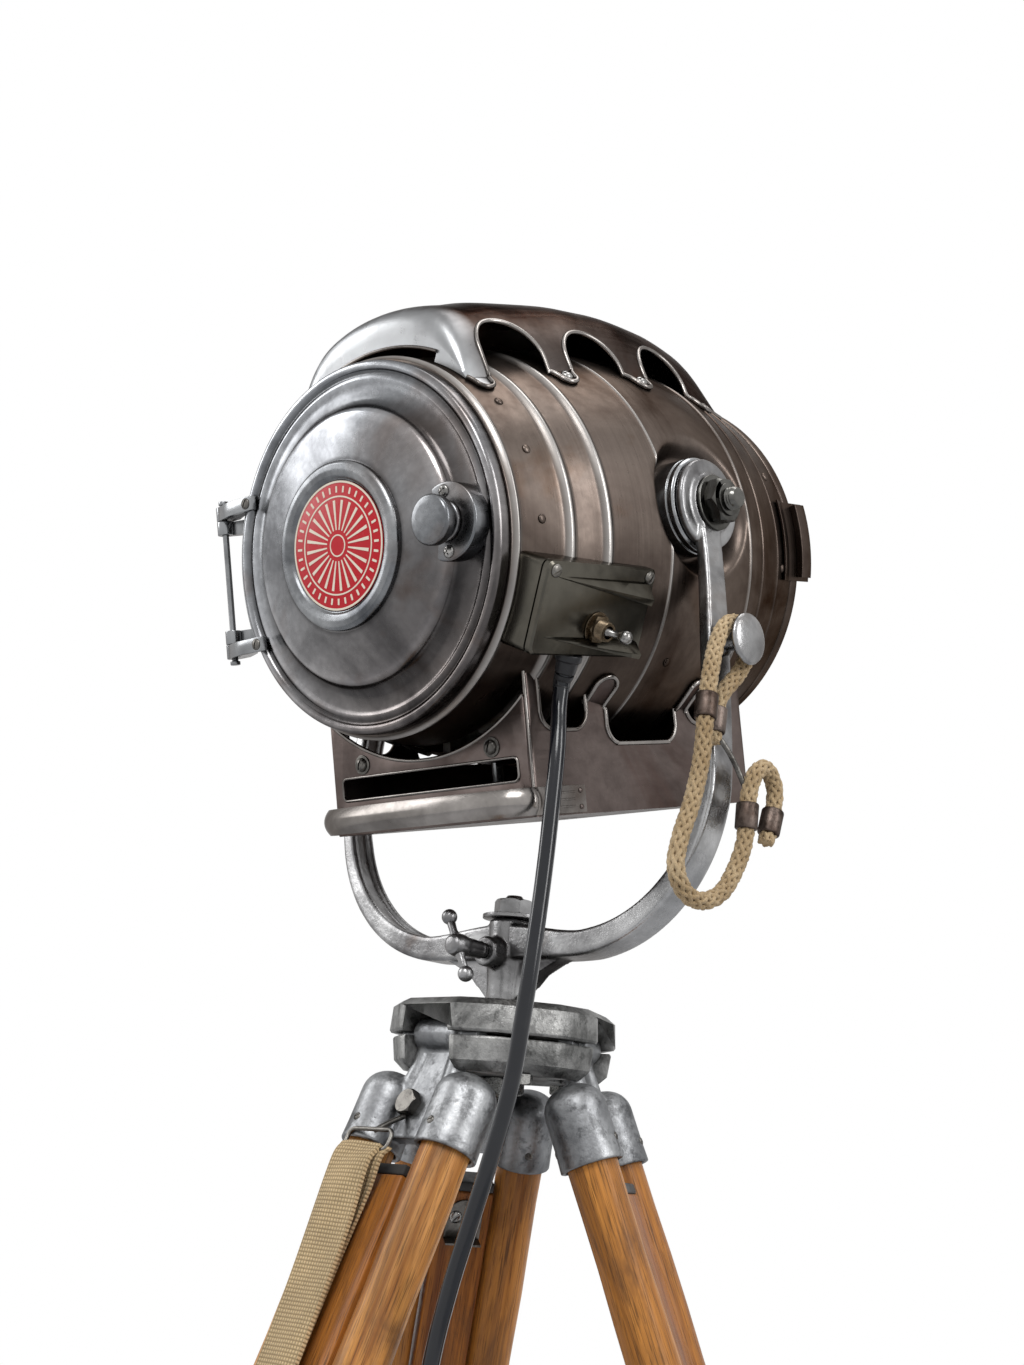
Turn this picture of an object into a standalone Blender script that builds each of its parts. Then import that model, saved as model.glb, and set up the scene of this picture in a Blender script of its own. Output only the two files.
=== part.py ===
"""Keg light: a barrel-shaped Fresnel stage lamp in its yoke, on a wooden tripod.

Metres, +Z up. The lens faces +Y and the rear door -Y. The floor is z = 0.
Head pieces are modelled about the drum's own axis, yoke and head plate about the
trunnion's centre, and each leg about its hinge pin, then placed by their axis empties.
"""

import math

import bmesh
import bpy
from mathutils import Matrix, Vector

# Fits
GAP = 0.0003            # between pieces that touch
RUN = 0.0003            # running clearance of shafts and pins
SEGMENTS = 28           # round the drum, door and lens
DISH_SEGMENTS = 20
MIDDLE_SEGMENTS = 16
SMALL_SEGMENTS = 12     # round bolts and knobs
POLE_SEGMENTS = 10
BORE_SEGMENTS = 10

# Stand and head places
TRUNNION_HEIGHT = 1.330
HEAD_TILT = math.radians(14.1)
DRUM_DROP = 0.013       # drum axis below the trunnion axis
LEG_AZIMUTHS = (math.radians(26), math.radians(146), math.radians(266))
LEG_SPLAY = math.radians(22)

# Drum
DRUM_WALL = 0.0016
DRUM_REAR = -0.155
DRUM_FRONT = 0.112
DRUM_KNOTS = (          # place along the axis, outer radius
    (-0.155, 0.1120), (-0.113, 0.1190), (-0.087, 0.1255), (-0.038, 0.1330), (-0.010, 0.1345),
    (0.015, 0.1345), (0.045, 0.1315), (0.064, 0.1285), (0.112, 0.1180),
)
BEAD_PLACES = (-0.113, -0.087)
BEAD_HALF = 0.003
BEAD_HEIGHT = 0.0018
REAR_OPENING_R = 0.098
FRONT_OPENING_R = 0.0995
DISH_R = 0.044
DISH_FLOOR_X = 0.115
DISH_DRAFT = 0.006
DISH_LEDGE = 0.0004
VENT_HALF_WIDTH = 0.036
VENT_LENGTH = 0.034

# Front
RING_OUTER_R = 0.1185
RING_DEPTH = 0.0115
RING_FLANGE = 0.0195
RING_LIP_REACH = 0.013
RING_LIP = 0.003
SLEEVE_R = RING_OUTER_R - RING_FLANGE
RING_LIP_R = SLEEVE_R - RING_LIP_REACH
SLEEVE_WALL = 0.002
SLEEVE_DEPTH = 0.012
LENS_BULGE = 0.010
LENS_EDGE = 0.006
LENS_STEPS = 4
LENS_STEP_HEIGHT = 0.0024
RETAINER_WIDTH = 0.012
RETAINER_THICK = 0.0018
EAR_HALF_ANGLE = math.radians(12.5)
EAR_ANGLES = (("ear_right", 0.0), ("ear_left", math.pi))
EAR_SHEET = 0.002
EAR_START = 0.098
EAR_REACH = 0.018
EAR_LIP = 0.012

# Rear door
DOOR_R = 0.111
DOOR_SHEET = 0.002
DOOR_PROFILE = (        # radius, depth behind the drum's rear
    (0.111, 0.0003), (0.111, 0.0080), (0.1085, 0.0098), (0.1050, 0.0098), (0.1035, 0.0078),
    (0.0980, 0.0078), (0.0850, 0.0110), (0.0820, 0.0150), (0.0780, 0.0185), (0.0640, 0.0228),
    (0.0515, 0.0258), (0.0, 0.0262),
)
BEZEL_R = 0.050
BEZEL_INNER_R = 0.0385
BEZEL_THICK = 0.0035
BADGE_THICK = 0.0016
HINGE_X = -0.130
HINGE_Y = -0.159
PIN_R = 0.002
PIN_HALF = 0.053
PIN_HEAD = 0.0025
KNUCKLE_R = 0.005
DOOR_KNUCKLE = (0.0400, 0.0490)
BODY_KNUCKLE = (0.0310, 0.0397)
LEAF_HALF_ANGLE = math.radians(23)
LEAF_SHEET = 0.0018
ARM_END_X = -0.091
ARM_SHEET = 0.0035
LATCH_X = 0.081
ESCUTCHEON_R = 0.0225
ESCUTCHEON_REACH = 0.0197
LATCH_SHAFT_R = 0.003
KNOB_NECK_R = 0.0062
KNOB_R = 0.0145
KNOB_LENGTH = 0.0145
LATCH_HOLE = (DRUM_REAR - 0.035, DRUM_REAR + 0.005)
TONGUE_LENGTH = 0.027
TONGUE_WIDTH = 0.012
TONGUE_THICK = 0.002
TONGUE_GAP = 0.0006

# Vent cover
HOOD_REAR = -0.141
HOOD_FRONT = 0.105
HOOD_SHEET = 0.002
HOOD_RISE = 0.029
HOOD_SECTION = (        # degrees from the top, share of the rise
    (0, 1.0), (11, 0.99), (18, 0.95), (23, 0.85), (28, 0.65), (34, 0.36), (40, 0.08), (44, -0.15),
)
HOOD_STATIONS = (       # place along the axis, share of the rise
    (-0.141, 0.62), (-0.139, 0.86), (-0.133, 1.03), (-0.120, 1.10), (-0.095, 1.08), (-0.060, 1.03),
    (-0.020, 1.0), (0.020, 1.0), (0.060, 1.0), (0.086, 0.95), (0.096, 0.78), (0.102, 0.52), (0.105, 0.22),
)
HOOD_CORE = 0.100
ARCH_PLACES = (-0.100, -0.034, 0.036)
ARCH_HALF = 0.0235
ARCH_TOP = 0.131
REAR_SLOT_START = math.radians(-30)     # the slot follows the drum, off the middle
REAR_SLOT_END = math.radians(26)
REAR_SLOT_HEIGHT = 0.0065
REAR_SLOT_STEPS = 6

# Base housing
BASE_HALF = 0.082
BASE_REAR = -0.1235
BASE_FRONT = 0.090
BASE_BOTTOM = -0.168
BASE_SHEET = 0.002
BASE_TOP = -0.082
SIDE_CUTS = ((-0.112, -0.070, -0.118), (-0.052, 0.016, -0.127), (0.028, 0.056, -0.116))
CUT_CORNER = 0.012
BOTTOM_SLOT = (-0.054, -0.016, 0.024, 0.040)
FOCUS_SLOT_HALF = 0.004
END_PLATE_THICK = 0.002
END_MARGIN = 0.008      # from the end plate's side to its opening
END_OPENING_Z = (-0.146, -0.133)
END_CLEAR_R = 0.127
CUT_OVER = 0.018        # how far a cutter passes the face that it cuts
BOW_HEIGHT = 0.016
BOW_SHEET = 0.0028
BOW_Z = -0.159
BOW_PATH = (            # half of the strip, from its middle to its riveted end
    (0.0, -0.1480), (0.030, -0.1470), (0.056, -0.1435), (0.0730, -0.1375), (0.0827, -0.1285),
    (0.0840, -0.1200), (0.0840, -0.0800),
)

# Switch box
BOX_TURN = math.radians(24)
BOX_FACE = 0.134
BOX_REAR = -0.150
BOX_FRONT = -0.054
BOX_HALF_HEIGHT = 0.027
BOX_DEPTH = 0.030
TOGGLE_PLACE = (-0.098, -0.010)
BUSHING_R = 0.0058
BUSHING_LENGTH = 0.010
NUT_R = 0.0088
NUT_THICK = 0.0028
PIVOT_R = 0.0036
PIVOT_PLACE = 0.0065
LEVER_R = 0.0020
LEVER_LENGTH = 0.013
LEVER_REST = math.radians(17)
LEVER_BALL_R = 0.0036
GLAND_PLACE = (-0.107, 0.0075)
GLAND_R = 0.0085
GLAND_LENGTH = 0.012

# Trunnion and yoke
BOSS_R = 0.029
BOSS_THICK = 0.0085
DISC_THICK = 0.003
HUB_R = 0.028
HUB_THICK = 0.008
BOLT_R = 0.008
BOLT_TIP_X = 0.159
TRUNNION_NUT_R = 0.0145
TRUNNION_NUT_THICK = 0.010
WASHER_R = 0.0175
WASHER_THICK = 0.002
YOKE_BOTTOM = -0.275
YOKE_HALF = 0.157
YOKE_CORNER_R = 0.104
ARM_THICK = 0.009
ARM_WIDTH = 0.018
BASE_THICK = 0.016
BASE_WIDTH = 0.024
BOSS_TOP = -0.250
BOSS_FOOT = -0.304
BOSS_TUBE_R = 0.0125
SPIGOT_R = 0.009
PAN_BOLT_R = 0.005
PAN_HEX_R = 0.0115
PAN_HEX_HEIGHT = 0.011
PAN_WASHER_R = 0.019
PAN_WASHER_THICK = 0.0025
CLAMP_Z = -0.272
CLAMP_LUG_R = 0.0095
CLAMP_LUG_END = -0.024
CLAMP_STEM_R = 0.0045
CLAMP_HUB_Y = -0.047
CLAMP_HUB_R = 0.0065
CLAMP_BAR_R = 0.0026
CLAMP_BAR_HALF = 0.0195
CLAMP_BALL_R = 0.0048
CLAMP_TURN = math.radians(27)
STUD_Z = -0.091
STUD_NECK_R = 0.0055
STUD_CAP_R = 0.0155
STUD_TIP_X = 0.174
STUD_CAP_THICK = 0.006

# Tripod
PLATE_R = 0.070
PLATE_THICK = 0.020
PLATE_GAP = 0.0022
SLOT_START_R = 0.033
SLOT_WIDTH = 0.040
SLOT_ROOF = 0.0045       # left over the slots in the top plate
PLATE_NUT_R = 0.015
PLATE_NUT_THICK = 0.010
LEG_PIN_R = 0.048
LEG_PIN_Z = -0.3253
BARREL_R = 0.0095
LEG_PIN_SHAFT_R = 0.0050
LEG_PIN_HALF = 0.034
POLE_X = -0.006
POLE_SPACING = 0.066
POLE_R = 0.015
FERRULE_R = 0.0185
FERRULE_TOP = -0.024
FERRULE_BOTTOM = -0.072
WEB_HALF_TOP = 0.0165
WEB_HALF_BOTTOM = 0.0140
WEB_THICK = 0.013
WEB_BOTTOM = -0.066
POLE_TOP = -0.032
COLLAR_TOP = -0.745
COLLAR_HEIGHT = 0.045
COLLAR_HALF_WIDTH = 0.054
COLLAR_HALF_DEPTH = 0.0205
COLLAR_FLOOR = 0.008     # left under the poles in their collar
POLE_BOTTOM = COLLAR_TOP - COLLAR_HEIGHT + COLLAR_FLOOR
BOARD_WIDTH = 0.034
BOARD_THICK = 0.020
BOARD_TOP = -0.090
SHOE_LENGTH = 0.058
SHOE_R = 0.0155
BALL_R = 0.018
BALL_HEIGHT = 0.0155
STRAP_WIDTH = 0.034
STRAP_THICK = 0.003
STRAP_OFFSET = 0.0072    # from the poles' plane to the line that the strap follows
STRAP_Y = -0.014
STRAP_TOP = -0.078
STRAP_BOTTOM = -0.560

# Light source and focus carriage
CARRIAGE_Y = -0.052
CARRIAGE_HALF = 0.026
CARRIAGE_TOP = -0.075
CARRIAGE_THICK = 0.004
SOCKET_R = 0.019
SOCKET_HEIGHT = 0.036
BULB_R = 0.027
REFLECTOR_R = 0.052
REFLECTOR_DEPTH = 0.016
REFLECTOR_BACK = -0.046
FOCUS_STEM_R = 0.0035
FOCUS_KNOB_R = 0.011
FOCUS_KNOB_X = -0.104
FOCUS_TRAVEL = 0.060
FOCUS_ARM_X = -0.010
FOCUS_Z = -0.149
RAIL_ENDS = (-0.1245, 0.0750)

# Soft lines
CORD_R = 0.0047
ROPE_R = 0.0052


# Meshes

def lathe(profile, axis="Y", segments=SEGMENTS, phase=0.0):
    """A solid turned about an axis from a closed outline of (radius, place along the axis)."""
    bm = bmesh.new()
    rings = []
    for radius, place in profile:
        count = segments if radius > 1e-9 else 1
        ring = []
        for i in range(count):
            angle = 2 * math.pi * (i + phase) / segments
            c, s = radius * math.cos(angle), radius * math.sin(angle)
            ring.append(bm.verts.new({"X": (place, c, s), "Y": (c, place, s), "Z": (c, s, place)}[axis]))
        rings.append(ring)
    for a, b in zip(rings, rings[1:] + rings[:1]):
        if len(a) == 1 and len(b) == 1:
            continue
        for i in range(segments):
            j = (i + 1) % segments
            if len(a) == 1:
                bm.faces.new((a[0], b[i], b[j]))
            elif len(b) == 1:
                bm.faces.new((a[i], a[j], b[0]))
            else:
                bm.faces.new((a[i], a[j], b[j], b[i]))
    bmesh.ops.recalc_face_normals(bm, faces=bm.faces)
    return bm


def loft(sections):
    """A closed solid through rings of equally many points, capped at both ends."""
    bm = bmesh.new()
    rings = [[bm.verts.new(p) for p in section] for section in sections]
    for a, b in zip(rings, rings[1:]):
        for i in range(len(a)):
            j = (i + 1) % len(a)
            bm.faces.new((a[i], a[j], b[j], b[i]))
    bm.faces.new(rings[0])
    bm.faces.new(rings[-1])
    bmesh.ops.recalc_face_normals(bm, faces=bm.faces)
    return bm


def prism(outline, low, high, axis="Z"):
    """An outline extruded along an axis; its two coordinates are the other axes in X, Y, Z order."""
    place = {
        "X": lambda a, b, h: (h, a, b),
        "Y": lambda a, b, h: (a, h, b),
        "Z": lambda a, b, h: (a, b, h),
    }[axis]
    return loft([[place(a, b, h) for a, b in outline] for h in (low, high)])


def box(low, high):
    """A box between two corners."""
    outline = ((low[0], low[1]), (high[0], low[1]), (high[0], high[1]), (low[0], high[1]))
    return prism(outline, low[2], high[2])


def rod(radius, low, high, axis="Z", segments=SMALL_SEGMENTS):
    """A plain cylinder on an axis."""
    return lathe([(0, low), (radius, low), (radius, high), (0, high)], axis, segments)


def bore(radius, low, high, axis="Z"):
    """A hole's cutter whose flats clear the radius, turned so that its edges miss its host's."""
    r = radius / math.cos(math.pi / BORE_SEGMENTS)
    return lathe([(0, low), (r, low), (r, high), (0, high)], axis, BORE_SEGMENTS, 0.5)


def hexagon(radius, low, high, axis="Z"):
    """A hexagonal nut or head on an axis."""
    return lathe([(0, low), (radius, low), (radius, high), (0, high)], axis, 6)


def arc_band(profile, start, end, steps):
    """A closed (radius, y) outline turned about Y through part of a circle."""
    sections = []
    for i in range(steps + 1):
        angle = start + (end - start) * i / steps
        sections.append([(r * math.cos(angle), y, r * math.sin(angle)) for r, y in profile])
    return loft(sections)


def capsule_outline(half, low, top, steps=10):
    """Straight sides from low, closed at the top by a half circle of radius half."""
    centre = top - half
    points = [(half, low)]
    for i in range(steps + 1):
        angle = math.pi * i / steps
        points.append((half * math.cos(angle), centre + half * math.sin(angle)))
    points.append((-half, low))
    return points


def rounded_outline(half_a, half_b, corner, steps=4):
    """A rectangle with round corners."""
    points = []
    for k, (sa, sb) in enumerate(((1, 1), (-1, 1), (-1, -1), (1, -1))):
        for i in range(steps + 1):
            angle = math.pi / 2 * (k + i / steps)
            points.append((
                sa * (half_a - corner) + corner * math.cos(angle),
                sb * (half_b - corner) + corner * math.sin(angle),
            ))
    return points


def smooth_path(points, steps):
    """Points along a Catmull-Rom curve through the route's own points."""
    route = [Vector(p) for p in points]
    route = [route[0] * 2 - route[1]] + route + [route[-1] * 2 - route[-2]]
    found = []
    for a, b, c, d in zip(route, route[1:], route[2:], route[3:]):
        for i in range(steps):
            t = i / steps
            found.append(0.5 * (
                2 * b + (c - a) * t + (2 * a - 5 * b + 4 * c - d) * t * t
                + (3 * b - a - 3 * c + d) * t ** 3
            ))
    return found + [route[-2]]


# Scene

def clear_scene():
    for thing in list(bpy.data.objects):
        bpy.data.objects.remove(thing, do_unlink=True)


PLACES = {}             # an axis empty's place in its pieces' own frame
MATERIALS = {}


def material(name, color, roughness, metallic):
    """A Principled material, one for each object."""
    made = bpy.data.materials.new(name)
    made.use_nodes = True
    shader = made.node_tree.nodes["Principled BSDF"]
    shader.inputs["Base Color"].default_value = (*color, 1)
    shader.inputs["Roughness"].default_value = roughness
    shader.inputs["Metallic"].default_value = metallic
    return made


FINISHES = {
    "dark_steel": ((0.20, 0.19, 0.18), 0.28, 1.0),
    "bright_steel": ((0.46, 0.47, 0.49), 0.25, 1.0),
    "cast_zinc": ((0.52, 0.54, 0.56), 0.42, 1.0),
    "forged_steel": ((0.40, 0.40, 0.41), 0.35, 1.0),
    "wood": ((0.48, 0.20, 0.06), 0.45, 0.0),
    "webbing": ((0.28, 0.24, 0.15), 0.9, 0.0),
    "jute": ((0.52, 0.42, 0.26), 0.95, 0.0),
    "black_rubber": ((0.015, 0.016, 0.018), 0.35, 0.0),
    "enamel": ((0.55, 0.03, 0.03), 0.3, 0.0),
    "brass": ((0.55, 0.42, 0.22), 0.35, 1.0),
    "glass": ((0.75, 0.80, 0.80), 0.05, 0.0),
    "mirror": ((0.80, 0.80, 0.80), 0.08, 1.0),
    "ceramic": ((0.75, 0.72, 0.66), 0.5, 0.0),
}


def empty(name, location, parent=None, rotation=(0, 0, 0), place=(0, 0, 0)):
    """An axis empty; place is where its axis lies in the frame that its pieces are modelled in."""
    made = bpy.data.objects.new(name, None)
    bpy.context.scene.collection.objects.link(made)
    made.parent = parent
    made.location = location
    made.rotation_euler = rotation
    PLACES[name] = Vector(place)
    return made


def piece(name, bm, finish, axis, smooth=True):
    """One named node, hung on its axis empty."""
    bmesh.ops.translate(bm, verts=bm.verts, vec=-PLACES[axis.name])
    mesh = bpy.data.meshes.new(name)
    bm.to_mesh(mesh)
    bm.free()
    if smooth:
        mesh.shade_smooth()
        mesh.set_sharp_from_angle(angle=math.radians(35))
    mesh.materials.append(material(name, *FINISHES[finish]))
    made = bpy.data.objects.new(name, mesh)
    bpy.context.scene.collection.objects.link(made)
    made.parent = axis
    return made


def tool(name, bm, axis):
    """A hidden guide that a Boolean reads."""
    mesh = bpy.data.meshes.new(name)
    if axis is not None:
        bmesh.ops.translate(bm, verts=bm.verts, vec=-PLACES[axis.name])
    bm.to_mesh(mesh)
    bm.free()
    made = bpy.data.objects.new(name, mesh)
    bpy.context.scene.collection.objects.link(made)
    made.parent = axis
    made.hide_render = True
    made.display_type = "WIRE"
    return made


MANIFOLD_HOSTS = ("top_vent_cover", "yoke_fork")    # the exact solver leaves these two open


def boolean(host, guide, operation="DIFFERENCE"):
    modifier = host.modifiers.new(guide.name, "BOOLEAN")
    modifier.operation = operation
    modifier.solver = "MANIFOLD" if host.name in MANIFOLD_HOSTS else "EXACT"
    modifier.object = guide


def cut(host, axis, **shapes):
    for name, bm in shapes.items():
        boolean(host, tool(host.name + "_" + name, bm, axis))


def add(host, axis, **shapes):
    for name, bm in shapes.items():
        boolean(host, tool(host.name + "_" + name, bm, axis), "UNION")


def moved(bm, vector, turn=None):
    if turn is not None:
        bmesh.ops.transform(bm, verts=bm.verts, matrix=turn)
    bmesh.ops.translate(bm, verts=bm.verts, vec=vector)
    return bm


# Drum

def drum_radius(y):
    """Outer radius of the barrel at a place along its axis."""
    for (y0, r0), (y1, r1) in zip(DRUM_KNOTS, DRUM_KNOTS[1:]):
        if y <= y1:
            return r0 + (r1 - r0) * (y - y0) / (y1 - y0)
    return DRUM_KNOTS[-1][1]


def barrel_points(margin, beads):
    """The barrel's profile, grown outward by a margin."""
    points = []
    for y, r in DRUM_KNOTS:
        if beads and y in BEAD_PLACES:
            points += [
                (drum_radius(y - BEAD_HALF) + margin, y - BEAD_HALF),
                (r + BEAD_HEIGHT + margin, y),
                (drum_radius(y + BEAD_HALF) + margin, y + BEAD_HALF),
            ]
        else:
            points.append((r + margin, y))
    return points


def drum_body(margin):
    """The whole barrel as a solid, grown outward by a margin."""
    return lathe([(0, DRUM_REAR)] + barrel_points(margin, True) + [(0, DRUM_FRONT)])


def drum_inside(margin):
    """The barrel's cavity as a solid, shrunk by a margin."""
    low, high = DRUM_REAR + DRUM_WALL + margin, DRUM_FRONT - DRUM_WALL - margin
    points = [(r, y) for r, y in barrel_points(-DRUM_WALL - margin, False)[1:-1]]
    ends = [drum_radius(y) - DRUM_WALL - margin for y in (low, high)]
    return lathe([(0, low), (ends[0], low)] + points + [(ends[1], high), (0, high)])


def make_drum(head):
    low, high = DRUM_REAR + DRUM_WALL, DRUM_FRONT - DRUM_WALL
    inner = [(drum_radius(high) - DRUM_WALL, high)]
    inner += reversed(barrel_points(-DRUM_WALL, False)[1:-1])
    inner += [(drum_radius(low) - DRUM_WALL, low)]
    outline = [(REAR_OPENING_R, DRUM_REAR)] + barrel_points(0, True) + [(FRONT_OPENING_R, DRUM_FRONT)]
    outline += [(FRONT_OPENING_R, high)] + inner + [(REAR_OPENING_R, low)]
    drum = piece("drum_shell", lathe(outline), "dark_steel", head)
    for name, side in (("right", 1), ("left", -1)):
        floor = side * DISH_FLOOR_X
        under = floor - side * DRUM_WALL
        mouth = side * 0.15
        pan = lathe([
            (BOLT_R + RUN, under), (DISH_R + DRUM_WALL, under), (DISH_R + DRUM_WALL, mouth),
            (DISH_R - DISH_LEDGE, mouth), (DISH_R - DISH_LEDGE, floor + side * DISH_DRAFT),
            (DISH_R - DISH_DRAFT, floor), (BOLT_R + RUN, floor),
        ], "X", DISH_SEGMENTS)
        guide = tool("drum_dish_" + name, moved(pan, (0, 0, DRUM_DROP)), head)
        boolean(guide, tool("drum_middle_" + name, drum_body(-DRUM_WALL / 2), head), "INTERSECT")
        hole = rod(DISH_R, side * 0.09, mouth, "X", DISH_SEGMENTS)
        cut(drum, head, **{"dish_hole_" + name: moved(hole, (0, 0, DRUM_DROP))})
        boolean(drum, guide, "UNION")
    for i, y in enumerate(ARCH_PLACES):
        for name, low, high in (("top", 0.09, 0.15), ("bottom", -0.15, -0.09)):
            vent = box((-VENT_HALF_WIDTH, y - VENT_LENGTH / 2, low),
                       (VENT_HALF_WIDTH, y + VENT_LENGTH / 2, high))
            cut(drum, head, **{"vent_%s_%d" % (name, i + 1): vent})
    low, high = focus_way()
    cut(drum, head, focus_way=box((FOCUS_ARM_X - 0.004, low, -0.15), (FOCUS_ARM_X + 0.004, high, -0.10)))


def focus_way():
    """The stretch along the drum that the focus arm moves through."""
    return CARRIAGE_Y - FOCUS_STEM_R - 0.0015, CARRIAGE_Y + FOCUS_TRAVEL + FOCUS_STEM_R + 0.0015


def make_front(head):
    back = DRUM_FRONT + GAP
    face = back + RING_DEPTH
    inner = SLEEVE_R - SLEEVE_WALL
    ring = lathe([
        (SLEEVE_R, back), (RING_OUTER_R, back), (RING_OUTER_R, face - 0.005), (RING_OUTER_R - 0.0035, face),
        (RING_LIP_R, face), (RING_LIP_R, face - RING_LIP), (inner, face - RING_LIP),
        (inner, back - SLEEVE_DEPTH), (SLEEVE_R, back - SLEEVE_DEPTH),
    ])
    piece("front_ring", ring, "dark_steel", head)
    rim = inner - RUN
    seat = face - RING_LIP - GAP
    outline = [(0, seat - LENS_EDGE), (rim, seat - LENS_EDGE), (rim, seat), (RING_LIP_R - 0.001, seat)]
    step = (RING_LIP_R - 0.001) / (LENS_STEPS + 1)
    for k in range(LENS_STEPS):
        r = RING_LIP_R - 0.001 - step * (k + 0.6)
        outline += [(r + step * 0.2, seat + LENS_STEP_HEIGHT), (r, seat)]
    outline += [(step * 0.8, seat + LENS_BULGE * 0.7), (0, seat + LENS_BULGE)]
    piece("fresnel_lens", lathe(outline), "glass", head)
    clip = seat - LENS_EDGE - GAP
    piece("lens_retainer", lathe([(rim, clip), (rim - RETAINER_WIDTH, clip),
                                  (rim - RETAINER_WIDTH, clip - RETAINER_THICK), (rim,
                                      clip - RETAINER_THICK)]),
          "bright_steel", head)
    reach = face + EAR_REACH / 3
    foot = drum_radius(EAR_START) + GAP
    wall = max(foot, RING_OUTER_R + GAP)
    knee = back - GAP
    outline = [(foot, EAR_START), (foot + EAR_SHEET, EAR_START), (wall + EAR_SHEET, knee - EAR_SHEET),
               (wall + EAR_SHEET, reach), (wall - EAR_LIP, reach), (wall - EAR_LIP, reach - EAR_SHEET),
               (wall, reach - EAR_SHEET), (wall, knee)]
    for name, angle in EAR_ANGLES:
        piece(name, arc_band(outline, angle - EAR_HALF_ANGLE, angle + EAR_HALF_ANGLE, 6), "dark_steel",
              head)


# Rear door

def door_outline(offset, back):
    """The door's outer profile, moved rearward by an offset and closed at a place inside."""
    points = [(r, DRUM_REAR - depth - offset) for r, depth in DOOR_PROFILE]
    return [(0, back), (DOOR_R, back)] + points[1:]


def make_door(door, latch):
    outer = [(r, DRUM_REAR - depth) for r, depth in DOOR_PROFILE]
    inner = [(0, outer[-1][1] + DOOR_SHEET)]
    for r, y in reversed(outer[2:-1]):
        inner.append((r - DOOR_SHEET * 0.4, y + DOOR_SHEET))
    inner.append((DOOR_R - DOOR_SHEET, outer[0][1]))
    panel = piece("rear_door", lathe(outer + inner), "bright_steel", door)
    hole = {"latch_hole": moved(bore(LATCH_SHAFT_R + RUN, *LATCH_HOLE, "Y"), (LATCH_X, 0, 0))}
    cut(panel, door, **hole)

    face = DRUM_REAR - DOOR_PROFILE[-2][1] - GAP
    base = DRUM_REAR - DOOR_PROFILE[-1][1] - GAP
    piece("badge_bezel", lathe([(BEZEL_R, face), (BEZEL_R, base - BEZEL_THICK * 0.6),
                                (BEZEL_R - 0.004, base - BEZEL_THICK), (BEZEL_INNER_R + 0.003,
                                    base - BEZEL_THICK),
                                (BEZEL_INNER_R, base - BADGE_THICK), (BEZEL_INNER_R, base)]),
          "bright_steel", door)
    piece("badge_plate", rod(BEZEL_INNER_R - GAP, base - BADGE_THICK, base, "Y", SEGMENTS), "enamel", door)

    seat = DRUM_REAR - ESCUTCHEON_REACH
    escutcheon = piece("latch_escutcheon", moved(rod(ESCUTCHEON_R, seat, DRUM_REAR - 0.004, "Y", 20),
                                                 (LATCH_X, 0, 0)), "bright_steel", door)
    cut(escutcheon, door, seat=lathe(door_outline(GAP, DRUM_REAR + 0.01)),
        hole=moved(bore(LATCH_SHAFT_R + RUN, *LATCH_HOLE, "Y"), (LATCH_X, 0, 0)))

    front = seat - GAP
    behind = DRUM_REAR + DRUM_WALL + TONGUE_GAP
    knob = lathe([(0, behind + 0.0005), (LATCH_SHAFT_R, behind + 0.0005), (LATCH_SHAFT_R, front),
                  (KNOB_NECK_R, front),
                  (KNOB_NECK_R, front - KNOB_LENGTH * 0.36),
                  (KNOB_R, front - KNOB_LENGTH * 0.42), (KNOB_R, front - KNOB_LENGTH * 0.85),
                  (KNOB_R * 0.82, front - KNOB_LENGTH), (0, front - KNOB_LENGTH)], "Y", MIDDLE_SEGMENTS)
    turned = piece("latch_knob", moved(knob, (LATCH_X, 0, 0)), "bright_steel", latch)
    tongue = box((LATCH_X - TONGUE_LENGTH, behind, -TONGUE_WIDTH / 2),
                 (LATCH_X + TONGUE_WIDTH / 2, behind + TONGUE_THICK, TONGUE_WIDTH / 2))
    add(turned, latch, tongue=tongue)


def knuckle_span(low, high):
    return moved(rod(KNUCKLE_R, low, high, segments=12), (HINGE_X, HINGE_Y, 0))


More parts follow.
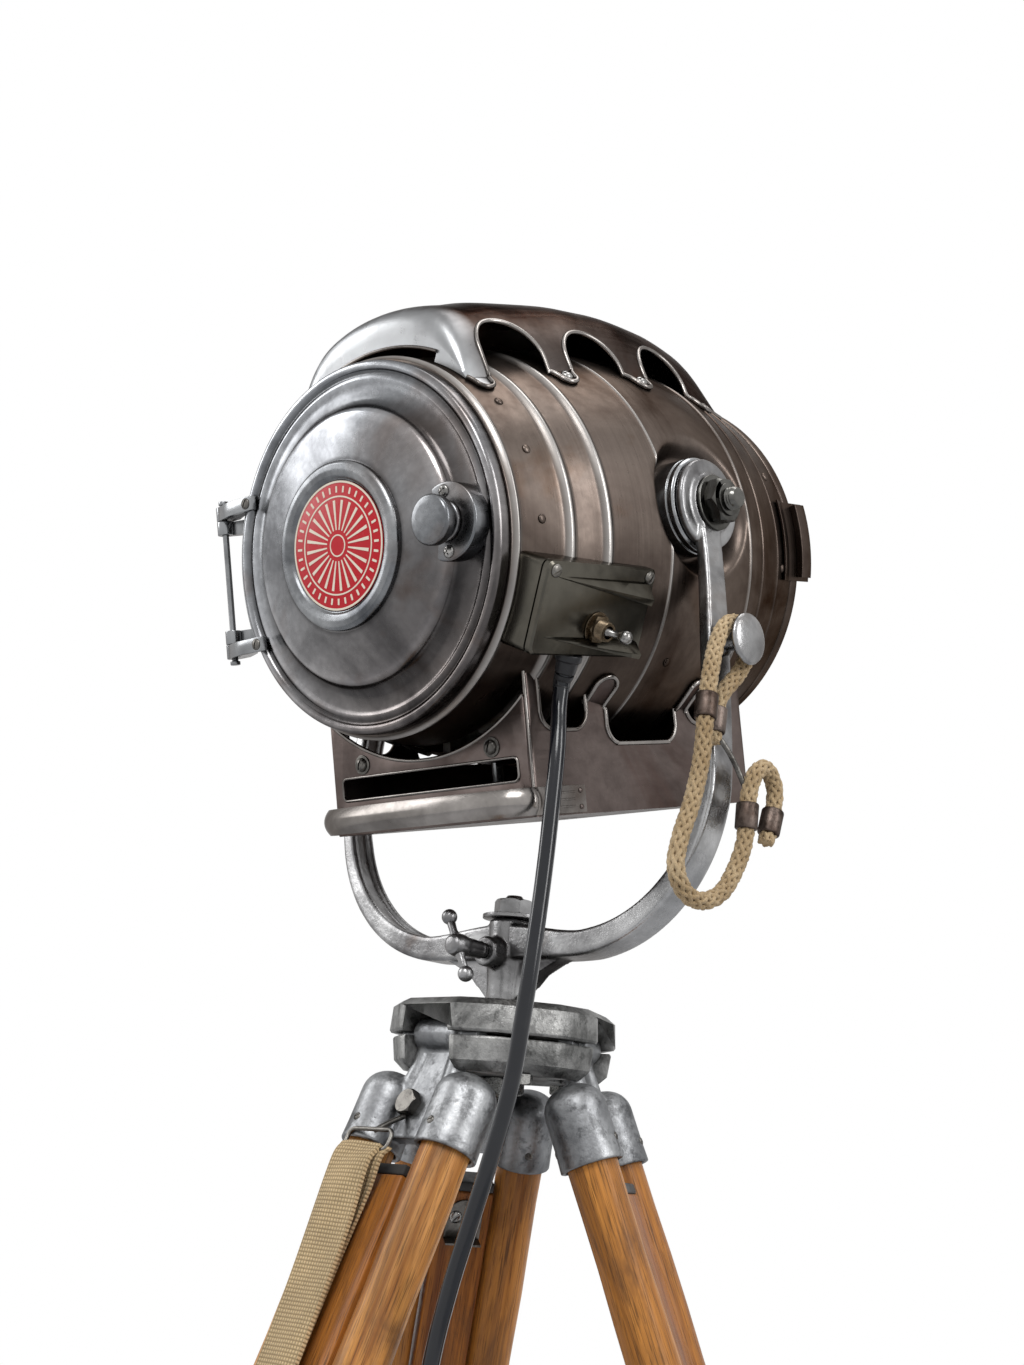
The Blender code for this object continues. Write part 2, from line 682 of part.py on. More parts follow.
def make_hinge(head, door):

    def pin_bore():
        return moved(bore(PIN_R + RUN, -PIN_HALF, PIN_HALF), (HINGE_X, HINGE_Y, 0))

    rim = DOOR_R + GAP
    leaf_rear = DRUM_REAR - 0.0070
    strip = arc_band([(rim, DRUM_REAR - 0.001), (rim + LEAF_SHEET, DRUM_REAR - 0.001),
                      (rim + LEAF_SHEET, leaf_rear), (rim, leaf_rear)],
                     math.pi - LEAF_HALF_ANGLE - 0.03, math.pi + LEAF_HALF_ANGLE + 0.03, 8)
    leaf = piece("door_hinge_leaf", strip, "bright_steel", door)
    over = DRUM_REAR - DOOR_PROFILE[2][1] - GAP
    for name, side in (("upper", 1), ("lower", -1)):
        low, high = sorted((side * DOOR_KNUCKLE[0], side * DOOR_KNUCKLE[1]))
        arm = prism([(HINGE_X, HINGE_Y - KNUCKLE_R), (HINGE_X + 0.016, over - ARM_SHEET),
                     (ARM_END_X, over - ARM_SHEET),
                     (ARM_END_X, over), (-rim * 0.905, over), (-rim * 0.905 - 0.0035, over + 0.004),
                     (HINGE_X + 0.010, HINGE_Y + KNUCKLE_R), (HINGE_X, HINGE_Y + KNUCKLE_R)], low, high)
        clear = lathe([(0, over + 0.0001), (rim, over + 0.0001), (rim, DRUM_REAR + 0.005),
                       (0, DRUM_REAR + 0.005)])
        guide = tool("door_arm_" + name, arm, door)
        boolean(guide, tool("door_arm_clear_" + name, clear, door))
        boolean(leaf, guide, "UNION")
        add(leaf, door, **{"knuckle_" + name: knuckle_span(low, high)})
    cut(leaf, door, pin_bore=pin_bore())

    y0, y1 = DRUM_REAR + 0.004, DRUM_REAR + 0.026
    r0, r1 = drum_radius(y0) + GAP, drum_radius(y1) + GAP
    band = arc_band([(r0, y0), (r0 + LEAF_SHEET, y0), (r1 + LEAF_SHEET, y1), (r1, y1)],
                    math.pi - LEAF_HALF_ANGLE, math.pi + LEAF_HALF_ANGLE, 8)
    bracket = piece("body_hinge_bracket", band, "dark_steel", head)
    for name, side in (("upper", 1), ("lower", -1)):
        low, high = sorted((side * BODY_KNUCKLE[0], side * BODY_KNUCKLE[1]))
        x_seat = -math.sqrt((r0 + LEAF_SHEET / 2) ** 2 - BODY_KNUCKLE[0] ** 2)
        arm = prism([(x_seat - 0.001, y0 + 0.001), (x_seat - 0.001, y0 + 0.016),
                     (HINGE_X - KNUCKLE_R * 0.7, HINGE_Y + 0.0035),
                     (HINGE_X, HINGE_Y), (HINGE_X + KNUCKLE_R, HINGE_Y + 0.002)], low, high)
        add(bracket, head, **{"arm_" + name: arm, "knuckle_" + name: knuckle_span(low, high)})
    cut(bracket, head, seat=drum_body(GAP))
    head_r = PIN_R * 1.6
    head_low = PIN_HALF - PIN_HEAD
    pin = lathe([
        (0, -PIN_HALF), (head_r, -PIN_HALF), (head_r, -head_low), (PIN_R, -head_low),
        (PIN_R, head_low), (head_r, head_low), (head_r, PIN_HALF), (0, PIN_HALF),
    ], "Z", 10, 0.5)
    add(bracket, head, pin=moved(pin, (HINGE_X, HINGE_Y, 0)))


# Vent cover and base

def hood_solid(inset):
    """The vent cover's outer form as a solid, shrunk by an inset."""
    sections = []
    half = [(math.radians(a), share) for a, share in HOOD_SECTION]
    angles = [(-a, s) for a, s in reversed(half[1:])] + half
    for y, share in HOOD_STATIONS:
        place = min(max(y, HOOD_REAR + inset), HOOD_FRONT - inset)
        base = drum_radius(place)
        upper = []
        for a, s in angles:
            r = base + s * share * HOOD_RISE - inset
            upper.append((r * math.sin(a), place, r * math.cos(a)))
        last = half[-1][0]
        core = [(HOOD_CORE * math.sin(a), place, HOOD_CORE * math.cos(a)) for a in (last, 0, -last)]
        sections.append(upper + core)
    if inset:
        sections = [s for i, s in enumerate(sections) if i in (0, 2, 3, 4, 5, 6, 7, 8, 9, 10, 12)]
    return loft(sections)


def rear_slot_outline():
    """The vent cover's rear slot: a band between the drum and the cover's lip."""
    low = drum_radius(HOOD_REAR) - 0.004
    high = drum_radius(HOOD_REAR) + REAR_SLOT_HEIGHT
    angles = [REAR_SLOT_START + (REAR_SLOT_END - REAR_SLOT_START) * i / REAR_SLOT_STEPS
              for i in range(REAR_SLOT_STEPS + 1)]
    upper = [(high * math.sin(a), high * math.cos(a)) for a in angles]
    lower = [(low * math.sin(a), low * math.cos(a)) for a in reversed(angles)]
    return upper + lower


def make_hood(head):
    hood = piece("top_vent_cover", hood_solid(0), "dark_steel", head)
    cut(hood, head, inside=hood_solid(HOOD_SHEET), drum=drum_body(GAP),
        slot=prism(rear_slot_outline(), HOOD_REAR - 0.01, HOOD_REAR + 0.012, "Y"))
    for i, y in enumerate(ARCH_PLACES):
        outline = [(y + a, b) for a, b in capsule_outline(ARCH_HALF, 0.060, ARCH_TOP)]
        cut(hood, head, **{"arch_%d" % (i + 1): prism(outline, -0.14, 0.14, "X")})


def side_cut_outline(low_y, high_y, bottom):
    """A cut-out that opens upward, with round lower corners."""
    points = [(high_y, BASE_TOP + 0.02), (low_y, BASE_TOP + 0.02)]
    for start, centre in ((math.pi, low_y + CUT_CORNER), (1.5 * math.pi, high_y - CUT_CORNER)):
        for i in range(5):
            angle = start + math.pi / 2 * i / 4
            points.append((centre + CUT_CORNER * math.cos(angle),
                           bottom + CUT_CORNER + CUT_CORNER * math.sin(angle)))
    return points


def make_base(head):
    s = BASE_SHEET
    base = piece("base_housing", box((-BASE_HALF, BASE_REAR, BASE_BOTTOM), (BASE_HALF, BASE_FRONT,
        BASE_TOP)),
                 "dark_steel", head, smooth=False)
    cut(base, head, inside=box((-BASE_HALF + s, BASE_REAR - 0.01, BASE_BOTTOM + s),
                               (BASE_HALF - s, BASE_FRONT - s, 0)),
        drum=drum_body(GAP),
        slot=box((BOTTOM_SLOT[0], BOTTOM_SLOT[2], BASE_BOTTOM - 0.01),
                 (BOTTOM_SLOT[1], BOTTOM_SLOT[3], BASE_BOTTOM + 0.01)))
    for i, (low_y, high_y, bottom) in enumerate(SIDE_CUTS):
        opening = side_cut_outline(low_y, high_y, bottom)
        cut(base, head, **{"cut_%d" % (i + 1): prism(opening, -BASE_HALF - CUT_OVER, BASE_HALF + CUT_OVER,
                                                     "X")})
    low, high = focus_way()
    cut(base, head, focus_slot=box(
        (-BASE_HALF - CUT_OVER, low, FOCUS_Z - FOCUS_SLOT_HALF),
        (-BASE_HALF + BASE_SHEET + GAP, high, FOCUS_Z + FOCUS_SLOT_HALF),
    ))

    rear = BASE_REAR - GAP
    plate = piece("base_end_plate", box((-BASE_HALF, rear - END_PLATE_THICK, BASE_BOTTOM),
                                        (BASE_HALF, rear, BASE_TOP)),
                  "dark_steel", head, smooth=False)
    low, high = END_OPENING_Z
    clear = END_CLEAR_R
    cut(plate, head, drum=lathe([
        (0, rear - CUT_OVER), (clear, rear - CUT_OVER), (clear, rear + CUT_OVER), (0, rear + CUT_OVER),
    ]),
        opening=prism([(a, b + (low + high) / 2) for a, b in rounded_outline(
            BASE_HALF - END_MARGIN, (high - low) / 2, 0.003)], rear - CUT_OVER, rear + CUT_OVER, "Y"))

    path = [(-x, y) for x, y in reversed(BOW_PATH[1:])] + list(BOW_PATH)
    sections = []
    for i, (x, y) in enumerate(path):
        a, b = path[max(i - 1, 0)], path[min(i + 1, len(path) - 1)]
        out = Vector((b[1] - a[1], a[0] - b[0])).normalized() * BOW_SHEET
        low, high = BOW_Z - BOW_HEIGHT / 2, BOW_Z + BOW_HEIGHT / 2
        x0, y0 = (x, y) if abs(x) < BASE_HALF + 0.002 else (math.copysign(BASE_HALF + GAP, x), y)
        sections.append([(x0, y0, low), (x0 + out.x, y0 + out.y, low), (x0 + out.x, y0 + out.y, high),
                         (x0, y0, high)])
    piece("bow_handle", loft(sections), "bright_steel", head)


# Switch box

def box_frame():
    """Turns a switch box point (along the drum, up its face, out of its face) into drum coordinates."""
    out = Vector((math.cos(BOX_TURN), 0, -math.sin(BOX_TURN)))
    up = Vector((math.sin(BOX_TURN), 0, math.cos(BOX_TURN)))
    along = Vector((0, 1, 0))
    matrix = Matrix((along, up, out)).transposed().to_4x4()
    matrix.translation = out * BOX_FACE
    return matrix


def make_switch(head, toggle):
    frame = box_frame()

    def placed(bm):
        bmesh.ops.transform(bm, verts=bm.verts, matrix=frame)
        bmesh.ops.recalc_face_normals(bm, faces=bm.faces)
        return bm

    case = piece("switch_box", placed(box((BOX_REAR, -BOX_HALF_HEIGHT, -BOX_DEPTH),
                                          (BOX_FRONT, BOX_HALF_HEIGHT, 0))),
                 "dark_steel", head)
    a, b = TOGGLE_PLACE
    cut(case, head, drum=drum_body(GAP), bushing=placed(moved(bore(BUSHING_R + RUN, -0.006, 0.01),
        (a, b, 0))))
    g, depth = GLAND_PLACE
    low = -BOX_HALF_HEIGHT

    throat = PIVOT_R + RUN
    bush = lathe([(throat, -0.005), (BUSHING_R, -0.005), (BUSHING_R, GAP), (NUT_R, GAP), (NUT_R, NUT_THICK),
                  (BUSHING_R, NUT_THICK), (BUSHING_R, BUSHING_LENGTH), (throat,
                      BUSHING_LENGTH)], "Z", SMALL_SEGMENTS)
    piece("switch_bushing", placed(moved(bush, (a, b, 0))), "brass", head)
    lever = lathe([(0, -PIVOT_R), (PIVOT_R * 0.75, -PIVOT_R * 0.66), (PIVOT_R, 0),
                   (PIVOT_R * 0.75, PIVOT_R * 0.66),
                   (LEVER_R, PIVOT_R), (LEVER_R * 0.8, LEVER_LENGTH), (LEVER_BALL_R, LEVER_LENGTH + 0.002),
                   (LEVER_BALL_R, LEVER_LENGTH + 0.005), (LEVER_R, LEVER_LENGTH + 0.0075), (0,
                       LEVER_LENGTH + 0.0075)],
                  "Z", 12)
    lever = moved(lever, (a, b, PIVOT_PLACE), Matrix.Rotation(LEVER_REST, 4, "Y"))
    piece("toggle_lever", placed(lever), "brass", toggle)
    outer = low - GAP
    gland = lathe([(0, outer), (GLAND_R, outer), (GLAND_R, outer - GLAND_LENGTH * 0.4),
                   (GLAND_R * 0.8, outer - GLAND_LENGTH),
                   (0, outer - GLAND_LENGTH)], "Y", SMALL_SEGMENTS)
    piece("cord_gland", placed(moved(gland, (g, 0, -depth))), "black_rubber", head)


def gland_mouth():
    """Where the cord leaves its gland, and which way, in drum coordinates."""
    frame = box_frame()
    start = frame @ Vector((GLAND_PLACE[0], -BOX_HALF_HEIGHT - GAP - GLAND_LENGTH, -GLAND_PLACE[1]))
    along = frame.to_3x3() @ Vector((0, -1, 0))
    return start, along


# Light source

def make_source(head, focus):
    h = CARRIAGE_HALF
    tail = REFLECTOR_BACK + 0.002
    outline = [(h, h), (-h, h), (-h, -h), (-0.008, -h), (-0.008, tail), (0.008, tail), (0.008, -h), (h, -h)]
    plate = piece("lamp_carriage", moved(prism(outline, CARRIAGE_TOP - CARRIAGE_THICK, CARRIAGE_TOP),
                                         (0, CARRIAGE_Y, 0)),
                  "bright_steel", focus)
    x = FOCUS_ARM_X
    arm = box((x - 0.002, CARRIAGE_Y - FOCUS_STEM_R, FOCUS_Z - 0.006),
              (x + 0.002, CARRIAGE_Y + FOCUS_STEM_R, CARRIAGE_TOP - 0.001))
    k, r = FOCUS_KNOB_X, FOCUS_KNOB_R
    knob = lathe([(0, k - 0.008), (r * 0.8, k - 0.008), (r, k - 0.005), (r, k + 0.006),
                  (FOCUS_STEM_R - 0.0005, k + 0.006),
                  (FOCUS_STEM_R - 0.0005, x), (0, x)], "X", SMALL_SEGMENTS)
    add(plate, focus, arm=arm, knob=moved(knob, (0, CARRIAGE_Y, FOCUS_Z)))
    socket = moved(rod(SOCKET_R, CARRIAGE_TOP + GAP, CARRIAGE_TOP + GAP + SOCKET_HEIGHT),
                   (0, CARRIAGE_Y, 0))
    piece("lamp_socket", socket, "ceramic", focus)
    base = CARRIAGE_TOP + 2 * GAP + SOCKET_HEIGHT
    bulb = lathe([(0, base), (0.013, base), (0.013, base + 0.012), (BULB_R * 0.8, base + 0.026),
                  (BULB_R, base + 0.040),
                  (BULB_R * 0.86, base + 0.054), (BULB_R * 0.45, base + 0.064), (0,
                      base + 0.067)], "Z", SMALL_SEGMENTS)
    piece("lamp_bulb", moved(bulb, (0, CARRIAGE_Y, 0)), "glass", focus)
    outline = []
    for i in range(5):
        r = REFLECTOR_R * i / 4
        outline.append((r, REFLECTOR_BACK + REFLECTOR_DEPTH * (r / REFLECTOR_R) ** 2))
    front = list(outline)
    back = [(r, y - 0.0015) for r, y in reversed(outline)]
    mirror = piece("reflector", moved(lathe(front + back, "Y", MIDDLE_SEGMENTS),
                                      (0, CARRIAGE_Y + 0.006, 0)), "mirror", focus)
    post_y = CARRIAGE_Y + REFLECTOR_BACK + 0.006
    add(mirror, focus, post=box((-0.006, post_y - 0.0028, CARRIAGE_TOP + GAP),
                                (0.006, post_y - 0.0005, -0.004)))
    rail_z = CARRIAGE_TOP - CARRIAGE_THICK - GAP
    x = CARRIAGE_HALF - 0.003
    low, high = RAIL_ENDS
    floor = -0.140
    rails = piece("focus_rails", box((x - 0.003, low, floor), (x + 0.003, high, rail_z)), "dark_steel",
                  head, smooth=False)
    add(rails, head, left=box((-x - 0.003, low, floor), (-x + 0.003, high, rail_z)),
        tie=box((-x, high - 0.009, floor), (x, high - 0.001, rail_z - 0.006)))
    boolean(rails, tool("focus_rails_limit", drum_inside(GAP), head), "INTERSECT")
    for i, y in enumerate(ARCH_PLACES):
        half = VENT_LENGTH / 2
        cut(rails, head, **{"relief_%d" % (i + 1): box((-0.04, y - half, -0.15),
                                                       (0.04, y + half, rail_z - 0.012))})


# Trunnions and yoke

def make_trunnions(head):
    for name, side in (("right", 1), ("left", -1)):
        x0 = DISH_FLOOR_X + GAP
        boss = lathe([(BOLT_R + RUN, side * x0), (BOSS_R, side * x0),
                      (BOSS_R, side * (x0 + BOSS_THICK - DISC_THICK)),
                      (BOSS_R - 0.0025, side * (x0 + BOSS_THICK - DISC_THICK)), (BOSS_R - 0.0025,
                          side * (x0 + BOSS_THICK)),
                      (BOLT_R + RUN, side * (x0 + BOSS_THICK))], "X", MIDDLE_SEGMENTS)
        piece("trunnion_boss_" + name, moved(boss, (0, 0, DRUM_DROP)), "cast_zinc", head)
        hub_end = x0 + BOSS_THICK + GAP + HUB_THICK
        wash = hub_end + GAP
        nut = wash + WASHER_THICK
        inside = DISH_FLOOR_X - DRUM_WALL - GAP
        bolt = lathe([(0, side * (inside - 0.006)), (0.013, side * (inside - 0.006)),
                      (0.013, side * inside),
                      (BOLT_R, side * inside), (BOLT_R, side * wash), (WASHER_R, side * wash), (WASHER_R,
                          side * nut),
                      (BOLT_R, side * nut), (BOLT_R, side * (BOLT_TIP_X - 0.0015)), (BOLT_R - 0.0015,
                          side * BOLT_TIP_X),
                      (0, side * BOLT_TIP_X)], "X", SMALL_SEGMENTS)
        made = piece("trunnion_bolt_" + name, moved(bolt, (0, 0, DRUM_DROP)), "cast_zinc", head)
        low, high = sorted((side * (nut - 0.0005), side * (nut + TRUNNION_NUT_THICK)))
        add(made, head, nut=moved(hexagon(TRUNNION_NUT_R, low, high, "X"), (0, 0, DRUM_DROP)))


def yoke_path():
    """Centre line of the right half of the yoke, with its thickness and width, from hub to middle."""
    x_hub = DISH_FLOOR_X + 2 * GAP + BOSS_THICK + HUB_THICK / 2
    corner = Vector((YOKE_HALF - YOKE_CORNER_R, YOKE_BOTTOM + YOKE_CORNER_R))
    stations = [
        ((x_hub, -0.010), 0.0076, ARM_WIDTH), ((x_hub, -0.0190), 0.0076, ARM_WIDTH),
        ((x_hub + 0.0085, -0.034), ARM_THICK - 0.001, ARM_WIDTH),
        ((x_hub + 0.0125, -0.056), ARM_THICK, ARM_WIDTH), ((x_hub + 0.0165, -0.086), ARM_THICK, ARM_WIDTH),
        ((x_hub + 0.0200, -0.120), ARM_THICK, ARM_WIDTH + 0.001),
    ]
    steps = 7
    for i in range(steps + 1):
        share = i / steps
        angle = math.pi / 2 * share
        thick = ARM_THICK + (BASE_THICK - ARM_THICK) * share
        radius = YOKE_CORNER_R - thick / 2
        width = ARM_WIDTH + 0.002 + (BASE_WIDTH - ARM_WIDTH - 0.002) * share
        stations.append(((corner.x + radius * math.cos(angle), corner.y - radius * math.sin(angle)), thick,
                         width))
    stations.append(((0.0, YOKE_BOTTOM + BASE_THICK / 2 + 0.003), BASE_THICK + 0.006, BASE_WIDTH))
    return stations


def make_yoke(yoke):
    right = yoke_path()
    left = [((-x, z), t, w) for (x, z), t, w in reversed(right[:-1])]
    stations = right + left
    sections = []
    for i, ((x, z), thick, width) in enumerate(stations):
        a, b = stations[max(i - 1, 0)][0], stations[min(i + 1, len(stations) - 1)][0]
        along = Vector((b[0] - a[0], b[1] - a[1])).normalized()
        out = Vector((-along.y, along.x)) * thick / 2
        c = 0.0022
        w = width / 2
        inner, outer = Vector((x, z)) - out, Vector((x, z)) + out
        tuck = out.normalized() * c
        sections.append([
            (inner.x, -w + c, inner.y), (inner.x, w - c, inner.y), (inner.x + tuck.x, w, inner.y + tuck.y),
            (outer.x - tuck.x, w, outer.y - tuck.y), (outer.x, w - c, outer.y), (outer.x, -w + c, outer.y),
            (outer.x - tuck.x, -w, outer.y - tuck.y), (inner.x + tuck.x, -w, inner.y + tuck.y),
        ])
    fork = piece("yoke_fork", loft(sections), "forged_steel", yoke)
    x0 = DISH_FLOOR_X + 2 * GAP + BOSS_THICK
    for name, side in (("right", 1), ("left", -1)):
        low, high = sorted((side * x0, side * (x0 + HUB_THICK)))
        add(fork, yoke, **{"hub_" + name: rod(HUB_R, low, high, "X", MIDDLE_SEGMENTS)})
    boss = lathe([(0, BOSS_TOP), (BOSS_TUBE_R + 0.002, BOSS_TOP),
                  (BOSS_TUBE_R + 0.002, YOKE_BOTTOM + 0.002),
                  (BOSS_TUBE_R + 0.001, YOKE_BOTTOM - 0.008), (BOSS_TUBE_R,
                      YOKE_BOTTOM - 0.016), (BOSS_TUBE_R, BOSS_FOOT),
                  (0, BOSS_FOOT)], "Z", MIDDLE_SEGMENTS)
    gusset = prism([(-0.056, YOKE_BOTTOM + 0.004), (-0.030, YOKE_BOTTOM - 0.008),
                    (-0.012, BOSS_FOOT + 0.004),
                    (0.012, BOSS_FOOT + 0.004), (0.030, YOKE_BOTTOM - 0.008), (0.056, YOKE_BOTTOM + 0.004)],
                   -0.006, 0.006, "Y")
    lug = moved(rod(CLAMP_LUG_R, CLAMP_LUG_END, -0.008, "Y"), (0, 0, CLAMP_Z))
    add(fork, yoke, boss=boss, gusset=gusset, lug=lug)
    cut(fork, yoke, spigot_bore=bore(SPIGOT_R + RUN, BOSS_FOOT - 0.01, BOSS_TOP + 0.01),
        clamp_bore=moved(bore(CLAMP_STEM_R + RUN, CLAMP_LUG_END - 0.01, -SPIGOT_R * 0.9, "Y"),
                         (0, 0, CLAMP_Z)),
        hub_bore_right=bore(BOLT_R + RUN, 0.11, 0.15, "X"), hub_bore_left=bore(BOLT_R + RUN, -0.15, -0.11,
            "X"))

    seat = yoke_outer_x(STUD_Z) - 0.004
    tip = STUD_TIP_X
    stud = lathe([(0, seat), (STUD_NECK_R * 1.4, seat), (STUD_NECK_R * 1.4, seat + 0.006),
                  (STUD_NECK_R, seat + 0.007),
                  (STUD_NECK_R, tip - STUD_CAP_THICK), (STUD_CAP_R, tip - STUD_CAP_THICK + 0.0008),
                  (STUD_CAP_R * 0.86, tip - 0.0022), (0, tip)], "X", MIDDLE_SEGMENTS)
    mounted = piece("rope_stud", moved(stud, (0, 0, STUD_Z)), "bright_steel", yoke)
    cut(mounted, yoke, arm=loft(grown_arm()))


def yoke_outer_x(z):
    """The right arm's outer face at a height."""
    stations = [s for s in yoke_path() if s[0][0] > 0.12]
    for ((x0, z0), t0, _), ((x1, z1), t1, _) in zip(stations, stations[1:]):
        if z1 <= z <= z0:
            share = (z - z0) / (z1 - z0)
            return x0 + (x1 - x0) * share + (t0 + (t1 - t0) * share) / 2
    return stations[-1][0][0]


def grown_arm():
    """The right arm's stretch behind the stud, grown by the gap."""
    sections = []
    for (x, z), thick, width in yoke_path()[2:6]:
        half = thick / 2 + GAP
        sections.append([(x - half, -width, z), (x + half, -width, z), (x + half, width, z),
                         (x - half, width, z)])
    return sections


def make_clamp(clamp):
    hub = lathe([(0, -SPIGOT_R - 0.0006), (CLAMP_STEM_R, -SPIGOT_R - 0.0006),
                 (CLAMP_STEM_R, CLAMP_HUB_Y + 0.008),
                 (CLAMP_HUB_R, CLAMP_HUB_Y + 0.006), (CLAMP_HUB_R,
                                                      CLAMP_HUB_Y - 0.004), (CLAMP_HUB_R * 0.6,
                                                          CLAMP_HUB_Y - 0.0065),
                 (0, CLAMP_HUB_Y - 0.0065)], "Y", SMALL_SEGMENTS)
    handle = piece("clamp_handle", moved(hub, (0, 0, CLAMP_Z)), "bright_steel", clamp)
    half = CLAMP_BAR_HALF
    ball = CLAMP_BALL_R
    steps = 4
    outline = []
    for sign in (-1, 1):
        for i in range(steps + 1):
            angle = math.pi * i / steps
            z = sign * half - ball * math.cos(angle)
            r = ball * math.sin(angle)
            outline.append((max(r, 0), z))
    outline[steps] = (CLAMP_BAR_R, -half + ball * 0.85)
    outline[steps + 1] = (CLAMP_BAR_R, half - ball * 0.85)
    bar = lathe(outline, "Z", 10)
    turn = Matrix.Rotation(-CLAMP_TURN, 4, "Y")
    add(handle, clamp, bar=moved(bar, (0, CLAMP_HUB_Y, CLAMP_Z), turn))


# Stand

def make_head_plates(stand):
    post_top = BOSS_TOP - GAP
    top_face = BOSS_FOOT - GAP
    mid = top_face - PLATE_THICK
    low_top = mid - PLATE_GAP
    low = low_top - PLATE_THICK
    post = lathe([(PAN_BOLT_R + RUN, post_top), (SPIGOT_R, post_top), (SPIGOT_R, low - GAP), (0, low - GAP),
                  (0, post_top - 0.030), (PAN_BOLT_R + RUN, post_top - 0.030)], "Z", SMALL_SEGMENTS)
    spigot = piece("spigot_post", post, "forged_steel", stand)
    add(spigot, stand, nut=hexagon(PLATE_NUT_R, low - GAP - PLATE_NUT_THICK, low - GAP))

    bolt = lathe([(0, post_top - 0.027), (PAN_BOLT_R, post_top - 0.027), (PAN_BOLT_R, BOSS_TOP + GAP),
                  (PAN_WASHER_R, BOSS_TOP + GAP), (PAN_WASHER_R, BOSS_TOP + GAP + PAN_WASHER_THICK),
                  (0, BOSS_TOP + GAP + PAN_WASHER_THICK)], "Z", MIDDLE_SEGMENTS)
    pan = piece("pan_bolt", bolt, "cast_zinc", stand)
    head_low = BOSS_TOP + GAP + PAN_WASHER_THICK
    add(pan, stand, hex=hexagon(PAN_HEX_R, head_low - 0.0005, head_low + PAN_HEX_HEIGHT))

    for name, z0, z1 in (("tripod_top_plate", mid, top_face), ("tripod_lower_plate", low, low_top)):
        plate = lathe([(SPIGOT_R + RUN, z0), (PLATE_R - 0.003, z0), (PLATE_R, z0 + 0.003),
                       (PLATE_R, z1 - 0.004),
                       (PLATE_R - 0.006, z1), (SPIGOT_R + RUN, z1)], "Z", 18)
        made = piece(name, plate, "cast_zinc", stand)
        ceiling = z1 - SLOT_ROOF if z0 == mid else z1 + 0.01
        for i, azimuth in enumerate(LEG_AZIMUTHS):
            slot = box((SLOT_START_R, -SLOT_WIDTH / 2, z0 - 0.01),
                       (PLATE_R + 0.02, SLOT_WIDTH / 2, ceiling))
            cut(made, stand, **{"slot_%d" % (i + 1): moved(slot, (0, 0, 0),
                                                           Matrix.Rotation(azimuth, 4, "Z"))})
            groove = bore(LEG_PIN_SHAFT_R + RUN, -LEG_PIN_HALF - RUN, LEG_PIN_HALF + RUN, "Y")
            place = Matrix.Rotation(azimuth, 4, "Z") @ Matrix.Translation((LEG_PIN_R, 0, LEG_PIN_Z))
            cut(made, stand, **{"groove_%d" % (i + 1): moved(groove, (0, 0, 0), place)})


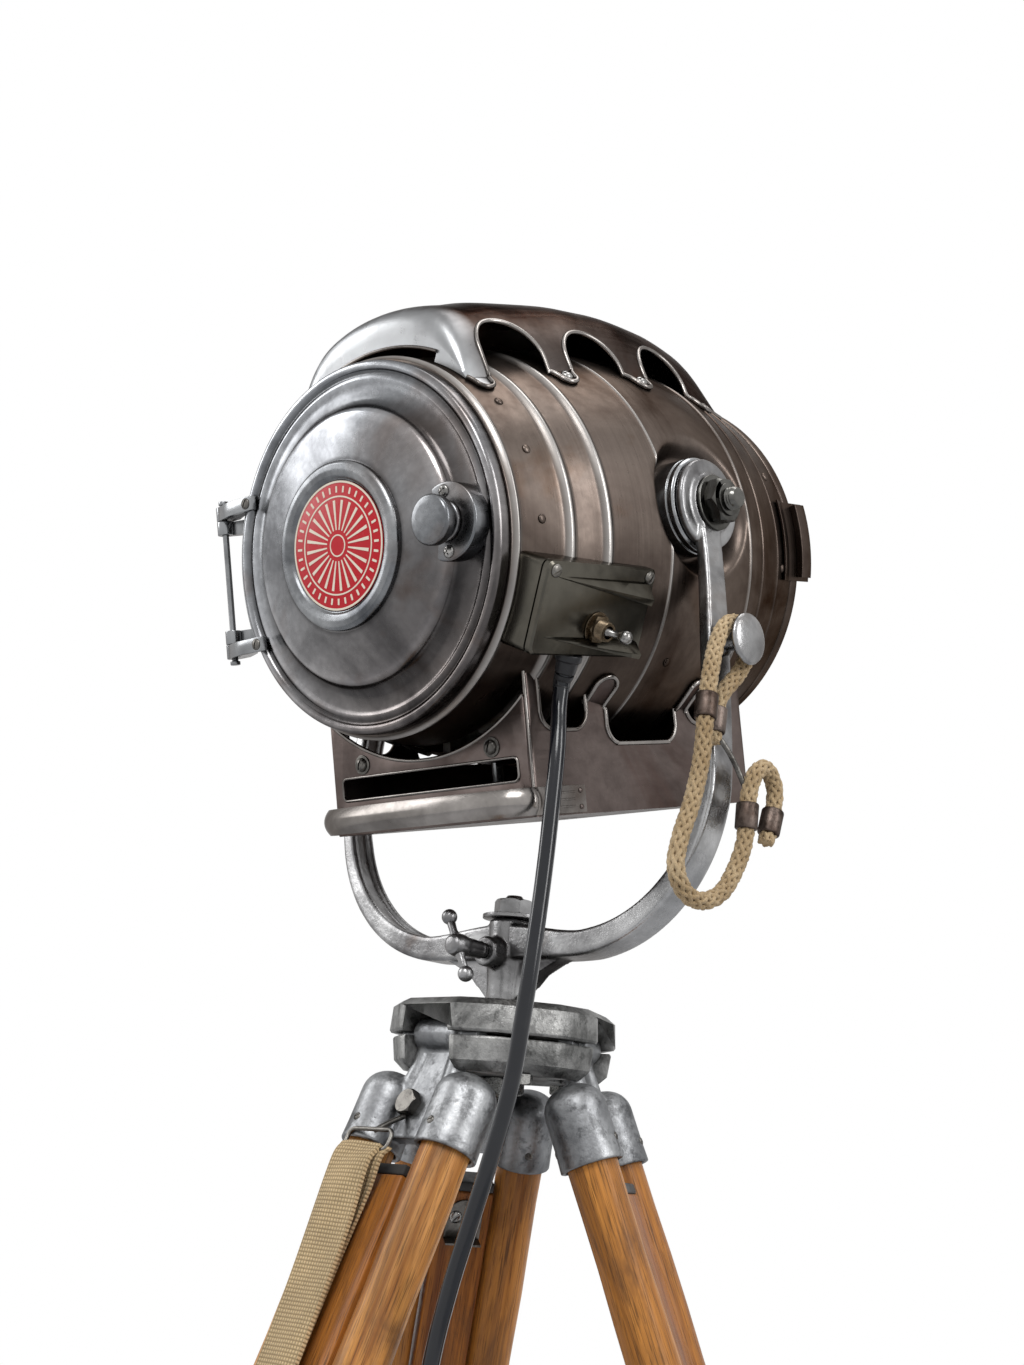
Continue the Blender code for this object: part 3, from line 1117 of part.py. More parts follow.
def make_leg(number, leg, slide):
    """One leg about its hinge pin: x outward, y along the pin, z up the leg."""
    n = "_%d" % number

    def tag(name):
        return name + n

    pin = rod(LEG_PIN_SHAFT_R, -LEG_PIN_HALF, LEG_PIN_HALF, "Y", 8)
    bracket = piece(tag("leg_bracket"), rod(BARREL_R, -SLOT_WIDTH / 2 + 0.0015, SLOT_WIDTH / 2 - 0.0015,
                                            "Y"), "cast_zinc", leg)
    half = WEB_THICK / 2
    web = loft([[(POLE_X - half, -w, z), (POLE_X + half, -w, z), (POLE_X + half, w, z),
                 (POLE_X - half, w, z)]
                for z, w in ((0.002, WEB_HALF_TOP), (-0.030, WEB_HALF_TOP), (WEB_BOTTOM, WEB_HALF_BOTTOM))])
    bridge = box((POLE_X - 0.004, -POLE_SPACING / 2, FERRULE_TOP - 0.040),
                 (POLE_X + 0.004, POLE_SPACING / 2, FERRULE_TOP - 0.014))
    add(bracket, leg, pin=pin, web=web, bridge=bridge)
    sides = (("near", -POLE_SPACING / 2), ("far", POLE_SPACING / 2))
    hole = POLE_R + GAP
    mid_wall = (hole + FERRULE_R) / 2
    for name, y in sides:
        core = rod(mid_wall, FERRULE_BOTTOM - 0.01, FERRULE_TOP - 0.004, "Z", 8)
        cut(bracket, leg, **{"core_" + name: moved(core, (POLE_X, y, 0))})
        ferrule = lathe([(0, FERRULE_TOP), (FERRULE_R * 0.7, FERRULE_TOP - 0.003),
                         (FERRULE_R, FERRULE_TOP - 0.015), (FERRULE_R, FERRULE_BOTTOM), (hole,
                             FERRULE_BOTTOM),
                         (hole, POLE_TOP + GAP), (0, POLE_TOP + GAP)], "Z", POLE_SEGMENTS)
        add(bracket, leg, **{"ferrule_" + name: moved(ferrule, (POLE_X, y, 0))})
        pole = rod(POLE_R, POLE_BOTTOM, POLE_TOP, "Z", POLE_SEGMENTS)
        piece(tag("leg_pole_" + name), moved(pole, (POLE_X, y, 0)), "wood", leg)

    outline = [(POLE_X + a, b) for a, b in rounded_outline(COLLAR_HALF_DEPTH, COLLAR_HALF_WIDTH, 0.019, 3)]
    collar = piece(tag("leg_collar"), prism(outline, COLLAR_TOP - COLLAR_HEIGHT, COLLAR_TOP), "cast_zinc",
                   leg)
    slot = box((POLE_X - BOARD_THICK / 2 - GAP, -BOARD_WIDTH / 2 - GAP, COLLAR_TOP - COLLAR_HEIGHT - 0.01),
               (POLE_X + BOARD_THICK / 2 + GAP, BOARD_WIDTH / 2 + GAP, COLLAR_TOP + 0.01))
    cut(collar, leg, board_slot=slot)
    for name, y in sides:
        blind = rod(hole, POLE_BOTTOM - GAP, COLLAR_TOP + 0.01, "Z", POLE_SEGMENTS)
        cut(collar, leg, **{"bore_" + name: moved(blind, (POLE_X, y, 0))})

    length = leg_length()
    shoe_top = -length + SHOE_LENGTH
    board = box((POLE_X - BOARD_THICK / 2, -BOARD_WIDTH / 2, shoe_top + GAP),
                (POLE_X + BOARD_THICK / 2, BOARD_WIDTH / 2, BOARD_TOP))
    piece(tag("inner_leg"), board, "wood", slide, smooth=False)
    shoe = lathe([(0, -length - BALL_R), (BALL_R * 0.7, -length - BALL_R * 0.7),
                  (BALL_R, -length), (SHOE_R * 0.8, -length + 0.014),
                  (SHOE_R, shoe_top - 0.018), (SHOE_R, shoe_top), (0, shoe_top)], "Z", SMALL_SEGMENTS)
    foot = piece(tag("leg_foot"), moved(shoe, (POLE_X, 0, 0)), "black_rubber", slide)
    floor = tool(tag("floor_cut"), box((-1, -1, -0.2), (1, 1, 0)), None)
    boolean(foot, floor)


def leg_length():
    """From the hinge pin to the foot ball's centre, along the leg."""
    pin_height = TRUNNION_HEIGHT + LEG_PIN_Z
    return (pin_height + POLE_X * math.sin(LEG_SPLAY) - BALL_HEIGHT) / math.cos(LEG_SPLAY)


def foot_reach():
    """How far from the pan axis a foot's ball stands."""
    return LEG_PIN_R + POLE_X * math.cos(LEG_SPLAY) + leg_length() * math.sin(LEG_SPLAY)


def stand_centre():
    """The pan axis, placed so that the feet's box is centred on the origin."""
    xs = [foot_reach() * math.cos(a) for a in LEG_AZIMUTHS]
    ys = [foot_reach() * math.sin(a) for a in LEG_AZIMUTHS]
    return Vector((-(max(xs) + min(xs)) / 2, -(max(ys) + min(ys)) / 2, TRUNNION_HEIGHT))


def make_strap(leg):
    x = POLE_X + STRAP_OFFSET
    path = smooth_path([(x + 0.013, STRAP_TOP), (x + 0.016, STRAP_TOP - 0.02),
                        (x + 0.009, STRAP_TOP - 0.08),
                        (x + 0.0075, -0.30), (x + 0.009, -0.45), (x + 0.012,
                            STRAP_BOTTOM + 0.02), (x + 0.017, STRAP_BOTTOM)], 3)
    sections = []
    for p in path:
        px, pz = p[0], p[1]
        low, high = STRAP_Y - STRAP_WIDTH / 2, STRAP_Y + STRAP_WIDTH / 2
        sections.append([(px, low, pz), (px + STRAP_THICK, low, pz), (px + STRAP_THICK, high, pz),
                         (px, high, pz)])
    piece("leg_strap", loft(sections), "webbing", leg)


# Soft lines

def tube(name, points, radius, finish, axis, resolution=2):
    """A cord as a curve tube through smooth points, in its axis empty's frame."""
    curve = bpy.data.curves.new(name, "CURVE")
    curve.dimensions = "3D"
    curve.bevel_depth = radius
    curve.bevel_resolution = resolution
    curve.use_fill_caps = True
    spline = curve.splines.new("POLY")
    spline.points.add(len(points) - 1)
    for point, place in zip(spline.points, points):
        point.co = (*place, 1)
    curve.materials.append(material(name, *FINISHES[finish]))
    made = bpy.data.objects.new(name, curve)
    bpy.context.scene.collection.objects.link(made)
    made.parent = axis
    return made


ROPE_ROUTE = (
    (0.1600, -0.0160, -0.1560), (0.1600, -0.0120, -0.1300), (0.1605, 0.0060, -0.1080), (0.1610, 0.0128,
        -0.0920),
    (0.1610, 0.0035, -0.0803), (0.1610, -0.0090, -0.0830), (0.1625, -0.0195, -0.0960), (0.1670, -0.0300,
        -0.1160),
    (0.1705, -0.0375, -0.1400), (0.1720, -0.0410, -0.1700), (0.1725, -0.0480, -0.1970), (0.1725, -0.0570,
        -0.2200),
    (0.1725, -0.0595, -0.2370), (0.1725, -0.0500, -0.2490), (0.1725, -0.0340, -0.2510), (0.1725, -0.0170,
        -0.2430),
    (0.1725, -0.0050, -0.2270), (0.1725, 0.0020, -0.2100), (0.1725, 0.0030, -0.1900), (0.1725, 0.0080,
        -0.1720),
    (0.1725, 0.0190, -0.1650), (0.1725, 0.0290, -0.1750), (0.1725, 0.0270, -0.1950), (0.1725, 0.0220,
        -0.2080),
)


# Route of the cord below its gland, about the trunnion's centre, down to the floor and along it
CORD_DROP = (
    (0.1015, -0.0830, -0.1755), (0.1030, -0.0883, -0.2453), (0.1010, -0.0925, -0.3062), (0.0960, -0.0937,
        -0.3547),
    (0.0870, -0.0979, -0.4020), (0.0740, -0.1010, -0.4500), (0.0640, -0.1035, -0.4960), (0.0600, -0.1060,
        -0.5600),
    (0.0585, -0.1080, -0.7000), (0.0600, -0.1120, -0.9000), (0.0640, -0.1180, -1.1000), (0.0700, -0.1260,
        -1.2300),
)
CORD_FLOOR = (          # place and height above the cord's rest
    (0.0800, -0.1390, 0.0350), (0.1000, -0.1600, 0.0040), (0.1270, -0.1840, 0.0), (0.1540, -0.2010, 0.0),
)
CORD_REST = CORD_R + 0.0004
CORD_POINTS = 58
COIL_CENTRE = (0.2150, -0.1500)
COIL_START_R = 0.0620
COIL_PITCH = 2 * CORD_R + 0.0009
COIL_LAYER_TURNS = 2.25
COIL_TURN_POINTS = 24
COIL_TAIL = 0.100
COIL_LEAST_GAP = 0.0004
PLUG_HALF = (0.019, 0.0145, 0.0125)
PLUG_RELIEF = 0.030
PLUG_BLADE = (0.017, 0.0063, 0.0015)


def coil_path(rest):
    """Spirals in on the floor, climbs a layer in the half turn where it reverses, and spirals out again."""
    lay = 2 * math.pi * COIL_LAYER_TURNS
    span = 2 * lay + math.pi
    count = round(span / (2 * math.pi) * COIL_TURN_POINTS)
    points = []
    for i in range(count + 1):
        a = span * i / count
        reach = a if a < lay + math.pi / 2 else span - a
        climb = min(max((a - lay) / math.pi, 0), 1)
        r = COIL_START_R - COIL_PITCH * reach / (2 * math.pi)
        z = rest + COIL_PITCH * (1 - math.cos(math.pi * climb)) / 2
        angle = a - math.pi / 2
        points.append(Vector((COIL_CENTRE[0] + r * math.cos(angle), COIL_CENTRE[1] + r * math.sin(angle),
                              z)))
    start, end = points[0], points[-1]
    lead = [start - Vector((2 * CORD_R * k, 0, 0)) for k in (1.5, 0.5)]
    tail = []
    steps = 8
    for i in range(1, steps + 1):
        share = i / steps
        fall = min(max((share - 0.3) / 0.6, 0), 1)
        z = end.z - COIL_PITCH * (1 - math.cos(math.pi * fall)) / 2
        tail.append(Vector((end.x + COIL_TAIL * share, end.y, z)))
    return lead + points + tail


def segment_gap(a, b, c, d):
    """Least distance between two segments, measured at eleven points of each."""
    first = [a.lerp(b, i / 10) for i in range(11)]
    second = [c.lerp(d, i / 10) for i in range(11)]
    return min((p - q).length for p in first for q in second)


def least_gap(points):
    """A wound tube's least gap to itself, beyond the bend next to each step."""
    least = 1.0
    for i in range(len(points) - 1):
        for k in range(i + 5, len(points) - 1):
            if (points[i] - points[k]).length < 0.05:
                least = min(least, segment_gap(points[i], points[i + 1], points[k],
                                               points[k + 1]) - 2 * CORD_R)
    return least


def even_points(path, count):
    """The same path with points at even steps along it."""
    steps = [0.0]
    for a, b in zip(path, path[1:]):
        steps.append(steps[-1] + (b - a).length)
    found = []
    k = 0
    for i in range(count):
        want = steps[-1] * i / (count - 1)
        while k < len(path) - 2 and steps[k + 1] < want:
            k += 1
        share = (want - steps[k]) / (steps[k + 1] - steps[k])
        found.append(path[k].lerp(path[k + 1], min(share, 1)))
    return found, steps[-1]


def make_cord(stand, centre):
    turn = Matrix.Rotation(HEAD_TILT, 3, "X")
    mouth, along = gland_mouth()
    start = turn @ (mouth - Vector((0, 0, DRUM_DROP)))
    away = turn @ along
    floor = -centre.z
    rest = floor + CORD_REST
    coil = coil_path(rest)
    gap = least_gap(coil)
    print("coil's least gap to itself %.2f mm, wanted over %.2f mm" % (gap * 1000, COIL_LEAST_GAP * 1000))
    tube("cord_coil", coil, CORD_R, "black_rubber", stand, 1)
    along = Vector((1, 0, 0))
    meet = coil[0] - along * GAP
    straight = 2 * CORD_R
    route = [start + away * straight] + [Vector(p) for p in CORD_DROP]
    route += [Vector((x, y, rest + h)) for x, y, h in CORD_FLOOR]
    route += [meet - along * straight]
    points, length = even_points(smooth_path(route, 8), CORD_POINTS)
    points = [start + away * GAP] + points + [meet]
    length += 2 * straight
    wound = sum((b - a).length for a, b in zip(coil, coil[1:]))
    print("cord %.3f m, coil %.3f m" % (length, wound))
    tube("cord", points, CORD_R, "black_rubber", stand)
    plug = Vector((coil[-1].x + GAP + PLUG_RELIEF + PLUG_HALF[0], coil[-1].y, floor + PLUG_HALF[2] + GAP))

    hx, hy, hz = PLUG_HALF
    body = loft([[(x, a, b) for a, b in rounded_outline(hy * k, hz * k, 0.004)]
                 for x, k in ((-hx, 0.72), (-hx + 0.008, 1.0), (hx - 0.002, 1.0), (hx, 0.93))])
    made = piece("plug", moved(body, plug), "black_rubber", stand)
    drop = Vector((0, 0, coil[-1].z - plug.z))
    relief = lathe([
        (0, -hx + 0.004), (0.0082, -hx + 0.004), (0.0062, -hx - PLUG_RELIEF), (0, -hx - PLUG_RELIEF),
    ], "X", 12)
    bmesh.ops.translate(relief, verts=[v for v in relief.verts if v.co.x < -hx], vec=drop)
    length, width, thick = PLUG_BLADE
    shapes = {"relief": moved(relief, plug)}
    for name, y in (("right", 0.0063), ("left", -0.0063)):
        low = (hx - 0.003, y - thick / 2, -width / 2)
        high = (hx + length, y + thick / 2, width / 2)
        shapes["blade_" + name] = moved(box(low, high), plug)
    add(made, stand, **shapes)


# Assembly

def main():
    clear_scene()
    centre = stand_centre()
    stand = empty("stand_axis", centre)
    yoke = empty("yoke_axis", centre)
    clamp = empty("clamp_axis", (0, 0, CLAMP_Z), yoke, place=(0, 0, CLAMP_Z))
    head = empty("head_axis", centre, rotation=(HEAD_TILT, 0, 0), place=(0, 0, DRUM_DROP))

    def head_empty(name, place, parent=head, rotation=(0, 0, 0)):
        return empty(name, Vector(place) - PLACES[parent.name], parent, rotation, place)

    door = head_empty("door_axis", (HINGE_X, HINGE_Y, 0))
    latch = head_empty("latch_axis", (LATCH_X, DRUM_REAR, 0), door)
    focus = head_empty("focus_axis", (0, CARRIAGE_Y, 0))
    toggle = head_empty("toggle_axis", box_frame() @ Vector((*TOGGLE_PLACE, PIVOT_PLACE)))

    make_drum(head)
    make_front(head)
    make_door(door, latch)
    make_hinge(head, door)
    make_hood(head)
    make_base(head)
    make_switch(head, toggle)
    make_source(head, focus)
    make_trunnions(head)
    make_yoke(yoke)
    make_clamp(clamp)
    tube("tie_rope", smooth_path(ROPE_ROUTE, 2), ROPE_R, "jute", yoke)
    make_head_plates(stand)
    make_cord(stand, centre)
    for number, azimuth in enumerate(LEG_AZIMUTHS, 1):
        turn = Matrix.Rotation(azimuth, 4, "Z") @ Matrix.Rotation(-LEG_SPLAY, 4, "Y")
        pin = centre + Matrix.Rotation(azimuth, 4, "Z") @ Vector((LEG_PIN_R, 0, LEG_PIN_Z))
        leg = empty("leg_axis_%d" % number, pin, rotation=turn.to_euler())
        slide = empty("slide_axis_%d" % number, (0, 0, 0), leg)
        make_leg(number, leg, slide)
        if number == 3:
            make_strap(leg)


main()
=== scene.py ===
# %% [markdown]
# # A keg light on its wooden tripod
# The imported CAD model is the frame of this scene: it gives every body, its place and its size in metres.
# We load it first and dress it piece by piece, so nothing has to be fitted by eye afterwards.

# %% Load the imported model
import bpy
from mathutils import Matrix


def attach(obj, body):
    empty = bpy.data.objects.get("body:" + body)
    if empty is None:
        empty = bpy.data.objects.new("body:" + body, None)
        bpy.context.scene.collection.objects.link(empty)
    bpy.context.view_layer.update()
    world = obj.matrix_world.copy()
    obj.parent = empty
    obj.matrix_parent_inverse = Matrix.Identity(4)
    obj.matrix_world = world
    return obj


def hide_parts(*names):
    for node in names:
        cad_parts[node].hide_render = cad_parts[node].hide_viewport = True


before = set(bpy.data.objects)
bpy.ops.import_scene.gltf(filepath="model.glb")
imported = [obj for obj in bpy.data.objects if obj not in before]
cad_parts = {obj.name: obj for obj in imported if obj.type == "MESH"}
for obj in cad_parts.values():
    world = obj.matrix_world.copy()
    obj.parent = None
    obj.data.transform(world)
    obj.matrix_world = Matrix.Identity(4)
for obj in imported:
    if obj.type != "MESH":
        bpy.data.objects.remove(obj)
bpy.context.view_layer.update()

from math import copysign, cos, degrees, hypot, pi, radians, sin, sqrt

import bmesh
import bpy
from mathutils import Matrix, Vector

# %% [markdown]
# The lamp head hangs tilted in its yoke, and each leg leans on its hinge pin. A piece is easiest to draw
# square to its own axes, so each group gets one matrix that carries its drawing into the room.

# %% Places of the head, the yoke and the legs
def mm(rows, *bases):
    """A table in millimetres as lengths in metres; each column may count from a base of its own."""
    return [tuple(value / 1000 + base for value, base in zip(row, bases or (0,) * len(row))) for row in rows]


STAND = Vector((-0.015388, 0.096703, 1.33))      # where the pan axis meets the trunnion axis
HEAD_TILT = radians(14.1)
DRUM_DROP = 0.013                                 # drum axis below the trunnion axis
YOKE = Matrix.Translation(STAND)
TURN_HEAD = Matrix.Rotation(HEAD_TILT, 4, "X")
HEAD = YOKE @ TURN_HEAD @ Matrix.Translation((0, 0, -DRUM_DROP))
LEG_PIN = Vector((0.048, 0, -0.3253))
LEG_SPLAY = radians(22)
LEG_AZIMUTHS = [radians(a) for a in (26, 146, 266)]
print("trunnions %.3f m above the floor" % STAND.z)


def leg_place(azimuth):
    """Carries a leg drawn about its hinge pin (x outward, z up the leg) into the room."""
    turn = Matrix.Rotation(azimuth, 4, "Z")
    return YOKE @ turn @ Matrix.Translation(LEG_PIN) @ Matrix.Rotation(-LEG_SPLAY, 4, "Y")

# %% [markdown]
# The photographer stood low and close, and looked up at the lamp with a slightly rolled camera. A matrix
# built from the three view directions holds that roll, which two aiming angles alone could not.

# %% Camera
def linked(name, data):
    """A new object in the scene."""
    made = bpy.data.objects.new(name, data)
    bpy.context.scene.collection.objects.link(made)
    return made


AZIMUTH, ELEVATION, ROLL = 0.763557, -0.2689, 0.081035
FOCAL_PIXELS = 1830
IMAGE_HEIGHT = 1365
SENSOR = 36.0
CAMERA_PLACE = STAND + Vector((0.777531, -0.830503, -0.410103))

back = Vector((sin(AZIMUTH) * cos(ELEVATION), -cos(AZIMUTH) * cos(ELEVATION), sin(ELEVATION)))
level = Vector((cos(AZIMUTH), sin(AZIMUTH), 0))
upright = back.cross(level)
right = level * cos(ROLL) + upright * sin(ROLL)
upward = upright * cos(ROLL) - level * sin(ROLL)
lens = bpy.data.cameras.new("camera")
lens.sensor_fit = "VERTICAL"
lens.sensor_height = SENSOR
lens.lens = FOCAL_PIXELS / IMAGE_HEIGHT * SENSOR
camera = linked("camera", lens)
camera.matrix_world = Matrix((right, upward, back)).transposed().to_4x4()
camera.location = CAMERA_PLACE
bpy.context.scene.camera = camera
print("camera lens %.1f mm" % lens.lens)

# %% [markdown]
# A finish is a small tree of shader nodes. This helper makes a node and fills its sockets in one call:
# a value is set on the socket, and another node's output is linked to it.

# %% Shader helpers
FINISHES = {}


def node(tree, kind, inputs=None, **settings):
    """Adds a node; inputs maps a socket's name or number to a value or to another node's output."""
    made = tree.nodes.new("ShaderNode" + kind)
    for key, value in settings.items():
        setattr(made, key, value)
    for key, value in (inputs or {}).items():
        if isinstance(value, bpy.types.NodeSocket):
            tree.links.new(value, made.inputs[key])
        else:
            made.inputs[key].default_value = value
    return made


def ramp(tree, factor, *stops):
    """A colour ramp through (place, grey or colour) stops."""
    made = node(tree, "ValToRGB", {0: factor})
    elements = made.color_ramp.elements
    elements[0].position, elements[1].position = stops[0][0], stops[-1][0]
    for place, _ in stops[1:-1]:
        elements.new(place)
    for element, (_, colour) in zip(elements, stops):
        colour = (colour,) * 3 if isinstance(colour, (int, float)) else colour
        element.color = (*colour, 1)
    return made.outputs["Color"]


def mixed(tree, factor, a, b, blend="MIX"):
    """Mixes two colours."""
    a, b = [value if isinstance(value, bpy.types.NodeSocket) else (*value, 1) for value in (a, b)]
    return node(tree, "Mix", {0: factor, 6: a, 7: b}, data_type="RGBA", blend_type=blend).outputs[2]


def start_finish(name, slot, **constants):
    """A new material with its shader's constants set; returns its tree and shader."""
    made = bpy.data.materials.new(name)
    made.use_nodes = True
    shader = made.node_tree.nodes["Principled BSDF"]
    for key, value in constants.items():
        shader.inputs[key.replace("_", " ")].default_value = value
    FINISHES[name] = (made, slot)
    return made.node_tree, shader


def place_of(tree, matrix=None):
    """Object coordinates, turned into a group's own frame."""
    vector = node(tree, "TexCoord").outputs["Object"]
    if matrix is not None:
        location, turn, _ = matrix.decompose()
        vector = node(tree, "Mapping", {"Vector": vector, "Location": location, "Rotation": turn.to_euler()},
            vector_type="TEXTURE").outputs[0]
    return vector


def speckle(tree, vector, scale, detail=4.0, rough=0.55, distortion=0.0):
    """A noise value."""
    return node(tree, "TexNoise", {"Vector": vector, "Scale": scale, "Detail": detail, "Roughness": rough,
        "Distortion": distortion}).outputs["Fac"]


def stretched(tree, vector, scale):
    """The same coordinates, scaled along each axis."""
    return node(tree, "Mapping", {"Vector": vector, "Scale": scale}).outputs[0]


def fed(shader, **sources):
    """Links outputs to the shader's sockets."""
    for key, source in sources.items():
        shader.id_data.links.new(source, shader.inputs[key.replace("_", " ")])


def worked(tree, operation, *values):
    """A sum on numbers."""
    return node(tree, "Math", dict(enumerate(values)), operation=operation).outputs[0]


def bumped(tree, shader, height, distance, strength=1.0, normal=None):
    """Gives the shader a fine relief; distance is its real depth in metres."""
    inputs = {"Height": height, "Distance": distance, "Strength": strength}
    if normal is not None:
        inputs["Normal"] = normal
    made = node(tree, "Bump", inputs)
    fed(shader, Normal=made.outputs[0])
    return made.outputs[0]

# %% [markdown]
# The head is old sheet steel, stripped and burnished, with fine lines round the drum and cloudy stains. Three
# noises at three scales give clouds, blotches and scratches, and a colour ramp turns each into a tone.
# Painted light and shade
# come on top: highlight bands on the drum's crests, partly wear, painted highlights and shade in rings on the
# door, and a tone that darkens towards one side.

# %% Burnished steel
def crest_wear_and_highlight(tree, local, crests, low=-0.17, high=0.13):
    """One on the crests across the drum's length, zero between them: bands of painted highlight, partly wear.
    """
    along = node(tree, "SeparateXYZ", {0: local}).outputs[1]
    share = node(tree, "MapRange", {0: along, 1: low, 2: high}).outputs[0]
    stops = []
    for place, half in crests:
        centre, width = (place - low) / (high - low), half / (high - low)
        stops += [(centre - width, 0.0), (centre, 1.0), (centre + width, 0.0)]
    return ramp(tree, share, *stops)


def light_and_shade_rings(tree, local, stops, reach=0.12):
    """A tone for each distance from the drum's axis: rings of painted highlight and painted shade."""
    split = node(tree, "SeparateXYZ", {0: local}).outputs
    flat = node(tree, "CombineXYZ", {0: split[0], 2: split[2]}).outputs[0]
    radius = node(tree, "VectorMath", {0: flat}, operation="LENGTH").outputs["Value"]
    return ramp(tree, node(tree, "MapRange", {0: radius, 2: reach}).outputs[0],
        *[(r / reach, tone) for r, tone in stops])


def burnished(name, slot, dark, light, stain, matrix, lines=(3, 700, 3), roughness=(0.24, 0.42), seed=0.0,
        clean=0.45, crests=(), crest_tone=(0.4, 0.4, 0.4), pits=0.0, brush=0.6, rings=(), fall=None,
        edge=0.45):
    tree, shader = start_finish(name, slot, Metallic=1.0, Specular_Tint=(edge, edge * 0.97, edge * 0.95, 1))
    local = place_of(tree, matrix)
    shifted = node(tree, "Mapping", {"Vector": local, "Location": (seed, seed * 0.7, -seed)}).outputs[0]
    clouds = speckle(tree, shifted, 11.0, 5.0, 0.6, 0.6)
    blotch = speckle(tree, shifted, 70.0, 6.0, 0.7)
    brushed = stretched(tree, shifted, lines)
    scratch = speckle(tree, brushed, 1.0, 3.0, 0.6)
    tone = ramp(tree, clouds, (clean - 0.12, 0.0), (clean + 0.17, 1.0))
    colour = mixed(tree, tone, dark, light)
    mottle = ramp(tree, blotch, (0.42, 1.0), (0.62, 0.72))
    colour = mixed(tree, 0.55, colour, mottle, "MULTIPLY")
    stained = ramp(tree, speckle(tree, shifted, 6.0, 4.0, 0.6, 1.2), (0.56, 0.0), (0.7, 0.8))
    colour = mixed(tree, stained, colour, stain)
    streak = ramp(tree, scratch, (0.35, 0.86), (0.65, 1.12))
    colour = mixed(tree, brush, colour, streak, "MULTIPLY")
    # Painted light and shade: the colour darkens along one direction and brightens a little the other way.
    if fall:
        direction, low, high, deep = fall
        along = node(tree, "VectorMath", {0: local, 1: direction}, operation="DOT_PRODUCT").outputs["Value"]
        share = node(tree, "MapRange", {0: along, 1: low, 2: high}).outputs[0]
        colour = mixed(tree, 1.0, colour, ramp(tree, share, (0.0, deep), (1.0, 1.12)), "MULTIPLY")
    # Painted highlights on the door's rims and painted shade in its grooves, ring by ring.
    if rings:
        colour = mixed(tree, 0.9, colour, light_and_shade_rings(tree, local, rings), "MULTIPLY")
    # Lighter tone on the crests: painted highlight, partly wear.
    if crests:
        blend_mask = mixed(tree, 0.6, crest_wear_and_highlight(tree, local, crests), ramp(tree, clouds, (0.3, 0.35), (0.6, 1.0)),
            "MULTIPLY")
        colour = mixed(tree, blend_mask, colour, crest_tone)
    fed(shader, Base_Color=colour)
    low, high = roughness
    dull = mixed(tree, 0.5, ramp(tree, blotch, (0.35, low), (0.65, high)),
        ramp(tree, scratch, (0.3, low), (0.7, high)))
    fed(shader, Roughness=dull)
    relief = bumped(tree, shader, scratch, 0.00004, 0.35)
    last = bumped(tree, shader, speckle(tree, shifted, 26.0, 2.0), 0.0006, 0.25, relief)
    if pits:
        bumped(tree, shader, speckle(tree, shifted, 420.0, 3.0, 0.6), pits, 0.8, last)


# The drum's beads and laps: bands of painted highlight, partly wear.
CREST_WEAR_AND_HIGHLIGHT = ((-0.1515, 0.004), (-0.113, 0.0046), (-0.087, 0.0046), (-0.036, 0.0014), (0.0475, 0.001))
# Door rings: bright tones paint highlights on the step edges, dark tones paint shade in the grooves.
DOOR_LIGHT_AND_SHADE_RINGS = ((0.05, 1.0), (0.051, 0.4), (0.0535, 0.85), (0.062, 1.0), (0.0745, 1.15), (0.0795, 1.75),
    (0.0815, 1.3), (0.0838, 0.32), (0.088, 0.5), (0.093, 0.8), (0.0965, 1.0), (0.099, 1.7), (0.1012, 1.0),
    (0.1034, 0.3), (0.1052, 0.75), (0.1078, 1.8), (0.1098, 1.1))
# Drum: painted highlight bands on its crests, partly wear, and painted shade that darkens it towards the
# bottom.
burnished("drum_steel", "dark_steel", (0.046, 0.034, 0.029), (0.128, 0.104, 0.09), (0.076, 0.044, 0.027),
    HEAD, brush=0.4, crests=CREST_WEAR_AND_HIGHLIGHT, crest_tone=(0.4, 0.385, 0.37),
    fall=((0.25, 0, 1), -0.12, 0.07, (0.52, 0.47, 0.43)), edge=0.4)
# Cover: a band of painted highlight on its rounded rear lip.
burnished("hood_steel", "dark_steel", (0.052, 0.042, 0.038), (0.132, 0.114, 0.106), (0.074, 0.048, 0.04),
    HEAD, seed=2.3, lines=(500, 5, 5), crests=((-0.139, 0.022),), crest_tone=(0.37, 0.38, 0.39), brush=0.3,
    edge=0.22)
burnished("base_steel", "dark_steel", (0.062, 0.048, 0.044), (0.15, 0.122, 0.113), (0.08, 0.052, 0.045),
    HEAD, seed=4.1, lines=(30, 30, 500), brush=0.15, edge=0.35)
burnished("box_steel", "dark_steel", (0.034, 0.031, 0.026), (0.105, 0.098, 0.082), (0.05, 0.04, 0.028), HEAD,
    seed=7.7, brush=0.15, roughness=(0.16, 0.28), edge=0.5)
# A lighter copy of the dark steel for the rolled edges and the bow: painted highlight.
burnished("hem_steel", "dark_steel", (0.085, 0.076, 0.07), (0.3, 0.28, 0.265), (0.08, 0.06, 0.05), HEAD,
    seed=6.4, brush=0.2, roughness=(0.18, 0.3), edge=0.5)
burnished("door_steel", "bright_steel", (0.08, 0.084, 0.092), (0.29, 0.298, 0.308), (0.11, 0.08, 0.064),
    HEAD, lines=(220, 6, 220), seed=1.2, roughness=(0.2, 0.36), clean=0.5)
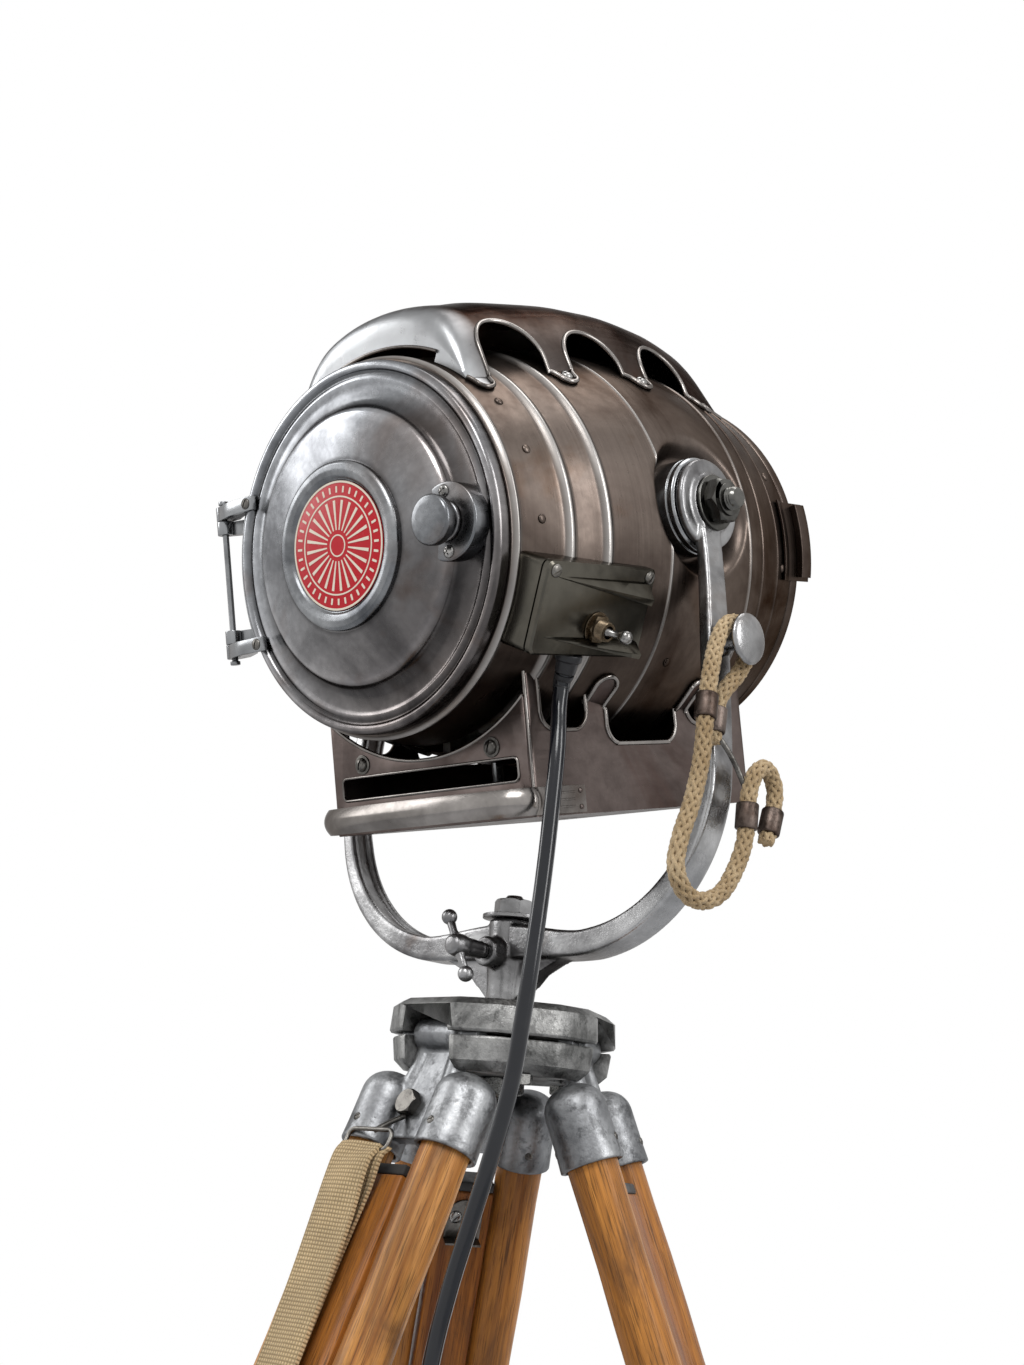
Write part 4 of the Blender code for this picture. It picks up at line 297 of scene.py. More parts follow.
# Door panel: painted highlights on its step edges, painted shade in its grooves, and painted light at the
# upper left fading to painted shade at the lower right.
burnished("panel_steel", "bright_steel", (0.062, 0.064, 0.07), (0.275, 0.283, 0.296), (0.105, 0.074, 0.058),
    HEAD, lines=(220, 6, 220), seed=1.2, roughness=(0.16, 0.32), clean=0.47, brush=0.45, rings=DOOR_LIGHT_AND_SHADE_RINGS,
    fall=((-0.55, 0, 0.84), -0.095, 0.055, (0.58, 0.51, 0.47)))
burnished("rim_steel", "bright_steel", (0.15, 0.154, 0.16), (0.38, 0.39, 0.4), (0.13, 0.108, 0.095), HEAD,
    roughness=(0.16, 0.3), seed=3.3, edge=0.6)
burnished("yoke_steel", "forged_steel", (0.115, 0.112, 0.114), (0.43, 0.43, 0.432), (0.115, 0.085, 0.066),
    YOKE, lines=(60, 60, 60), roughness=(0.2, 0.4), seed=5.2, pits=0.00022, edge=0.6)
burnished("nut_steel", "forged_steel", (0.07, 0.069, 0.064), (0.235, 0.23, 0.218), (0.085, 0.062, 0.046),
    HEAD, lines=(60, 60, 60), roughness=(0.16, 0.3), seed=8.8, edge=0.5)
print("steel finishes:", sorted(FINISHES))

# %% [markdown]
# The tripod's castings are zinc alloy: pale grey, grainy and dulled, with darker stains and small pits from
# the mould. A Voronoi texture makes the pits, because they are separate dots and not clouds.

# %% Cast metal
def cast(name, slot, dark, light, roughness=(0.34, 0.52), pits=0.0004, scale=1.0, metallic=1.0):
    tree, shader = start_finish(name, slot, Metallic=metallic, Specular_Tint=(0.6, 0.6, 0.6, 1))
    local = place_of(tree)
    clouds = speckle(tree, local, 22.0 * scale, 6.0, 0.65, 0.4)
    grain = speckle(tree, local, 420.0 * scale, 3.0, 0.6)
    colour = mixed(tree, ramp(tree, clouds, (0.36, 0.0), (0.62, 1.0)), dark, light)
    colour = mixed(tree, 0.5, colour, ramp(tree, grain, (0.36, 0.8), (0.62, 1.1)), "MULTIPLY")
    stains = ramp(tree, speckle(tree, local, 48.0 * scale, 6.0, 0.75), (0.53, 1.0), (0.6, 0.42))
    colour = mixed(tree, 0.8, colour, stains, "MULTIPLY")
    fed(shader, Base_Color=colour)
    fed(shader, Roughness=ramp(tree, grain, (0.3, roughness[0]), (0.7, roughness[1])))
    dots = node(tree, "TexVoronoi", {"Vector": local, "Scale": 260.0 * scale}).outputs["Distance"]
    relief = bumped(tree, shader, ramp(tree, dots, (0.05, 0.0), (0.22, 1.0)), pits * 0.3, 0.5)
    bumped(tree, shader, grain, pits, 0.5, relief)


cast("tripod_casting", "cast_zinc", (0.135, 0.138, 0.144), (0.33, 0.336, 0.344))
cast("rough_casting", "cast_zinc", (0.095, 0.095, 0.093), (0.36, 0.358, 0.35), (0.36, 0.58), 0.0006, 1.3)
cast("plated_bolts", "cast_zinc", (0.19, 0.188, 0.178), (0.42, 0.416, 0.4), (0.22, 0.36), 0.00006, 2.0)
cast("dark_bolts", "bright_steel", (0.085, 0.08, 0.074), (0.2, 0.19, 0.175), (0.28, 0.45), 0.0001, 2.0)
cast("silver_screws", "bright_steel", (0.15, 0.146, 0.14), (0.36, 0.352, 0.34), (0.18, 0.34), 0.00004, 3.0)
cast("old_brass", "brass", (0.18, 0.13, 0.07), (0.52, 0.42, 0.25), (0.24, 0.4), 0.00006, 3.0)
cast("dull_bronze", "brass", (0.07, 0.052, 0.034), (0.2, 0.155, 0.105), (0.22, 0.38), 0.00004, 3.0)
cast("tin_crimp", "bright_steel", (0.06, 0.042, 0.034), (0.15, 0.12, 0.105), (0.34, 0.52), 0.0002, 2.0)
cast("socket_ceramic", "ceramic", (0.62, 0.58, 0.5), (0.78, 0.75, 0.69), (0.25, 0.4), 0.00008, 1.0, 0.0)
print("finishes so far:", len(FINISHES))

# %% [markdown]
# The legs are oiled hardwood, orange brown, with long dark pores. Wood grain runs along the leg, so each leg
# gets its own copy of the finish, turned with the leg: noise stretched thirty times along it.

# %% Oiled wood
def oiled_wood(name, matrix, seed, pale=(0.54, 0.226, 0.046), deep=(0.205, 0.064, 0.011)):
    tree, shader = start_finish(name, "wood", Specular_IOR_Level=0.22, Coat_Weight=0.08, Coat_Roughness=0.25)
    local = place_of(tree, matrix)
    moved = node(tree, "Mapping", {"Vector": local, "Location": (seed, seed, seed)}).outputs[0]
    bands = speckle(tree, stretched(tree, moved, (55, 55, 1.6)), 1.0, 4.0, 0.6, 0.8)
    fibre = speckle(tree, stretched(tree, moved, (700, 700, 14)), 1.0, 4.0, 0.65)
    pores = speckle(tree, stretched(tree, moved, (1500, 1500, 45)), 1.0, 2.0, 0.5)
    colour = mixed(tree, ramp(tree, bands, (0.34, 0.0), (0.64, 1.0)), deep, pale)
    colour = mixed(tree, 0.65, colour, ramp(tree, fibre, (0.34, 0.62), (0.62, 1.12)), "MULTIPLY")
    dark_pores = ramp(tree, pores, (0.34, 0.22), (0.46, 1.0))
    colour = mixed(tree, 0.75, colour, dark_pores, "MULTIPLY")
    # Dark worn patches on the wood.
    blend_mask = ramp(tree, speckle(tree, stretched(tree, moved, (26, 26, 9)), 1.0, 5.0, 0.65, 0.8), (0.5, 0.0),
        (0.66, 0.7))
    colour = mixed(tree, blend_mask, colour, (0.12, 0.05, 0.018))
    fed(shader, Base_Color=colour)
    fed(shader, Roughness=ramp(tree, fibre, (0.3, 0.36), (0.7, 0.56)))
    relief = bumped(tree, shader, dark_pores, 0.00025, 0.6)
    bumped(tree, shader, fibre, 0.00015, 0.5, relief)


for number, azimuth in enumerate(LEG_AZIMUTHS, 1):
    place = leg_place(azimuth)
    tones = ((0.7, 0.335, 0.09), (0.33, 0.122, 0.026)) if number == 3 else ()
    oiled_wood(f"pole_wood_{number}", place, number * 1.7, *tones)
    oiled_wood(f"board_wood_{number}", place, number * 3.1, (0.45, 0.168, 0.032), (0.195, 0.058, 0.01))
print("finishes with the wood:", len(FINISHES))

# %% [markdown]
# Cord sheath and switch parts are black plastic, the strap and the rope are plant fibre. The strap's weave
# follows the piece, so its finish reads a UV map that we lay along the strap while we build it.

# %% Plastic, enamel and glass
def plastic(name, slot, colour, dust, roughness, scale=60.0, sheen=0.5):
    tree, shader = start_finish(name, slot, Roughness=roughness, Specular_IOR_Level=sheen)
    local = place_of(tree)
    smear = speckle(tree, local, scale, 5.0, 0.6)
    fed(shader, Base_Color=mixed(tree, ramp(tree, smear, (0.5, 0.0), (0.75, 0.45)), colour, dust))
    fed(shader, Roughness=ramp(tree, smear, (0.35, roughness * 0.8), (0.7, roughness * 1.5)))
    bumped(tree, shader, speckle(tree, local, 900.0, 2.0), 0.00004, 0.5)


plastic("cord_sheath", "black_rubber", (0.004, 0.005, 0.008), (0.012, 0.013, 0.015), 0.14, sheen=0.45)
plastic("black_moulding", "black_rubber", (0.012, 0.012, 0.014), (0.03, 0.029, 0.027), 0.4, sheen=0.35)
plastic("foot_rubber", "black_rubber", (0.018, 0.018, 0.018), (0.075, 0.068, 0.06), 0.6)
plastic("red_enamel", "enamel", (0.45, 0.008, 0.016), (0.32, 0.012, 0.018), 0.24, sheen=0.22)
plastic("cream_enamel", "enamel", (0.72, 0.64, 0.52), (0.56, 0.49, 0.39), 0.26, sheen=0.25)

tree, shader = start_finish("lens_glass", "glass", Roughness=0.06, IOR=1.47, Transmission_Weight=1.0)
ripple = speckle(tree, place_of(tree), 120.0, 2.0)
fed(shader, Base_Color=ramp(tree, ripple, (0.3, (0.8, 0.86, 0.84)), (0.7, (0.9, 0.94, 0.92))))
bumped(tree, shader, ripple, 0.0002, 0.4)
tree, shader = start_finish("bulb_glass", "glass", Roughness=0.35, IOR=1.45, Transmission_Weight=0.7)
fed(shader, Base_Color=ramp(tree, speckle(tree, place_of(tree), 40.0), (0.3, 0.8), (0.7, 0.92)))
tree, shader = start_finish("mirror_metal", "mirror", Metallic=1.0)
haze = speckle(tree, place_of(tree), 50.0, 4.0)
fed(shader, Base_Color=ramp(tree, haze, (0.3, 0.62), (0.7, 0.82)))
fed(shader, Roughness=ramp(tree, haze, (0.3, 0.06), (0.7, 0.2)))
print("finishes:", len(FINISHES))

# %% [markdown]
# Woven stuff is a pattern of threads that turn with the piece. With a UV map in metres along and across,
# two sine waves make the threads of the strap, and a fine noise keeps them from looking printed.

# %% Woven webbing and jute
def woven(name, slot, pale, dark, pitch, depth):
    tree, shader = start_finish(name, slot, Roughness=0.92, Specular_IOR_Level=0.2, Sheen_Weight=0.1,
        Sheen_Roughness=0.6)
    uv = node(tree, "UVMap", uv_map="weave").outputs[0]
    sides = node(tree, "SeparateXYZ", {0: uv}).outputs[:2]
    waves = [worked(tree, "SINE", worked(tree, "MULTIPLY", side, pi / pitch)) for side in sides]
    lift = worked(tree, "ABSOLUTE", worked(tree, "MULTIPLY", *waves))
    local = place_of(tree)
    fuzz = speckle(tree, local, 1400.0, 3.0, 0.7)
    fade = speckle(tree, local, 28.0, 4.0, 0.6)
    colour = mixed(tree, ramp(tree, lift, (0.05, 0.0), (0.75, 1.0)), dark, pale)
    colour = mixed(tree, 0.6, colour, ramp(tree, fuzz, (0.3, 0.62), (0.7, 1.12)), "MULTIPLY")
    colour = mixed(tree, 0.6, colour, ramp(tree, fade, (0.35, 0.7), (0.65, 1.08)), "MULTIPLY")
    fed(shader, Base_Color=colour)
    relief = bumped(tree, shader, lift, depth, 0.9)
    bumped(tree, shader, fuzz, depth * 0.3, 0.6, relief)


def fibre(name, slot, pale, dark):
    tree, shader = start_finish(name, slot, Roughness=0.95, Specular_IOR_Level=0.2, Sheen_Weight=0.12,
        Sheen_Roughness=0.6)
    local = place_of(tree)
    hairs = speckle(tree, local, 1500.0, 4.0, 0.75)
    fade = speckle(tree, local, 45.0, 4.0, 0.6)
    colour = mixed(tree, ramp(tree, fade, (0.35, 0.0), (0.65, 1.0)), dark, pale)
    colour = mixed(tree, 0.75, colour, ramp(tree, hairs, (0.3, 0.5), (0.7, 1.15)), "MULTIPLY")
    fed(shader, Base_Color=colour)
    bumped(tree, shader, hairs, 0.0004, 0.7)


woven("khaki_webbing", "webbing", (0.76, 0.56, 0.31), (0.38, 0.264, 0.13), 0.0023, 0.0009)
fibre("jute_strand", "jute", (0.56, 0.42, 0.25), (0.33, 0.225, 0.115))
print("all finishes:", len(FINISHES))

# %% [markdown]
# Soft light comes from large lamps on both sides and above. The world is plain white for the camera, for
# mirrors and for glass, and dimmer for everything else, so colours keep the value they were given.

# %% Floor and light
def as_mesh(bm, name):
    """Writes a bmesh to a new mesh."""
    mesh = bpy.data.meshes.new(name)
    bm.to_mesh(mesh)
    bm.free()
    return mesh


def stage_floor():
    bm = bmesh.new()
    bmesh.ops.create_circle(bm, cap_ends=True, radius=2.6, segments=160)
    mesh = as_mesh(bm, "floor")
    tree, shader = start_finish("pale_floor", None, Roughness=0.8)
    tone = ramp(tree, speckle(tree, place_of(tree), 3.0), (0.3, 0.8), (0.7, 0.84))
    fed(shader, Base_Color=tone)
    mesh.materials.append(FINISHES["pale_floor"][0])
    linked("floor", mesh)


def softbox(name, place, target, size, power):
    """A square lamp that faces a target."""
    light = bpy.data.lights.new(name, "AREA")
    light.shape = "RECTANGLE"
    light.size, light.size_y = size
    light.energy = power
    made = linked(name, light)
    made.location = place
    made.rotation_euler = (Vector(target) - Vector(place)).to_track_quat("-Z", "Y").to_euler()


world = bpy.data.worlds.new("studio")
bpy.context.scene.world = world
world.use_nodes = True
tree = world.node_tree
tree.nodes.clear()
path = node(tree, "LightPath")
seen = worked(tree, "MAXIMUM", path.outputs["Is Camera Ray"], path.outputs["Is Glossy Ray"])
seen = worked(tree, "MAXIMUM", seen, path.outputs["Is Transmission Ray"])
ambient = node(tree, "Background", {"Color": (0.92, 0.95, 1.0, 1), "Strength": 0.5})
white = node(tree, "Background", {"Color": (1, 1, 1, 1), "Strength": 1.0})
both = node(tree, "MixShader", {0: seen, 1: ambient.outputs[0], 2: white.outputs[0]})
node(tree, "OutputWorld", {"Surface": both.outputs[0]})
bpy.context.scene.view_settings.view_transform = "Standard"
stage_floor()
MIDDLE = STAND + Vector((0, 0, -0.05))
softbox("key", STAND + Vector((0.9, -1.5, 1.3)), MIDDLE, (0.9, 0.9), 26)
softbox("side", STAND + Vector((1.7, 0.2, 0.5)), MIDDLE, (0.5, 1.3), 14)
softbox("left", STAND + Vector((-1.5, -1.1, 0.7)), MIDDLE, (0.7, 1.2), 14)
softbox("top", STAND + Vector((0.1, 0.4, 1.7)), MIDDLE, (1.2, 0.7), 12)
print("lamps:", len(bpy.data.lights))

# %% [markdown]
# Most pieces here are turned, extruded or swept, as their real ones were made on a lathe, a saw or a bender.
# The helpers return a bmesh, Blender's editable mesh; piece() places it, shades it and hands it to its body.

# %% Solids of revolution, extrusion and sweep
def lathe(profile, axis="Y", segments=96):
    """Turns a closed outline of (radius, place along the axis)."""
    bm = bmesh.new()
    rings = []
    for radius, place in profile:
        ring = []
        for i in range(segments if radius > 1e-7 else 1):
            angle = 2 * pi * i / segments
            c, s = radius * cos(angle), radius * sin(angle)
            ring.append(bm.verts.new({"X": (place, c, s), "Y": (c, place, s), "Z": (c, s, place)}[axis]))
        rings.append(ring)
    for a, b in zip(rings, rings[1:] + rings[:1]):
        for i in range(segments):
            j = (i + 1) % segments
            corners = [a[i % len(a)], a[j % len(a)], b[j % len(b)], b[i % len(b)]]
            corners = list(dict.fromkeys(corners))
            if len(corners) > 2:
                bm.faces.new(corners)
    return bm


def tube(inner, outer, low, high, axis, segments=48, ease=0.0):
    """A plain ring or disc, turned about an axis."""
    outline = [(inner, low), (outer, low), (outer, high), (inner, high)]
    return lathe(eased(outline, ease) if ease else outline, axis, segments)


def loft(sections, closed=False):
    """A skin through equal rings of points, capped unless it runs round and joins itself."""
    bm = bmesh.new()
    rings = [[bm.verts.new(p) for p in section] for section in sections]
    following = rings[1:] + (rings[:1] if closed else [])
    for a, b in zip(rings, following):
        for i in range(len(a)):
            j = (i + 1) % len(a)
            bm.faces.new((a[i], a[j], b[j], b[i]))
    if not closed:
        bm.faces.new(rings[0])
        bm.faces.new(list(reversed(rings[-1])))
    return bm


def prism(outline, low, high, axis="Z"):
    """An outline extruded along an axis."""
    turn = {"X": lambda a, b, h: (h, a, b), "Y": lambda a, b, h: (a, h, b),
        "Z": lambda a, b, h: (a, b, h)}[axis]
    return loft([[turn(a, b, h) for a, b in outline] for h in (low, high)])


def block(low, high):
    """A block between two corners."""
    corners = ((low[0], low[1]), (high[0], low[1]), (high[0], high[1]), (low[0], high[1]))
    return prism(corners, low[2], high[2])


def eased(outline, radius, steps=3):
    """Rounds the corners of a closed outline; points on a lathe's axis stay."""
    points = [Vector(p) for p in outline]
    found = []
    for i, p in enumerate(points):
        a, b = points[i - 1], points[(i + 1) % len(points)]
        before, after = (a - p), (b - p)
        turn = before.length > 1e-7 and after.length > 1e-7 and abs(before.angle(after) - pi) > 0.05
        if p.x < 1e-7 or not turn:
            found.append(p)
            continue
        reach = min(radius, before.length * 0.45, after.length * 0.45)
        start, end = p + before.normalized() * reach, p + after.normalized() * reach
        for k in range(steps + 1):
            t = k / steps
            found.append(start * (1 - t) ** 2 + p * 2 * t * (1 - t) + end * t * t)
    return [tuple(p) for p in found]


def smooth_path(points, steps):
    """Points on a Catmull-Rom curve through a route."""
    route = [Vector(p) for p in points]
    route = [route[0] * 2 - route[1]] + route + [route[-1] * 2 - route[-2]]
    found = []
    for a, b, c, d in zip(route, route[1:], route[2:], route[3:]):
        for i in range(steps):
            t = i / steps
            found.append(0.5 * (2 * b + (c - a) * t + (2 * a - 5 * b + 4 * c - d) * t * t
                + (3 * b - a - 3 * c + d) * t ** 3))
    return found + [route[-2]]


def circle(radius, sides):
    """A round section."""
    return [(radius * cos(2 * pi * i / sides), radius * sin(2 * pi * i / sides)) for i in range(sides)]


def heading(path, i, closed=False):
    """The direction of a path at its point number i."""
    if closed:
        return (path[(i + 1) % len(path)] - path[i - 1]).normalized()
    return (path[min(i + 1, len(path) - 1)] - path[max(i - 1, 0)]).normalized()


def sweep(path, section, closed=False, scale=None):
    """Carries a flat section along a path without twist."""
    path = [Vector(p) for p in path]
    rings = []
    side = None
    for i, p in enumerate(path):
        along = heading(path, i, closed)
        if side is None:
            side = along.orthogonal().normalized()
        else:
            side = (side - along * side.dot(along)).normalized()
        rise = side.cross(along).normalized()
        size = scale(i / (len(path) - 1)) if scale else 1.0
        rings.append([p + side * a * size + rise * b * size for a, b in section])
    return loft(rings, closed)

# %% [markdown]
# Real sheet and castings are punched and drilled, so a boolean does the same here.

# %% Joining and carving solids
def as_object(bm, name="work"):
    bmesh.ops.recalc_face_normals(bm, faces=bm.faces)
    return linked(name, as_mesh(bm, name))


def flattened(made):
    """The evaluated mesh of an object with modifiers, which are then removed."""
    bpy.context.view_layer.update()
    evaluated = made.evaluated_get(bpy.context.evaluated_depsgraph_get())
    mesh = bpy.data.meshes.new_from_object(evaluated)
    made.modifiers.clear()
    made.data = mesh
    return made


def reopened(made):
    """An object's evaluated mesh as a bmesh again; the object goes."""
    bm = bmesh.new()
    bm.from_mesh(flattened(made).data)
    bpy.data.objects.remove(made, do_unlink=True)
    return bm


def carved(bm, cutters, operation="DIFFERENCE"):
    """Takes cutters from a solid, or joins them to it."""
    host = as_object(bm)
    tools = [as_object(cutter, "cutter") for cutter in cutters]
    for guide in tools:
        modifier = host.modifiers.new("carve", "BOOLEAN")
        modifier.operation = operation
        modifier.solver = "EXACT"
        modifier.object = guide
    made = reopened(host)
    for thing in tools:
        bpy.data.objects.remove(thing, do_unlink=True)
    return made


def merged(*parts):
    """Several meshes as one."""
    whole = parts[0]
    for part in parts[1:]:
        mesh = as_mesh(part, "part")
        whole.from_mesh(mesh)
        bpy.data.meshes.remove(mesh)
    return whole


def turned(bm, matrix):
    bm.transform(matrix)
    return bm


def shifted(bm, x=0, y=0, z=0):
    bm.transform(Matrix.Translation((x, y, z)))
    return bm

# %% [markdown]
# Every piece ends the same way: placed, seams closed, edges broken, finished and set on the body it moves
# with. One function does it, so that no piece misses a step.

# %% Handing a piece to its body
def piece(name, bm, place, finish, body, replaces="", bevel=0.0, sharp=38, recalc=True):
    """Places a mesh, softens its edges, gives it a finish and lets it ride on its body."""
    bm.transform(place)
    bmesh.ops.remove_doubles(bm, verts=bm.verts, dist=1e-6)
    if recalc:
        bmesh.ops.recalc_face_normals(bm, faces=bm.faces)
    mesh = as_mesh(bm, name)
    print(name, "faces:", len(mesh.polygons))
    mesh.shade_smooth()
    mesh.set_sharp_from_angle(angle=radians(sharp))
    made = linked(name, mesh)
    if bevel:
        modifier = made.modifiers.new("edges", "BEVEL")
        modifier.width = bevel
        modifier.segments = 2
        modifier.limit_method = "ANGLE"
        modifier.angle_limit = radians(35)
        modifier.use_clamp_overlap = True
        flattened(made)
        made.data.shade_smooth()
        made.data.set_sharp_from_angle(angle=radians(50))
    return dressed(made, finish, body, replaces)


def dressed(made, finish, body, replaces=""):
    material, slot = FINISHES[finish]
    made.data.materials.clear()
    made.data.materials.append(material)
    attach(made, body)
    if replaces:
        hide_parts(*replaces.split())
    return made

# %% [markdown]
# ## The cord
# A rubber cord leaves its gland under the switch box, hangs down in front of the legs and lies coiled on the
# floor. A Bezier curve through measured points keeps its length and its bends honest.

# %% The cord's route
CORD_R = 0.0047
GAP = 0.0003             # air between two pieces that only touch
BOX_TURN = radians(24)
BOX_FACE = 0.134
BOX_HALF_HEIGHT = 0.027
GLAND_PLACE = (-0.107, 0.0075)
GLAND_LENGTH = 0.012
CORD_DROP = mm([(101.5, -83, -175.5), (103, -88.3, -245.3), (101, -92.5, -306.2), (96, -93.7, -354.7),
    (87, -97.9, -402), (74, -101, -450), (64, -103.5, -496), (60, -106, -560), (58.5, -108, -700),
    (60, -112, -900), (64, -118, -1100), (70, -126, -1230)])
CORD_FLOOR = mm([(80, -139, 35), (100, -160, 4), (127, -184, 0), (154, -201, 0)])
COIL_CENTRE = (0.215, -0.15)
COIL_START_R = 0.062
COIL_PITCH = 2 * CORD_R + 0.0009
COIL_LAYER_TURNS = 2.25
COIL_TURN_POINTS = 24
COIL_TAIL = 0.1
REST = CORD_R + 0.0004 - STAND.z


def box_frame():
    """Switch box coordinates (along the drum, up its face, out of its face) into drum coordinates."""
    out = Vector((cos(BOX_TURN), 0, -sin(BOX_TURN)))
    up = Vector((sin(BOX_TURN), 0, cos(BOX_TURN)))
    matrix = Matrix((Vector((0, 1, 0)), up, out)).transposed().to_4x4()
    matrix.translation = out * BOX_FACE
    return matrix


def coil_points():
    """Spirals in, climbs one cord while it turns back, and spirals out on top."""
    lay = 2 * pi * COIL_LAYER_TURNS
    span = 2 * lay + pi
    count = round(span / (2 * pi) * COIL_TURN_POINTS)
    points = []
    for i in range(count + 1):
        a = span * i / count
        reach = a if a < lay + pi / 2 else span - a
        climb = min(max((a - lay) / pi, 0), 1)
        r = COIL_START_R - COIL_PITCH * reach / (2 * pi)
        z = REST + COIL_PITCH * (1 - cos(pi * climb)) / 2
        angle = a - pi / 2
        points.append(Vector((COIL_CENTRE[0] + r * cos(angle), COIL_CENTRE[1] + r * sin(angle), z)))
    start, end = points[0], points[-1]
    lead = [start - Vector((2 * CORD_R * k, 0, 0)) for k in (1.5, 0.5)]
    tail = []
    for i in range(1, 9):
        fall = min(max((i / 8 - 0.3) / 0.6, 0), 1)
        drop = COIL_PITCH * (1 - cos(pi * fall)) / 2
        tail.append(Vector((end.x + COIL_TAIL * i / 8, end.y, end.z - drop)))
    return lead + points + tail


def even_points(path, count):
    """The same line with points at even steps."""
    steps = [0.0]
    for a, b in zip(path, path[1:]):
        steps.append(steps[-1] + (b - a).length)
    found = []
    k = 0
    for i in range(count):
        want = steps[-1] * i / (count - 1)
        while k < len(path) - 2 and steps[k + 1] < want:
            k += 1
        share = (want - steps[k]) / (steps[k + 1] - steps[k])
        found.append(path[k].lerp(path[k + 1], min(share, 1)))
    return found


def length_of(points):
    return sum((b - a).length for a, b in zip(points, points[1:]))


print("cord in the coil:", round(length_of(coil_points()), 3), "m")

# %% [markdown]
# A curve with a round bevel stays editable, and its handles bend it as softly as rubber does. Its last
# points are the coil's own, so the length is the sum of all steps.

# %% The cord as one open curve
box_matrix = box_frame()
mouth = box_matrix @ Vector((GLAND_PLACE[0], -BOX_HALF_HEIGHT - GAP - GLAND_LENGTH, -GLAND_PLACE[1]))
mouth_rel = TURN_HEAD @ (mouth - Vector((0, 0, DRUM_DROP)))
away = (TURN_HEAD @ (box_matrix.to_3x3() @ Vector((0, -1, 0)))).normalized()
coil = coil_points()
straight = 2 * CORD_R
route = [mouth_rel + away * straight] + [Vector(p) for p in CORD_DROP]
route += [Vector((x, y, REST + h)) for x, y, h in CORD_FLOOR]
route += [coil[0] - Vector((straight + GAP, 0, 0))]
hanging = [mouth_rel + away * GAP] + even_points(smooth_path(route, 10), 36)
cord_line = [p + STAND for p in hanging + coil]

curve = bpy.data.curves.new("power_cord", "CURVE")
curve.dimensions = "3D"
curve.bevel_depth = CORD_R
curve.bevel_resolution = 5
curve.use_fill_caps = True
curve.resolution_u = 6
spline = curve.splines.new("BEZIER")
spline.bezier_points.add(len(cord_line) - 1)
for point, place in zip(spline.bezier_points, cord_line):
    point.co = place
    point.handle_left_type = point.handle_right_type = "AUTO"
power_cord = linked("power_cord", curve)
dressed(power_cord, "cord_sheath", "stand", "cord cord_coil")
print("cord %.3f m" % length_of(cord_line))

# %% [markdown]
# The plug is moulded on: a waisted body with finger ribs, a tapered relief and two flat blades. It lies
# beside the coil, where the cord comes down to the floor again.

# %% Plug
PLUG_HALF = (0.019, 0.0145, 0.0125)
PLUG_RELIEF = 0.03
plug_place = Vector((coil[-1].x + GAP + PLUG_RELIEF + PLUG_HALF[0], coil[-1].y, PLUG_HALF[2] + GAP - STAND.z))


def rounded(half_a, half_b, corner, steps=5):
    """A rectangle with round corners."""
    points = []
    for k, (sa, sb) in enumerate(((1, 1), (-1, 1), (-1, -1), (1, -1))):
        for i in range(steps + 1):
            angle = pi / 2 * (k + i / steps)
            points.append((sa * (half_a - corner) + corner * cos(angle),
                sb * (half_b - corner) + corner * sin(angle)))
    return points


hx, hy, hz = PLUG_HALF
stations = [(-hx, 0.7), (-hx + 0.003, 0.8), (-hx + 0.008, 0.99)]
for rib in range(4):
    at = -hx + 0.011 + rib * 0.0045
    stations += [(at, 0.99), (at + 0.0006, 0.94), (at + 0.0024, 0.94), (at + 0.003, 0.99)]
stations += [(hx - 0.003, 0.99), (hx - 0.001, 0.97), (hx, 0.92)]
body = loft([[(x, a, b) for a, b in rounded(hy * k, hz * k, 0.0045)] for x, k in stations])
relief_profile = [(0, -hx + 0.002), (0.0082, -hx + 0.002)]
for rib in range(5):
    at = -hx - 0.002 - rib * 0.0055
    size = 0.008 - rib * 0.00055
    relief_profile += [(size, at), (size, at - 0.003), (size - 0.0009, at - 0.0036),
        (size - 0.0009, at - 0.005)]
relief_profile += [(0.005, -hx - PLUG_RELIEF), (0, -hx - PLUG_RELIEF)]
relief = lathe(relief_profile, "X", 32)
for vert in relief.verts:
    vert.co.z += (coil[-1].z - plug_place.z) * max(-hx - vert.co.x, 0) / PLUG_RELIEF
PLUG = YOKE @ Matrix.Translation(plug_place)
plug = piece("cord_plug", merged(body, relief), PLUG, "black_moulding", "stand", "plug", sharp=30)
blades = []
for y in (-0.0063, 0.0063):
    blade = prism(eased([(hx - 0.003, -0.0031), (hx + 0.0168, -0.0031), (hx + 0.0168, 0.0031),
        (hx - 0.003, 0.0031)], 0.0012), y - 0.00075, y + 0.00075, "Y")
    blades.append(blade)
plug_blades = piece("cord_plug_blades", merged(*blades), PLUG, "old_brass", "stand")

# %% [markdown]
# ## The head
# The drum is spun sheet, swollen like a barrel, with two rolled beads at the back and thin laps where the
# sheets overlap. A lathe outline draws it, and the trunnions' dished seats are pressed in by moving vertices.

# %% The drum's outline
DRUM_REAR, DRUM_FRONT = -0.155, 0.112
DRUM_WALL = 0.0016
DRUM_KNOTS = mm([(-155, 112), (-113, 119), (-87, 125.5), (-38, 133), (-10, 134.5), (15, 134.5), (45, 131.5),
    (64, 128.5), (112, 118)])
# place along the axis, half width, height
RIDGES = mm([(-151.5, 3.4, 2), (-113, 4.8, 2.1), (-87, 4.8, 2.1), (-36, 1.6, 0.7), (47.5, 2.2, 0.9),
    (66, 1.4, 0.7), (90, 1.4, 0.6)])


